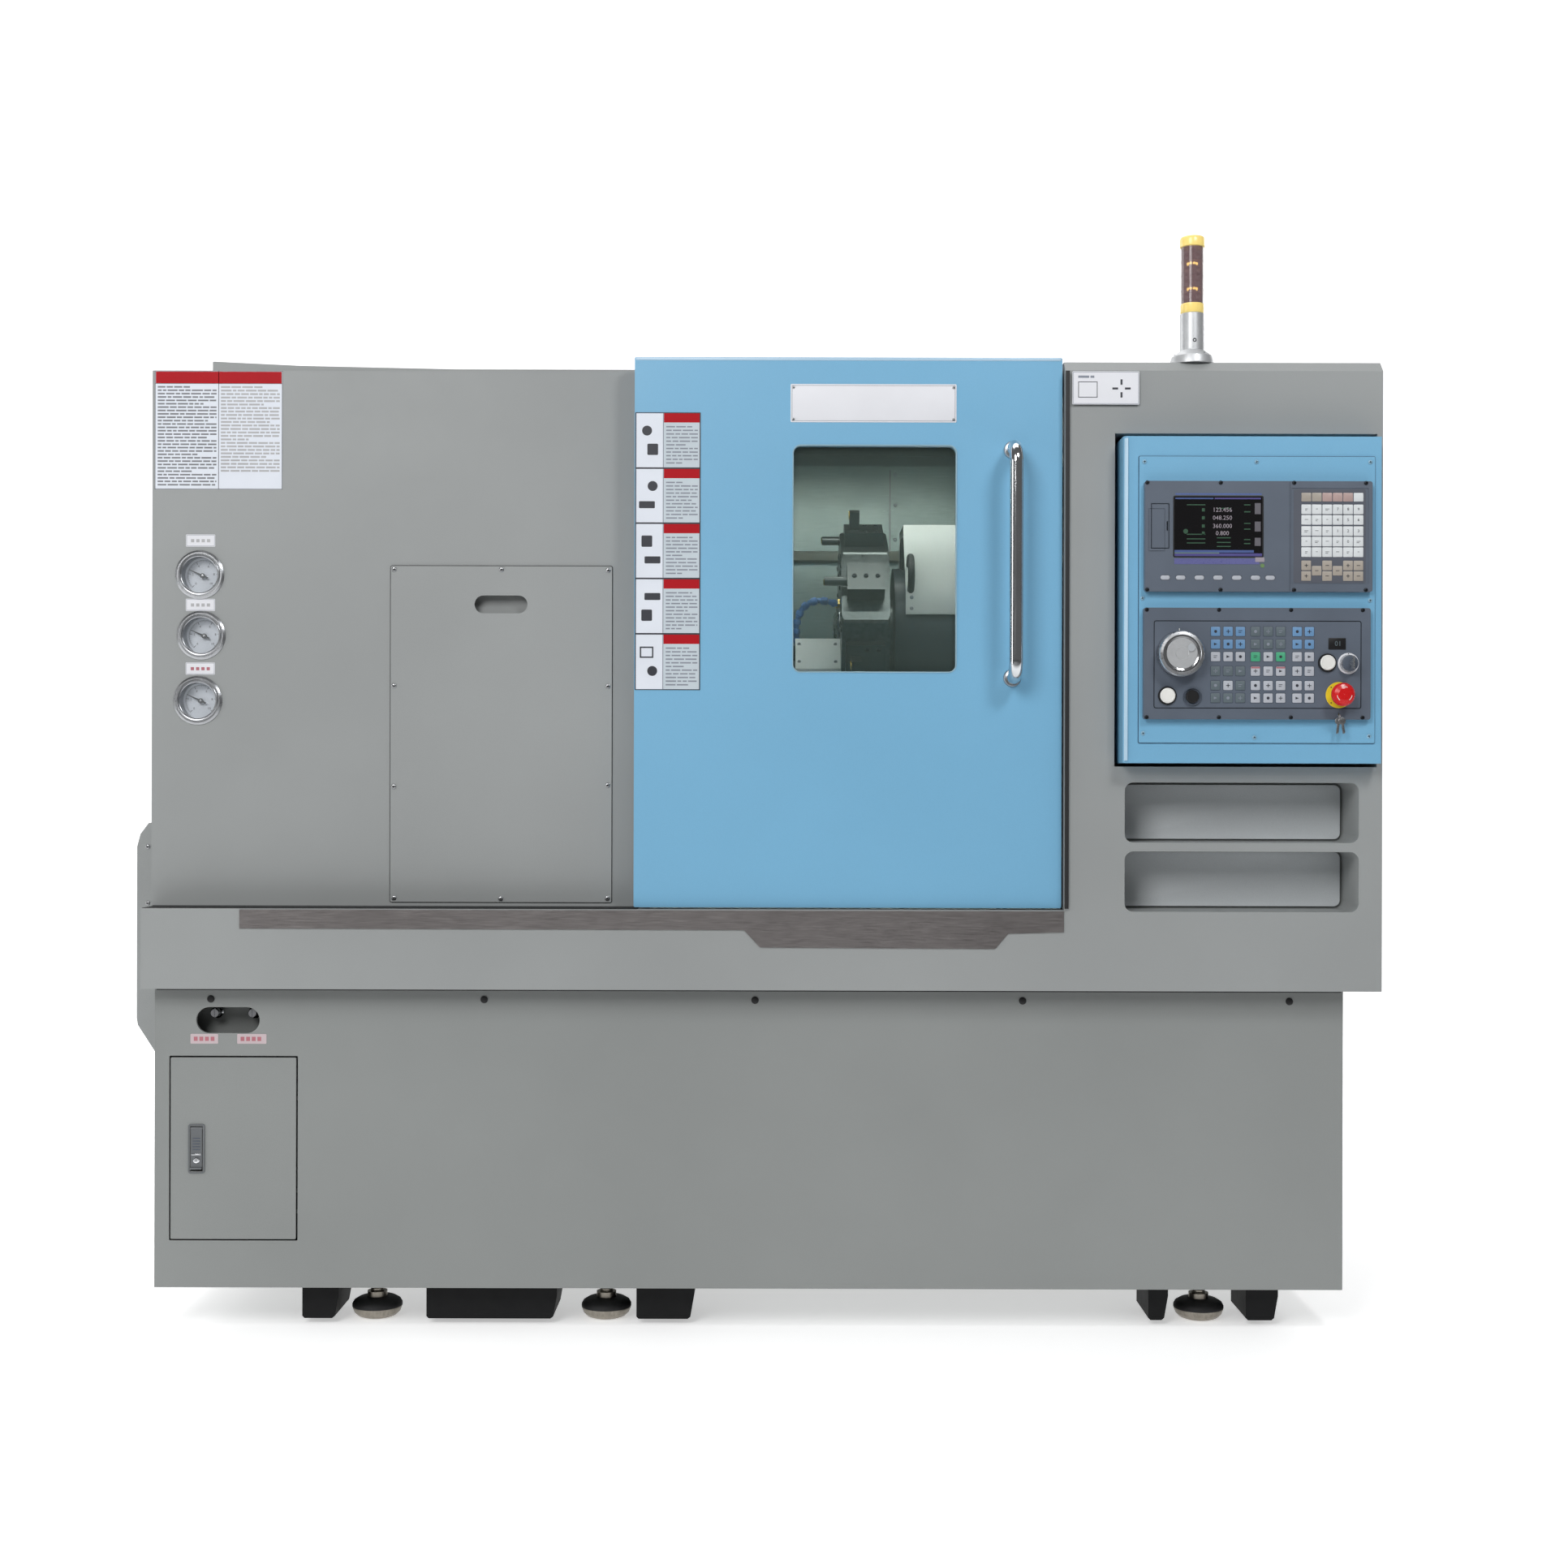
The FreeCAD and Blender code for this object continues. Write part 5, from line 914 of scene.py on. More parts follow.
# operator panel: inner frame, keys, bezels, read-out
b = Mesh("operator_film")
b.ringslab(outline_rect(0.6970, 1.0561, 1.1105, 1.2625, 0.004), outline_rect(0.6982, 1.0549, 1.1117, 1.2613, 0.003), pyf - 0.0004, pyf + 0.0002, M["screwdark"])
b.finish("swing_box", "slate")
b = Mesh("operator_keys")
krows = [1.2437, 1.2218, 1.2001, 1.1752, 1.1503, 1.1286]
blocks = [([0.8037, 0.8254, 0.8466], ["bbb", "bbb", "lll", "ddd", "dld", "ddd"]),
          ([0.8728, 0.8947, 0.9164], ["ddd", "ddd", "glg", "lll", "lll", "lll"]),
          ([0.9449, 0.9660], ["bb", "bb", "ll", "ll", "ll", "ll"])]
pick = {"b": "key_b", "l": "key_l", "d": "key_d", "g": "key_g"}
for xs_, pat in blocks:
    for r_, line in enumerate(pat):
        for c_, ch in enumerate(line):
            x, z = xs_[c_], krows[r_]
            b.slab(outline_rect(x - 0.0090, x + 0.0090, z - 0.0090, z + 0.0090, 0.0018, 3), pyf - 0.0002, pyf + 0.0003, M["slate2"])
            keycap(b, x, z, 0.0160, 0.0160, pyf, M[pick[ch]], 0.0016, 0.0012)
            mk = M["ink"] if ch != "d" else M["inkgrey"]
            k = (r_ * 3 + c_) % 4
            if k == 0:
                b.slab(outline_circle(x, z, 0.0026, 12), pyf - 0.0014, pyf - 0.0011, mk)
            elif k == 1:
                b.block((x - 0.0034, pyf - 0.0014, z - 0.0006), (x + 0.0034, pyf - 0.0011, z + 0.0006), mk)
                b.block((x - 0.0006, pyf - 0.0014, z - 0.0034), (x + 0.0006, pyf - 0.0011, z + 0.0034), mk)
            elif k == 2:
                b.block((x - 0.0034, pyf - 0.0014, z + 0.0010), (x + 0.0030, pyf - 0.0011, z + 0.0020), mk)
                b.block((x - 0.0034, pyf - 0.0014, z - 0.0020), (x + 0.0014, pyf - 0.0011, z - 0.0010), mk)
            else:
                b.slab([(x - 0.0028, z - 0.0024), (x + 0.0030, z), (x - 0.0028, z + 0.0024)], pyf - 0.0014, pyf - 0.0011, mk)
            if line == "lll" and r_ == 3 and c_ in (0, 2) and xs_[0] > 0.86:
                b.block((x - 0.0076, pyf - 0.0015, z + 0.0046), (x + 0.0076, pyf - 0.0010, z + 0.0076), M["inkred"])
b.finish("swing_box", "white_plastic")
b = Mesh("readout")
b.slab(outline_rect(0.9990, 1.0290, 1.2130, 1.2328, 0.001, 2), pyf - 0.0012, pyf, M["blackp"], 0.0004)
b.text("01", 0.0120, (1.0155, 1.2228), pyf - 0.0013, M["key_d"], 0.0001)
b.finish("swing_box", "black_plastic")
b = Mesh("button_bezels")
for nname, mt in (("button_upper", "blackp"), ("button_lower", "blackp"), ("button_black", "slate2")):
    c = (lo(nname) + hi(nname)) / 2
    b.lathe([(0.0138, 0.0), (0.0160, 0.0), (0.0160, 0.0022), (0.0155, 0.0034), (0.0149, 0.0040), (0.0142, 0.0036), (0.0138, 0.0028)], (c.x, pyf, c.z), "-y", M[mt], 36, closed=True)
b.finish("swing_box", "black_plastic")
for nname, mt in (("button_upper", "whitep"), ("button_lower", "whitep")):
    c = (lo(nname) + hi(nname)) / 2
    yf = lo(nname).y
    b = Mesh(nname + "_cap")
    b.lathe([(0.0, -0.0060), (0.0108, -0.0060), (0.0112, -0.0004), (0.0129, 0.0), (0.0132, 0.0010), (0.0126, 0.0022), (0.0112, 0.0030), (0.0092, 0.0028), (0.0080, 0.0022),
             (0.0, 0.0020)], (c.x, yf + 0.0028, c.z), "-y", M[mt], 40)
    b.finish("upper_button" if nname == "button_upper" else "lower_button", "white_plastic")

# ---------------------------------------------------------------- column plate
cyf = lo("control_column").y
soften("control_column", 0.0016)
soften("hood_shell", 0.0020)
soften("base_cabinet", 0.0022)
soften("apron_belt", 0.0018)
soften("left_side_cover", 0.0025)
soften("electrical_cabinet", 0.0018)
soften("skid_blocks", 0.0010)
soften("turret_disc", 0.0012)
soften("tool_holders", 0.0010)
soften("turret_body", 0.0015)
soften("chuck_body", 0.0008)
for jn in ("jaw_1", "jaw_2", "jaw_3"):
    soften(jn, 0.0008)
soften("latch_paddle", 0.0006)
# black strip on the column's edge: painted shadow of the gap between door and column
b = Mesh("column_door_gap_painted_shadow")
b.block((0.5510, cyf - 0.0006, 0.7600), (0.5582, cyf + 0.0004, 1.7050), M["rubber"], 0.0002)
b.finish("machine", "rubber")
# near-white sheets on the pocket backs: painted light that brightens the shaded pockets
M["pocketmat"] = paint("pocket_painted_light_paint", srgb(226, 231, 234), 0.50, 850.0, 0.00006)
b = Mesh("pocket_painted_light_sheets")
for z0, z1 in ((0.8765, 0.9823), (0.7549, 0.8607)):
    b.slab(outline_rect(0.6612, 1.0650, z0 + 0.0040, z1 - 0.0040, 0.0112, 6), cyf + 0.1106, cyf + 0.1120, M["pocketmat"], 0.0004)
b.finish("machine", "grey_paint")
b = Mesh("column_plate")
x0, x1, z0, z1 = 0.5628, 0.6801, 1.6458, 1.7040
film(b, x0, x1, z0, z1, cyf)
b.ringslab(outline_rect(x0 + 0.001, x1 - 0.001, z0 + 0.001, z1 - 0.001), outline_rect(x0 + 0.0018, x1 - 0.0018, z0 + 0.0018, z1 - 0.0018), cyf - 0.0005, cyf - 0.0003, M["inkgrey"])
b.ringslab(outline_rect(x0 + 0.010, x0 + 0.044, z0 + 0.012, z0 + 0.040), outline_rect(x0 + 0.0112, x0 + 0.0428, z0 + 0.0132, z0 + 0.0388), cyf - 0.0005, cyf - 0.0003, M["ink"])
for dx, dz, w, h in ((0.0842, 0.0345, 0.0036, 0.0095), (0.0842, 0.0120, 0.0036, 0.0095), (0.0700, 0.0262, 0.0100, 0.0036), (0.0920, 0.0262, 0.0100, 0.0036)):
    b.block((x0 + dx, cyf - 0.0005, z0 + dz), (x0 + dx + w, cyf - 0.0003, z0 + dz + h), M["ink"])
bars(b, x0 + 0.010, x0 + 0.046, z0 + 0.044, z0 + 0.053, cyf - 0.0004, M["inkgrey"], 1, seed=2)
b.finish("machine", "white_plastic")

# ---------------------------------------------------------------- signal lamp
M["amber"] = plastic("amber_cap", srgb(240, 214, 128), 0.24, 900.0, 0.00001, 0.5, 0.04, (srgb(244, 214, 120), 0.16))
M["smoke"] = tinted("smoked_tube", srgb(128, 104, 106), 0.62, 0.10)
M["led"] = plastic("lamp_core", srgb(196, 170, 110), 0.3, 900.0, 0.00001, 0.5, 0.05, (srgb(250, 206, 110), 7.0))
M["core"] = plastic("lamp_board", srgb(104, 80, 66), 0.5, 900.0, 0.00003)
tb0, tb1 = lo("tower_base"), hi("tower_base")
tl0, tl1 = lo("tower_lens"), hi("tower_lens")
tx, ty_, tz0, tz1 = (tl0.x + tl1.x) / 2, (tl0.y + tl1.y) / 2, tl0.z, tl1.z
b = Mesh("tower_lamp_lens")
b.lathe([(0.0186, 0.0165), (0.0196, 0.0165), (0.0197, 0.0400), (0.0201, 0.0404), (0.0201, 0.0412), (0.0197, 0.0416), (0.0197, 0.0660), (0.0201, 0.0664),
         (0.0201, 0.0672), (0.0197, 0.0676), (0.0197, 0.0920), (0.0201, 0.0924), (0.0201, 0.0932), (0.0197, 0.0936), (0.0197, 0.1178), (0.0186, 0.1178)],
        (tx, ty_, tz0), "z", M["smoke"], 48, closed=True)
b.lathe([(0.0188, 0.0), (0.0196, 0.0), (0.0208, 0.0020), (0.0208, 0.0158), (0.0198, 0.0170), (0.0188, 0.0170)], (tx, ty_, tz0), "z", M["amber"], 48, closed=True)
b.lathe([(0.0, 0.1174), (0.0192, 0.1174), (0.0217, 0.1186), (0.0220, 0.1200), (0.0220, 0.1310), (0.0214, 0.1335), (0.0198, 0.1358), (0.0160, 0.1368), (0.0, 0.1370)],
        (tx, ty_, tz0), "z", M["amber"], 48)
o = b.finish("machine", "lamp_lens")
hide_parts("tower_lens")
b = Mesh("tower_lamp_core")
b.lathe([(0.0, 0.001), (0.0070, 0.001), (0.0070, 0.117), (0.0, 0.117)], (tx, ty_, tz0), "z", M["core"], 20)
for k in range(8):
    z = 0.0230 + 0.0118 * k
    b.lathe([(0.0, z), (0.0128, z), (0.0132, z + 0.0010), (0.0128, z + 0.0020), (0.0, z + 0.0020)], (tx, ty_, tz0), "z", M["core"], 28)
for z in (0.0445, 0.0895):
    for k in range(8):
        a = math.pi / 4 * k + 0.2
        b.lathe([(0.0, 0.0), (0.0022, 0.0), (0.0022, 0.0022), (0.0012, 0.0034), (0.0, 0.0038)],
                (tx + 0.0066 * math.cos(a), ty_ + 0.0066 * math.sin(a), tz0 + z),
                (Vector((math.cos(a), math.sin(a), 0)), Vector((-math.sin(a), math.cos(a), 0)), Vector((0, 0, 1))), M["led"], 10)
b.finish("machine", "lamp_lens")
b = Mesh("tower_flange_cover")
z = tb0.z
b.lathe([(0.0215, 0.0262), (0.0245, 0.0234), (0.0364, 0.0143), (0.0392, 0.0044), (0.0394, 0.0008), (0.0388, 0.0004), (0.0356, 0.0136), (0.0236, 0.0228), (0.0211, 0.0256)],
        (tx, ty_, z), "z", M["toweralu"], 48, closed=True)
b.lathe([(0.0204, 0.0236), (0.0214, 0.0240), (0.0216, 0.0300), (0.0214, tz0 - z - 0.0012), (0.0206, tz0 - z - 0.0004), (0.0202, tz0 - z - 0.0010), (0.0202, 0.0250)],
        (tx, ty_, z), "z", M["toweralu"], 56, closed=True)
b.lathe([(0.0, -0.0004), (0.0030, -0.0004), (0.0034, 0.0002), (0.0030, 0.0008), (0.0022, 0.0010), (0.0018, -0.0002), (0.0, -0.0002)], (tx, ty_ - 0.0215, z + 0.0415), "-y", M["screwdark"], 20)
for k in range(3):
    a = math.radians(-60 + 120 * k)
    pan_screw(b, 0.030 * math.cos(a), 0.030 * math.sin(a), -0.0185, 0.0028, M["screw"], on=face((tx, ty_, z), (1, 0, 0), (0, 0, 1), (0, 1, 0)))
b.lathe([(0.0190, 0.0895), (0.0200, 0.0895), (0.0204, 0.0905), (0.0200, 0.0915), (0.0190, 0.0915)], (tx, ty_, z), "z", M["alu"], 40, closed=True)
b.finish("machine", "black_steel")

# ------------------------------------------------------------- stop, key, base
pyf = lo("operator_panel").y
ec = (lo("estop_cap") + hi("estop_cap")) / 2
b = Mesh("stop_ring")
b.lathe([(0.0106, 0.0), (0.0226, 0.0), (0.0226, 0.0010), (0.0220, 0.0016), (0.0106, 0.0016)], (ec.x, pyf, ec.z), "-y", M["yellow"], 48, closed=True)
for k in range(4):
    a = math.radians(45 + 90 * k)
    b.slab(outline_circle(ec.x + 0.0190 * math.cos(a), ec.z + 0.0190 * math.sin(a), 0.0012, 10), pyf - 0.0018, pyf - 0.0014, M["ink"])
b.finish("swing_box", "white_plastic")
b = Mesh("stop_cap_ribs")
ey = lo("estop_cap").y
for k in range(3):
    a = math.radians(90 + 120 * k)
    pts = []
    for j in range(7):
        t = a + math.radians(-22 + 44 * j / 6)
        pts.append((ec.x + 0.0128 * math.cos(t), ey + 0.0022 - 0.0008, ec.z + 0.0128 * math.sin(t)))
    b.tube(pts, 0.0007, M["whitep"], 6)
b.finish("stop_cap", "red_plastic")
kc_ = (lo("key_switch") + hi("key_switch")) / 2
b = Mesh("key_ring_plate")
b.lathe([(0.0152, 0.0), (0.0182, 0.0), (0.0182, 0.0012), (0.0176, 0.0018), (0.0152, 0.0018)], (kc_.x, pyf, kc_.z), "-y", M["label"], 40, closed=True)
for k, a in enumerate((90, 20)):
    a = math.radians(a)
    b.slab(outline_circle(kc_.x + 0.0168 * math.cos(a), kc_.z + 0.0168 * math.sin(a), 0.0009, 8), pyf - 0.0020, pyf - 0.0017, M["ink"])
b.finish("swing_box", "white_plastic")
b = Mesh("key_face")
ky = lo("key_switch").y
b.lathe([(0.0, 0.0), (0.0138, 0.0), (0.0138, 0.0004), (0.0128, 0.0008), (0.0100, 0.0010), (0.0, 0.0010)], (kc_.x, pyf - 0.0130, kc_.z), "-y", M["slate2"], 36)
b.finish("key", "machined")

# handwheel: chromed rim, inner plate, dimple, graduation marks on the rim's face
hw = (lo("handwheel") + hi("handwheel")) / 2
hy = lo("handwheel").y
b = Mesh("handwheel_face")
b.lathe([(0.0268, 0.0), (0.0286, 0.0006), (0.0300, 0.0012), (0.0330, 0.0006 + 0.0), (0.0336, -0.0004), (0.0300, -0.0022), (0.0268, -0.0020)], (hw.x, hy + 0.0015, hw.z), "-y", M["chrome"], 64, closed=True)
b.lathe([(0.0, 0.0), (0.0264, 0.0), (0.0266, 0.0006), (0.0262, 0.0012), (0.0115, 0.0012), (0.0108, 0.0004), (0.0, 0.0004)], (hw.x, hy + 0.0022, hw.z), "-y", M["toweralu"], 56)
M["polish"] = metal("polished_alloy", srgb(206, 208, 211), 0.30, (1, 1, 1), 120.0, 0.000002, 0.02)
nodes["handwheel"].material_slots[0].material = M["polish"]
M["dialgrey"] = plastic("dial_grey", srgb(176, 180, 184), 0.4, 900.0, 0.00001)
for k in range(100):
    a = 2 * math.pi * k / 100
    r0, r1 = (0.0345 if k % 10 == 0 else 0.0352), 0.0372
    xf = Matrix.Translation((hw.x, hy + 0.0026, hw.z)) @ Matrix.Rotation(-a, 4, "Y")
    b.block((r0, -0.0018, -0.00018), (r1, 0.0006, 0.00018), M["ink"], 0, xf)
b.lathe([(0.0, -0.0002), (0.0036, -0.0002), (0.0060, 0.0012), (0.0067, 0.0022), (0.0064, 0.0028), (0.0, 0.0030)], (hw.x + 0.0216 * 0.72, hy + 0.0016, hw.z + 0.0098), "-y", M["dialgrey"], 32)
b.finish("wheel", "aluminium")
b = Mesh("handwheel_scale")
b.lathe([(0.0320, 0.0), (0.0408, 0.0), (0.0408, 0.0012), (0.0400, 0.0018), (0.0320, 0.0018)], (hw.x, pyf, hw.z), "-y", M["slate2"], 56, closed=True)
b.block((hw.x - 0.0005, pyf - 0.0020, hw.z + 0.0405), (hw.x + 0.0005, pyf - 0.0003, hw.z + 0.0450), M["whitep"])
b.finish("swing_box", "slate")

# keys hanging from the panel's lower right edge
b = Mesh("spare_keys")
b.tube([(1.0165, pyf - 0.0010, 1.1030), (1.0150, pyf - 0.0060, 1.0990), (1.0168, pyf - 0.0062, 1.0945), (1.0190, pyf - 0.0030, 1.0950), (1.0186, pyf - 0.0010, 1.1000)], 0.0007, M["screw"], 8)
for dx, rot in ((-0.0012, 0.10), (0.0030, -0.16)):
    xf = Matrix.Translation((1.0172 + dx, pyf - 0.0040 - abs(dx), 1.0950)) @ Matrix.Rotation(rot, 4, "Y")
    b.slab(outline_circle(0, -0.0060, 0.0062, 20), -0.0008, 0.0008, M["screw"], 0.0003, xf)
    b.slab([(-0.0022, -0.0280), (0.0004, -0.0280), (0.0022, -0.0262), (0.0022, -0.0110), (-0.0022, -0.0110)], -0.0008, 0.0008, M["screw"], 0.0003, xf)
b.finish("swing_box", "machined")

# base door: lock insert on the paddle and a bright edge round the cup
lp0, lp1 = lo("latch_paddle"), hi("latch_paddle")
b = Mesh("latch_lock")
lx, lz, ly = (lp0.x + lp1.x) / 2, lp0.z + 0.0160, lp0.y + 0.0040
b.lathe([(0.0, 0.0), (0.0058, 0.0), (0.0060, 0.0010), (0.0052, 0.0018), (0.0034, 0.0020), (0.0032, 0.0012), (0.0, 0.0012)], (lx, ly, lz), "-y", M["chrome"], 28)
b.block((lx - 0.0005, ly - 0.0014, lz - 0.0022), (lx + 0.0005, ly - 0.0010, lz + 0.0022), M["gap"])
b.block((lx - 0.0085, ly - 0.0018, lz + 0.0090), (lx + 0.0085, ly - 0.0002, lz + 0.0112), M["chrome"], 0.0004)
for k in range(5):
    b.block((lx - 0.0066, ly - 0.0006, lz + 0.0180 + 0.0050 * k), (lx + 0.0066, ly + 0.0002, lz + 0.0196 + 0.0050 * k), M["slate2"], 0.0002)
b.finish("service_latch", "slate")
bd0, bd1 = lo("base_door"), hi("base_door")
b = Mesh("latch_cup_edge")
b.ringslab(outline_rect(-1.0010, -0.9716, 0.2824, 0.3700, 0.004), outline_rect(-0.9984, -0.9742, 0.2850, 0.3674, 0.002), -0.6580, -0.6560, M["latchgrey"])
b.finish("service_door", "black_steel")

# feet: rubber tops on the pads
b = Mesh("foot_covers")
for fx in (-0.687, -0.266, 0.822):
    for fy in (-0.540, 0.480):
        b.lathe([(0.0455, 0.0190), (0.0455, 0.0234), (0.0424, 0.0289), (0.0342, 0.0338), (0.0186, 0.0367), (0.0181, 0.0367), (0.0181, 0.0352), (0.0334, 0.0322), (0.0412, 0.0274), (0.0443, 0.0192)], (fx, fy, 0), "z", M["rubber"], 48, closed=True)
        for k in range(7):
            z = 0.0480 + 0.0042 * k
            b.lathe([(0.0119, z - 0.0012), (0.0131, z), (0.0119, z + 0.0012)], (fx, fy, 0), "z", M["footm"], 28, closed=True)
b.finish("machine", "rubber")

# ------------------------------------------------------------ cutting chamber
M["lampface"] = plastic("work_lamp_face", srgb(244, 248, 246), 0.4, 600.0, 0.00001, 0.5, 0.02, (srgb(236, 246, 240), 24.0))
M["ledge"] = paint("ledge_enamel", srgb(196, 192, 176), 0.5, 400.0, 0.0001)
M["nozzle"] = plastic("nozzle_blue", srgb(84, 128, 190), 0.3, 700.0, 0.00002)
M["brass"] = metal("nozzle_brass", srgb(206, 180, 110), 0.28, (1, 1, 1), 500.0, 0.00001)
ln0, ln1 = lo("chamber_liner"), hi("chamber_liner")
b = Mesh("work_lamp")
for xa, xb, y0_, y1_ in ((-0.120, 0.500, -0.560, -0.522), (-0.120, 0.500, -0.215, -0.177)):
    b.block((xa, y0_, 1.6860), (xb, y1_, 1.7080), M["alu"], 0.003)
    b.block((xa + 0.012, y0_ + 0.005, 1.6835), (xb - 0.012, y1_ - 0.005, 1.6862), M["lampface"], 0.001)
    for x in (xa + 0.006, xb - 0.006):
        b.lathe([(0.0, 0.0), (0.003, 0.0), (0.003, 0.002), (0.0, 0.0024)], (x, (y0_ + y1_) / 2, 1.6862), "-z", M["screw"], 14)
b.finish("machine", "aluminium")

b = Mesh("chamber_ledge")
ybk = 0.376
b.slab([(-0.150, 1.4880), (0.536, 1.4880), (0.536, 1.5100), (-0.150, 1.5100)], ybk - 0.030, ybk - 0.0005, M["ledge"], 0.003)
for x in (-0.10, 0.06, 0.22, 0.38, 0.50):
    pan_screw(b, x, 1.4990, ybk - 0.030, 0.0055, M["screw"], "hex")
for x in (-0.02, 0.30):
    b.slab(outline_rect(x - 0.0015, x + 0.0015, 1.5105, 1.7000), ybk - 0.0016, ybk - 0.0004, M["strip"])
    for z in (1.54, 1.62, 1.69):
        pan_screw(b, x + 0.012, z, ybk - 0.0006, 0.0042, M["screw"], "hex")
b.finish("machine", "stainless")

# telescopic slide covers lying on the saddle plate: folded sheets stepping up the bed
S45 = math.sqrt(0.5)


def bed_xf(s, h, x=0.0):
    """Frame square to the bed: x along the spindle, local z up the slope, local -y off the bed."""
    y = -0.08787 + (s - h) * S45
    z = 0.84787 + (s + h) * S45
    return face((x, y, z), (1, 0, 0), (0, -S45, S45), (0, S45, S45))


b = Mesh("slide_cover_sheets")
for k, (s0, s1, h) in enumerate(((-0.138, 0.020, 0.0480), (0.014, 0.150, 0.0452), (0.144, 0.290, 0.0440), (0.284, 0.430, 0.0436), (0.424, 0.572, 0.0432))):
    xf = bed_xf(0, h)
    b.slab(outline_rect(0.048, 0.280, s0, s1), -0.0016, -0.0002, M["stainless"], 0.0005, xf)
    b.slab(outline_rect(0.048, 0.280, s1 - 0.006, s1), -0.0040, -0.0002, M["stainless"], 0.0008, xf)
b.finish("carriage", "stainless")

b = Mesh("turret_cover")
tdc = (lo("turret_disc") + hi("turret_disc")) / 2
tyc, tzc = -0.0596, 1.3004
# near-white paint for a steel guard sheet: a painted reflection
M["coversheet"] = paint("guard_sheet_painted_reflection", srgb(214, 218, 214), 0.34, 300.0, 0.00003, 0.03)
hx0, hx1 = 0.3020, 0.5180
prof = [(-0.1370, 0.0200), (-0.1370, 0.0640), (-0.0400, 0.2120), (0.0900, 0.2120), (0.1300, 0.1000)]
vv, ff = [], []
for x in (hx0, hx1):
    for dy, dz in prof:
        vv.append((x, tyc + dy, tzc + dz))
    for dy, dz in reversed(prof):
        k = 0.985
        vv.append((x, tyc + dy * k, tzc + dz * k - 0.0006))
n = len(prof) * 2
for i in range(n):
    j = (i + 1) % n
    ff.append([i, j, n + j, n + i])
ff.append(list(reversed(range(n))))
ff.append([n + i for i in range(n)])
# near-white paint on the stainless turret cover: a painted reflection of the lit steel
M["coverdull"] = paint("turret_cover_painted_reflection", srgb(222, 224, 218), 0.38, 300.0, 0.00003, 0.03)
b.add(vv, ff, M["coverdull"])
for x in (hx0 + 0.012, hx1 - 0.012):
    for dz in (0.032, 0.054):
        pan_screw(b, x, tzc + dz, tyc - 0.1370, 0.0040, M["screw"], "hex")
b.finish("cross_slide", "stainless")

# turret disc: clamp screws on its face and rim, hub cap
b = Mesh("turret_disc_screws")
fx = lo("turret_disc").x
fr = face((fx, tyc, tzc), (0, -1, 0), (-1, 0, 0))
for i in range(8):
    a = math.radians(45 * i)
    for r_, rr in ((0.150, 0.0060), (0.110, 0.0052)):
        pan_screw(b, r_ * math.cos(a), r_ * math.sin(a), 0.0, rr, M["screwdark"], "hex", on=fr)
    a2 = math.radians(45 * i + 22.5)
    for t_ in (-0.055, 0.055):
        pan_screw(b, 0.172 * math.cos(a2) - t_ * math.sin(a2), 0.172 * math.sin(a2) + t_ * math.cos(a2), 0.0, 0.0050, M["screwdark"], "hex", on=fr)
b.lathe([(0.0, 0.0125), (0.026, 0.0125), (0.034, 0.0085), (0.046, 0.0060), (0.052, 0.0010), (0.052, -0.0005), (0.0, -0.0005)], (fx, tyc, tzc),
        (Vector((-1, 0, 0)), Vector((0, 1, 0)), Vector((0, 0, 1))), M["machined"], 48)
b.finish("turret", "machined")

# screws and insert tips on the tool blocks
b = Mesh("tool_block_details")
M["insert"] = metal("carbide_insert", srgb(206, 176, 96), 0.25, (1, 1, 1), 600.0, 0.00001)
for i in range(8):
    a = math.radians(45.0 * i + 22.5)
    ca, sa = math.cos(a), math.sin(a)
    # local frame on the disc rim: x along the spindle, -y outwards, z round the rim
    out = 0.214 if i % 2 == 0 else 0.232
    fr = face((0.0, tyc + out * ca, tzc + out * sa), (1, 0, 0), (0, ca, sa), (0, -sa, ca))
    if i % 2 == 0:
        for x in (0.222, 0.244):
            for z in (-0.026, 0.020):
                pan_screw(b, x, z, 0.0, 0.0040, M["screwdark"], "hex", on=fr)
        tip = face((0.1900, tyc + 0.243 * ca, tzc + 0.243 * sa), (0, -sa, ca), (-1, 0, 0), (0, ca, sa))
        b.slab([(-0.012, -0.006), (-0.002, -0.010), (0.004, 0.0), (-0.004, 0.0068)], -0.0018, 0.0005, M["insert"], 0.0005, tip)
    else:
        for x in (0.196, 0.219, 0.242):
            pan_screw(b, x, 0.0, 0.0, 0.0048, M["screwdark"], "hex", on=fr)
        c = Vector((0.137, tyc + 0.209 * ca, tzc + 0.209 * sa))
        b.slab([(-0.006, -0.004), (0.004, -0.006), (0.010, 0.002), (0.0, 0.008)], -0.0020, 0.0005, M["insert"], 0.0005,
               face((c.x, c.y, c.z), (0, -sa, ca), (-1, 0, 0), (0, ca, sa)))
b.finish("turret", "machined")

# jointed coolant nozzle on the disc's face
b = Mesh("coolant_nozzle")
pts = [Vector((0.170, -0.080, 1.3500)), Vector((0.148, -0.082, 1.3560)), Vector((0.126, -0.080, 1.3580)), Vector((0.106, -0.076, 1.3520)),
       Vector((0.092, -0.072, 1.3380)), Vector((0.085, -0.070, 1.3200)), Vector((0.082, -0.068, 1.3010)), Vector((0.083, -0.066, 1.2820))]
for i in range(len(pts) - 1):
    d = (pts[i + 1] - pts[i])
    L = d.length
    w = d.normalized()
    u = w.cross(Vector((0, 1, 0)))
    u = u.normalized() if u.length > 1e-3 else Vector((1, 0, 0))
    b.lathe([(0.0052, 0.0), (0.0074, 0.0010), (0.0084, 0.0040), (0.0082, L * 0.55), (0.0062, L * 0.66), (0.0060, L * 0.86), (0.0052, L)], pts[i], (w, u, w.cross(u)), M["nozzle"], 22, closed=False)
w = (pts[-1] - pts[-2]).normalized()
u = w.cross(Vector((0, 1, 0))).normalized()
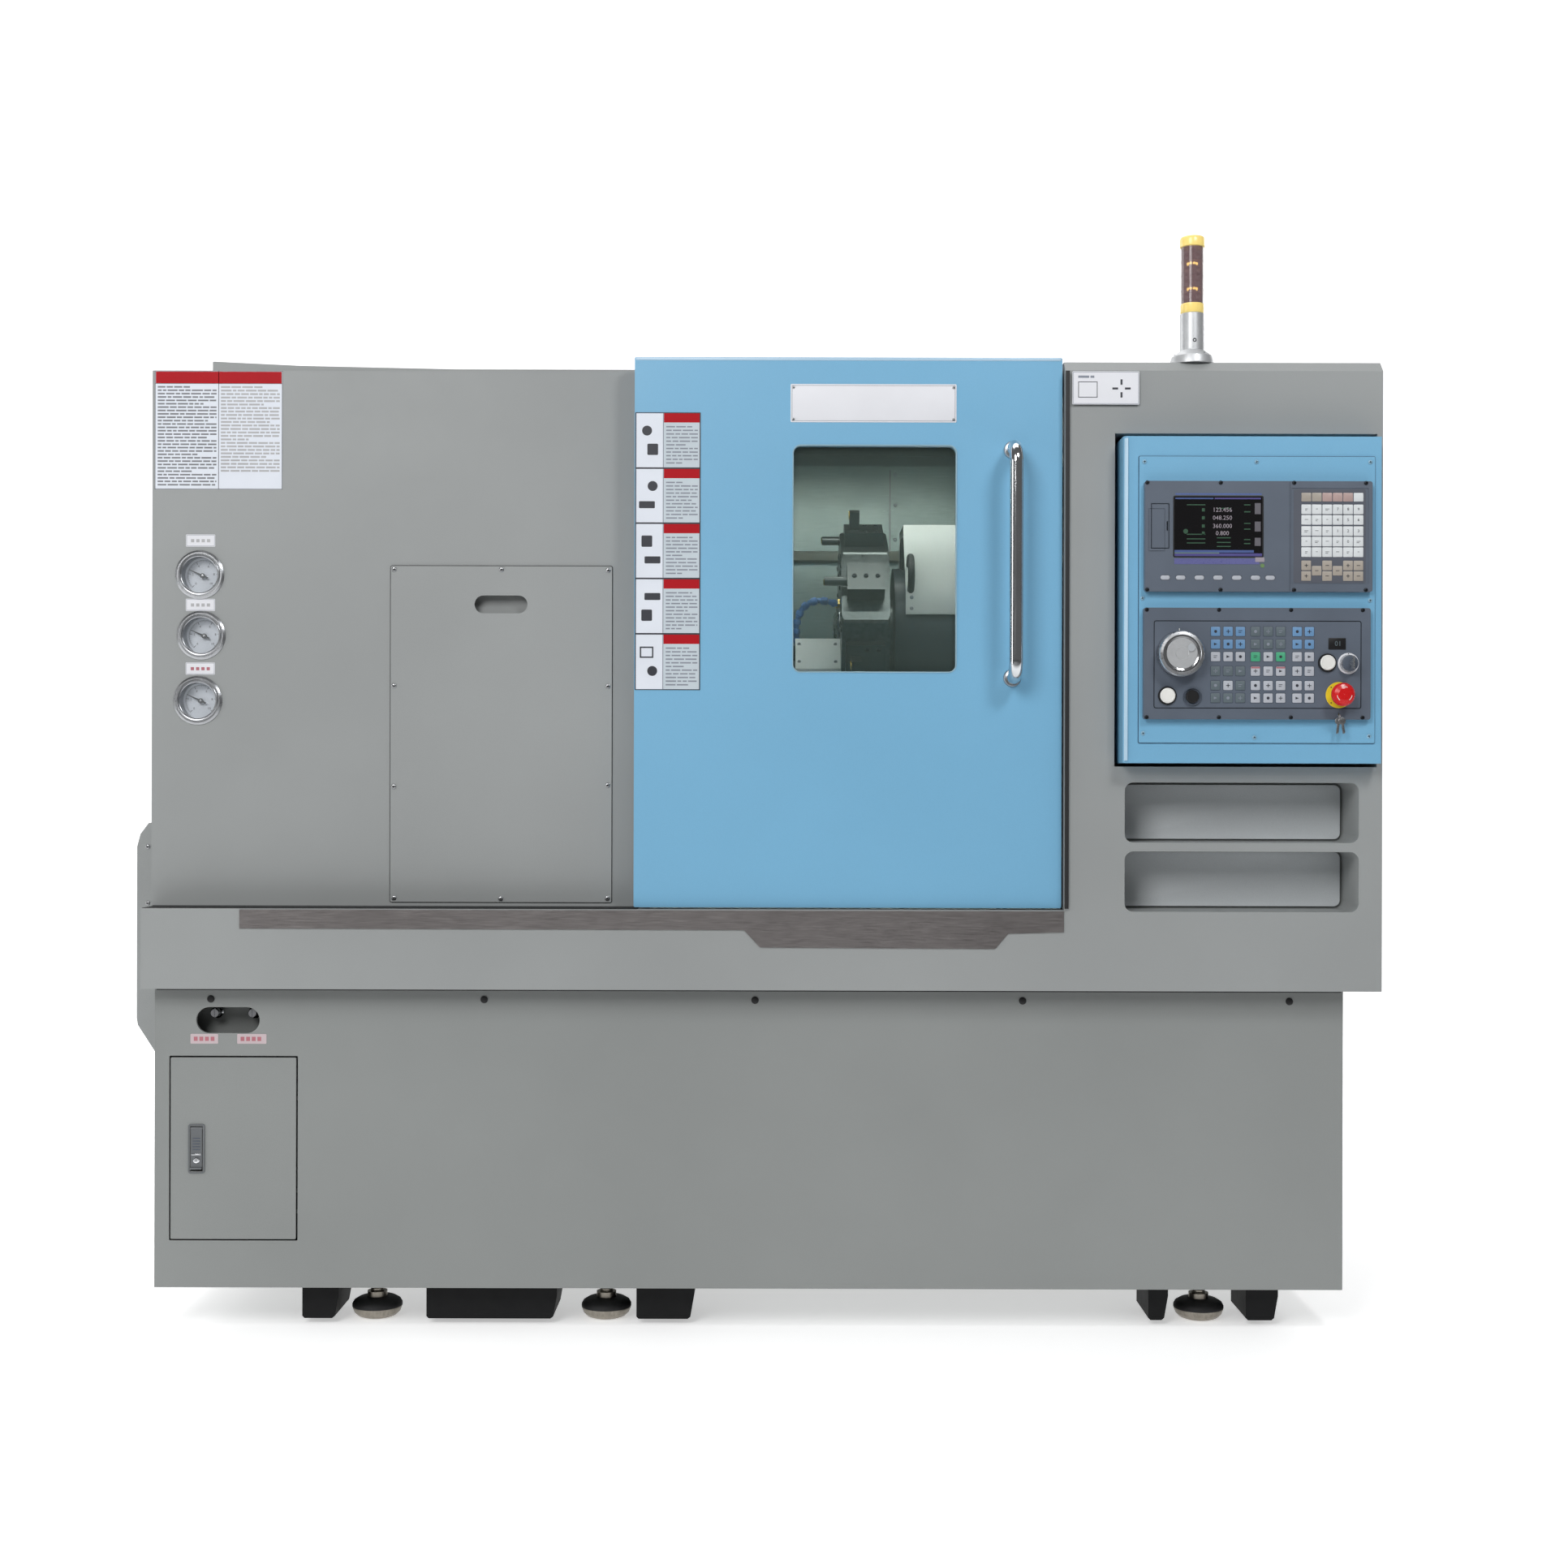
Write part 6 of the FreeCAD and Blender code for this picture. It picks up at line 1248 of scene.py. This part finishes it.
b.lathe([(0.0, 0.0), (0.0080, 0.0), (0.0082, 0.004), (0.0050, 0.014), (0.0034, 0.026), (0.0024, 0.026), (0.0024, 0.012), (0.0, 0.012)], pts[-1], (w, u, w.cross(u)), M["nozzle"], 22)
b.lathe([(0.0, 0.0), (0.012, 0.0), (0.012, 0.004), (0.0085, 0.005), (0.0085, 0.010), (0.0, 0.010)], (0.1722, -0.080, 1.3500), (Vector((-1, 0, 0)), Vector((0, 1, 0)), Vector((0, 0, 1))), M["brass"], 6)
b.finish("turret", "rubber")

# facing holder with a sloped guard sheet painted near-white as the bright reflection of the steel, on the disc's face
b = Mesh("front_tool")
gx0, gx1 = 0.0800, 0.1716
prof = [(-0.2000, 1.2040), (-0.2000, 1.2100), (-0.1520, 1.2740), (-0.1120, 1.2740), (-0.1120, 1.2040)]
vv = [(x, y, z) for x in (gx0, gx1) for y, z in prof]
b.add(vv, [[i_, (i_ + 1) % 5, 5 + (i_ + 1) % 5, 5 + i_] for i_ in range(5)] + [[4, 3, 2, 1, 0], [5, 6, 7, 8, 9]], M["coversheet"])
for x in (gx0 + 0.008, gx1 - 0.010):
    for f_ in (0.22, 0.80):
        pan_screw(b, 0, 0, 0, 0.0036, M["screw"], "hex", on=face((x, -0.2000 + 0.0480 * f_, 1.2100 + 0.0640 * f_), (1, 0, 0), (0, -0.800, 0.600)))
b.block((0.0600, -0.1460, 1.2300), (0.0805, -0.1180, 1.2600), M["tool"], 0.0012)
b.slab([(-0.008, -0.006), (0.006, -0.008), (0.009, 0.006), (-0.005, 0.008)], -0.0030, 0.0005, M["insert"], 0.0006, face((0.0600, -0.132, 1.245), (0, -1, 0), (-1, 0, 0)))
b.finish("turret", "machined")

# chuck: jaw screws, face grooves
b = Mesh("chuck_details")
cfx = hi("chuck_body").x
SYm, SZm = -0.300, 1.060
for rr in (0.050, 0.072, 0.094):
    b.lathe([(rr - 0.0008, 0.0), (rr - 0.0004, 0.0004), (rr + 0.0004, 0.0004), (rr + 0.0008, 0.0), (rr, -0.0004)], (cfx, SYm, SZm), "x", M["strip"], 64, closed=True)
for i in range(3):
    a = math.radians(90.0 + 120.0 * i + 60.0)
    fr = face((cfx, SYm + 0.078 * math.cos(a), SZm + 0.078 * math.sin(a)), (0, 1, 0), (1, 0, 0))
    pan_screw(b, 0, 0, 0, 0.0085, M["screwdark"], "hex", on=fr)
b.finish("spindle", "machined")
for i in range(3):
    b = Mesh("jaw_screws_%d" % (i + 1))
    a = math.radians(90.0 + 120.0 * i)
    ca, sa = math.cos(a), math.sin(a)
    fr = face((-0.0750, SYm + 0.047 * ca, SZm + 0.047 * sa), (0, -sa, ca), (1, 0, 0), (0, ca, sa))
    pan_screw(b, 0, 0, 0, 0.0062, M["screwdark"], "hex", on=fr)
    fr = face((-0.0550, SYm + 0.078 * ca, SZm + 0.078 * sa), (0, -sa, ca), (1, 0, 0), (0, ca, sa))
    pan_screw(b, 0, 0, 0, 0.0062, M["screwdark"], "hex", on=fr)
    for k in range(6):
        z = 0.060 + 0.005 * k
        b.slab(outline_rect(-0.0168, 0.0168, -0.0004, 0.0004), -0.0004, 0.0, M["strip"], 0, face((-0.0550, SYm + z * ca, SZm + z * sa), (0, -sa, ca), (1, 0, 0), (0, ca, sa)))
    b.finish("jaw_" + "abc"[i], "machined")

# ------------------------------------------------------ sides, back and roof
LEFT = lambda y, z, x: face((x, y, z), (0, -1, 0), (-1, 0, 0))
RIGHT = lambda y, z, x: face((x, y, z), (0, 1, 0), (1, 0, 0))
BACK = lambda x, z, y: face((x, y, z), (-1, 0, 0), (0, 1, 0))
TOP = lambda x, y, z: face((x, y, z), (1, 0, 0), (0, 0, 1), (0, 1, 0))


def panel(b, fr, w, h, mat, t=0.0015, r=0.006, inset_screws=0.012, nx=3, nz=3, sr=0.0045):
    """Screwed cover plate with a shadow line behind it, centred on its frame."""
    b.slab(outline_rect(-w / 2 - 0.0015, w / 2 + 0.0015, -h / 2 - 0.0015, h / 2 + 0.0015, r, 4), -0.0004, 0.0002, M["gap"], 0, fr)
    b.slab(outline_rect(-w / 2, w / 2, -h / 2, h / 2, r, 4), -t, 0.0001, mat, 0.0006, fr)
    xs_ = [-w / 2 + inset_screws + (w - 2 * inset_screws) * i / (nx - 1) for i in range(nx)]
    zs_ = [-h / 2 + inset_screws + (h - 2 * inset_screws) * i / (nz - 1) for i in range(nz)]
    k = 0
    for i, x in enumerate(xs_):
        for j, z in enumerate(zs_):
            if i in (0, nx - 1) or j in (0, nz - 1):
                pan_screw(b, x, z, -t, sr, M["screw"], turn=0.9 * k, on=fr)
                k += 1


def louvres(b, fr, w, rows, pitch, mat, d=0.009):
    """Pressed louvres: hooded slots one above another."""
    for i in range(rows):
        z = (i - (rows - 1) / 2) * pitch
        n = 7
        vv, ff = [], []
        for j in range(n + 1):
            a = math.pi * j / n
            zz = z - pitch * 0.22 + pitch * 0.50 * (1 - math.cos(a)) / 2
            out = d * math.sin(a) ** 0.7 if 0 < j < n else 0.0
            out = d * (1 - (j / n)) if j > 0 else 0.0
            vv += [(-w / 2 + 0.35 * d * (j / n), -out, zz), (w / 2 - 0.35 * d * (j / n), -out, zz)]
        k = len(vv)
        vv += [(-w / 2, 0.0005, z - pitch * 0.22), (w / 2, 0.0005, z - pitch * 0.22), (-w / 2, 0.0005, z + pitch * 0.28), (w / 2, 0.0005, z + pitch * 0.28)]
        for j in range(n):
            ff.append([2 * j, 2 * j + 1, 2 * j + 3, 2 * j + 2])
        ff.append([k, k + 1, 1, 0])
        ff.append([2 * n, 2 * n + 1, k + 3, k + 2])
        ff.append([k + 2, k + 3, k + 1, k])
        ff.append([k] + [2 * j for j in range(n + 1)] + [k + 2])
        ff.append([k + 1, k + 3] + [2 * j + 1 for j in reversed(range(n + 1))])
        b.add(vv, ff, mat, False, fr)
        b.block((-w / 2 + 0.004, -d * 0.86, z - pitch * 0.235), (w / 2 - 0.004, -0.0004, z - pitch * 0.205), M["gap"], 0, fr)


# right side: machine base under the column
b = Mesh("base_right_covers")
bx1 = hi("base_cabinet").x
panel(b, RIGHT(-0.300, 0.330, bx1), 0.420, 0.360, M["base"])
louvres(b, RIGHT(-0.300, 0.360, bx1 + 0.0015), 0.300, 8, 0.026, M["base"])
panel(b, RIGHT(0.250, 0.330, bx1), 0.460, 0.360, M["base"])
b.finish("machine", "base_paint")

# left side: vent for the spindle motor, cover over the belt
b = Mesh("base_left_covers")
bx0 = lo("base_cabinet").x
panel(b, LEFT(-0.300, 0.290, bx0), 0.520, 0.330, M["base"], nx=4)
louvres(b, LEFT(-0.300, 0.300, bx0 - 0.0015), 0.360, 8, 0.026, M["base"])
panel(b, LEFT(0.280, 0.290, bx0), 0.360, 0.330, M["base"])
b.finish("machine", "base_paint")
b = Mesh("hood_left_cover")
panel(b, LEFT(-0.160, 1.330, lo("hood_shell").x), 0.640, 0.560, M["grey"], nx=4, nz=4)
b.slab(outline_circle(-0.04, -0.06, 0.046, 40), -0.0060, -0.0012, M["blackp"], 0.0015, LEFT(-0.160, 1.330, lo("hood_shell").x))
panel(b, LEFT(0.400, 1.330, lo("hood_shell").x), 0.280, 0.560, M["grey"], nx=3, nz=4)
b.finish("machine", "grey_paint")
b = Mesh("side_cover_screws")
for z in (0.640, 0.760, 0.862):
    pan_screw(b, -1.0905, z, -0.605, 0.0042, M["screw"], turn=z * 8)
b.finish("machine", "machined")

# back: cabinet doors' hinges and locks, service panels, plugs, lifting points
cbx0, cbx1, cby, cbz0, cbz1 = lo("electrical_cabinet").x, hi("electrical_cabinet").x, hi("electrical_cabinet").y, lo("electrical_cabinet").z, hi("electrical_cabinet").z
yr = hi("hood_shell").y
b = Mesh("hood_back_panels")
panel(b, BACK(-0.800, 1.260, yr), 0.420, 0.620, M["grey"], nx=4, nz=5)
panel(b, BACK(-0.270, 1.260, yr), 0.520, 0.620, M["grey"], nx=4, nz=5)
b.finish("machine", "grey_paint")
b = Mesh("base_back_panels")
ybb = hi("base_cabinet").y
panel(b, BACK(-0.720, 0.330, ybb), 0.520, 0.380, M["base"], nx=4, nz=3)
panel(b, BACK(-0.100, 0.330, ybb), 0.560, 0.380, M["base"], nx=4, nz=3)
panel(b, BACK(0.620, 0.270, ybb), 0.660, 0.250, M["base"], nx=4, nz=3)
louvres(b, BACK(-0.720, 0.340, ybb + 0.0015), 0.360, 8, 0.026, M["base"])
b.finish("machine", "base_paint")

# cabinet: side hinges, gland nut, fan guard on its roof box
b = Mesh("cabinet_hardware")
for z in (0.560, 1.020, 1.480):
    b.lathe([(0.0, -0.030), (0.0065, -0.030), (0.0070, -0.029), (0.0070, -0.0105), (0.0062, -0.0100), (0.0070, -0.0095), (0.0070, 0.0095), (0.0062, 0.0100), (0.0070, 0.0105), (0.0070, 0.029), (0.0065, 0.030), (0.0, 0.030)],
            (cbx0 - 0.0052, cby - 0.012, z), "z", M["screw"], 20)
    b.block((cbx0 - 0.0030, cby - 0.040, z - 0.028), (cbx0, cby - 0.010, z + 0.028), M["screw"], 0.0006)
for z in (0.700, 1.020, 1.340):
    b.lathe([(0.0, 0.0), (0.011, 0.0), (0.012, 0.001), (0.012, 0.003), (0.009, 0.0045), (0.0045, 0.0045), (0.0042, 0.002), (0.0, 0.002)], (cbx1, cby - 0.060, z), "x", M["screw"], 28)
fb = face(((0.180 + 0.480) / 2, cby - 0.020, 1.644), (-1, 0, 0), (0, 1, 0))
for i in range(9):
    b.slab(outline_rect(-0.130, 0.130, -0.0155 + i * 0.0038 - 0.0008, -0.0155 + i * 0.0038 + 0.0008), -0.0016, 0.0, M["gap"], 0, fb)
fb = RIGHT(0.700, 1.300, cbx1)
louvres(b, RIGHT(0.690, 1.200, cbx1), 0.120, 10, 0.024, M["grey"], 0.007)
louvres(b, LEFT(0.690, 1.200, cbx0), 0.120, 10, 0.024, M["grey"], 0.007)
b.lathe([(0.0225, 0.0), (0.0245, 0.0), (0.0255, 0.002), (0.0255, 0.010), (0.0245, 0.012), (0.0225, 0.012)], (0.840, 0.700, cbz0 + 0.010), "z", M["blackp"], 6, smooth=False, closed=True)
b.finish("machine", "black_steel")

# roof: joint strips, screws, blind lifting points
b = Mesh("roof_seams")
hz = 1.715
for x in (-0.700, -0.330, 0.080):
    b.slab(outline_rect(-0.0010, 0.0010, -0.120, 0.150), -0.0006, 0.0, M["gap"], 0, TOP(x, -0.460, hz))
for x in (-0.980, -0.760, -0.640, -0.390, -0.270, 0.020, 0.140, 0.480):
    pan_screw(b, 0, 0, 0, 0.0045, M["screw"], on=TOP(x, -0.345, hz))
    pan_screw(b, 0, 0, 0, 0.0045, M["screw"], on=TOP(x, -0.560, hz))
cz = hi("control_column").z
panel(b, TOP(0.820, 0.050, cz), 0.440, 0.560, M["grey"], nx=3, nz=4)
for x, y in ((0.600, -0.620), (1.060, -0.620), (0.600, 0.540), (1.060, 0.540)):
    b.lathe([(0.0, 0.0), (0.016, 0.0), (0.017, 0.001), (0.017, 0.004), (0.012, 0.006), (0.006, 0.006), (0.006, 0.002), (0.0, 0.002)], (x, y, cz), "z", M["screwdark"], 28)
b.finish("machine", "grey_paint")

# tray behind the valve slot, and a black strip under the apron painting the shadow it casts on the base
b = Mesh("valve_tray")
b.block((-1.015, -0.6030, 0.500), (-0.840, -0.6015, 0.606), M["base"], 0.0005)
b.finish("machine", "base_paint")
# black strip just under the apron: painted shadow
b = Mesh("apron_painted_shadow_strip")
b.block((lo("base_cabinet").x + 0.003, -0.6554, 0.6085), (hi("base_cabinet").x - 0.003, -0.6540, 0.6150), M["rubber"], 0.0003)
b.finish("machine", "rubber")

# column side, belt cover and cabinet rear: screws sunk in their seats, filters behind the vents
b = Mesh("column_side_screws")
for n_, (ya, yb_) in enumerate(((-0.560, -0.090), (-0.050, 0.540))):
    for y in (ya + 0.016, (ya + yb_) / 2, yb_ - 0.016):
        for z in (0.716, 1.170, 1.624):
            if not (y == (ya + yb_) / 2 and z == 1.170):
                pan_screw(b, 0, 0, 0, 0.0046, M["screwdark"], h=0.0016, turn=y * 9 + z, on=RIGHT(y, z, 1.1082))
b.finish("machine", "black_steel")
b = Mesh("column_vent_filter")
b.block((1.1030, 0.104, 1.374), (1.1038, 0.386, 1.554), M["blackp"])
for k in range(34):
    b.block((1.1037, 0.106 + 0.0083 * k, 1.376), (1.1042, 0.1076 + 0.0083 * k, 1.552), M["screwdark"])
b.finish("machine", "black_plastic")
b = Mesh("belt_cover_screws")
for y in (-0.570, -0.150, 0.265):
    for z in (0.590, 0.832):
        pan_screw(b, 0, 0, 0, 0.0046, M["screw"], h=0.0014, turn=y * 9 + z, on=LEFT(y, z, -1.1085))
b.finish("machine", "machined")
b = Mesh("cabinet_rear_fittings")
for x in (0.135, 0.885):
    for z in (0.600, 1.020, 1.440):
        b.lathe([(0.0, 0.0), (0.0118, 0.0), (0.0118, 0.0012), (0.0112, 0.0018), (0.0040, 0.0018), (0.0040, 0.0008), (0.0, 0.0008)], (x, cby - 0.0025, z), "y", M["screw"], 28)
for z0_ in (0.514, 1.374):
    b.block((0.326, cby - 0.0085, z0_), (0.694, cby - 0.0079, z0_ + 0.162), M["blackp"])
b.finish("machine", "machined")

# seam between hood and apron, and a black strip on the apron's top painting the shade under the hood's foot
M["seam"] = plastic("seam_sealant", srgb(96, 99, 100), 0.6, 500.0, 0.00004)
b = Mesh("front_seam_and_painted_shade")
gx0 = lo("hood_shell").x
b.block((gx0 + 0.002, gyf - 0.0006, 0.7572), (-0.210, gyf + 0.0004, 0.7590), M["seam"])
# black strip on the apron's top: painted shade
b.block((lo("apron_belt").x + 0.002, lo("apron_belt").y + 0.002, 0.7570), (-0.2, -0.642, 0.7576), M["gap"])
b.finish("machine", "rubber")

# -------------------------------------------------------------- studio, camera
def stage_piece(name, v, f, mat, smooth=True):
    me = bpy.data.meshes.new(name)
    me.from_pydata(v, [], f)
    me.materials.append(mat)
    for p in me.polygons:
        p.use_smooth = smooth
    ob = bpy.data.objects.new(name, me)
    bpy.context.scene.collection.objects.link(ob)
    return ob


sm, snt, sb = material("studio_floor")
sv = coords(snt)
sn = noise(snt, sv, 2.2, 4.0)
sep = snt.nodes.new("ShaderNodeSeparateXYZ")
snt.links.new(sv, sep.inputs["Vector"])
fade = span(snt, sep.outputs["Y"], 0.0, 1.0, -2.8, -1.7)
snt.links.new(mix(snt, fade, (0.30, 0.30, 0.305, 1), ramp(snt, sn, [(0.3, (0.93, 0.93, 0.935, 1)), (0.7, (0.96, 0.96, 0.962, 1))])), sb.inputs["Base Color"])
snt.links.new(span(snt, sn, 0.60, 0.72, 0.3, 0.7), sb.inputs["Roughness"])
along = span(snt, sep.outputs["Y"], 0.0, 1.0, -4.0, 6.0)
snt.links.new(ramp(snt, along, [(0.12, (0.02, 0.02, 0.02, 1)), (0.23, (0.42, 0.42, 0.42, 1)), (0.50, (0.46, 0.46, 0.46, 1)), (0.72, (0.72, 0.72, 0.72, 1))]), sb.inputs["Emission Strength"])
sb.inputs["Specular IOR Level"].default_value = 0.25
sb.inputs["Emission Color"].default_value = (1.0, 1.0, 1.0, 1.0)
rows = []
for y in (-14.0, -6.0, 0.0, 3.0, 5.0):
    rows.append((y, 0.0))
for k in range(1, 13):
    a = math.pi / 2 * k / 12
    rows.append((5.0 + 3.0 * math.sin(a), 3.0 - 3.0 * math.cos(a)))
rows.append((8.0, 9.0))
vv = [(x, y, z) for y, z in rows for x in (-12.0, 12.0)]
ff = [[2 * i, 2 * i + 1, 2 * i + 3, 2 * i + 2] for i in range(len(rows) - 1)]
stage_piece("studio_floor", vv, ff, sm)

world = bpy.data.worlds.new("studio")
bpy.context.scene.world = world
world.use_nodes = True
bg = world.node_tree.nodes["Background"]
bg.inputs["Color"].default_value = (1.0, 1.0, 1.0, 1)
bg.inputs["Strength"].default_value = 0.13


def area(name, loc, aim, size, power, colour=(1, 1, 1), sy=None):
    li = bpy.data.lights.new(name, "AREA")
    li.energy = power
    li.size = size
    li.color = colour
    if sy:
        li.shape = "RECTANGLE"
        li.size_y = sy
    ob = bpy.data.objects.new(name, li)
    bpy.context.scene.collection.objects.link(ob)
    ob.location = loc
    ob.rotation_euler = (Vector(aim) - Vector(loc)).to_track_quat("-Z", "Y").to_euler()
    return ob


area("key", (-2.0, -5.4, 3.7), (-0.05, 0.0, 1.30), 2.2, 158.0, (1.0, 0.997, 0.99))
area("fill", (1.45, -2.7, 3.0), (0.90, -0.65, 1.60), 0.6, 27.0, (0.98, 0.99, 1.0))
area("strip_left", (-3.6, -1.75, 1.4), (0.6, -0.72, 1.3), 0.60, 22.0, (1.0, 1.0, 1.0), 2.4)
area("top", (0.0, 0.5, 4.6), (0.0, 0.0, 0.9), 3.6, 76.0)
area("rim_left", (-4.0, 2.4, 2.6), (-0.4, 0.3, 1.0), 2.0, 40.0)
area("rim_right", (4.0, 2.4, 2.6), (0.4, 0.3, 1.0), 2.0, 40.0)

cam = bpy.data.cameras.new("camera")
cam.sensor_width = 36.0
cam.lens = 45.700
cam.clip_start = 0.05
cam.clip_end = 60.0
co = bpy.data.objects.new("camera", cam)
bpy.context.scene.collection.objects.link(co)
co.location = (0.058, -4.200, 0.978)
co.rotation_euler = (math.pi / 2, math.radians(-0.14), 0.0)
bpy.context.scene.camera = co
bpy.context.scene.view_settings.view_transform = "Standard"
bpy.context.scene.view_settings.look = "None"
bpy.context.scene.view_settings.exposure = 0.0
bpy.context.scene.view_settings.gamma = 1.0

bpy.context.view_layer.update()
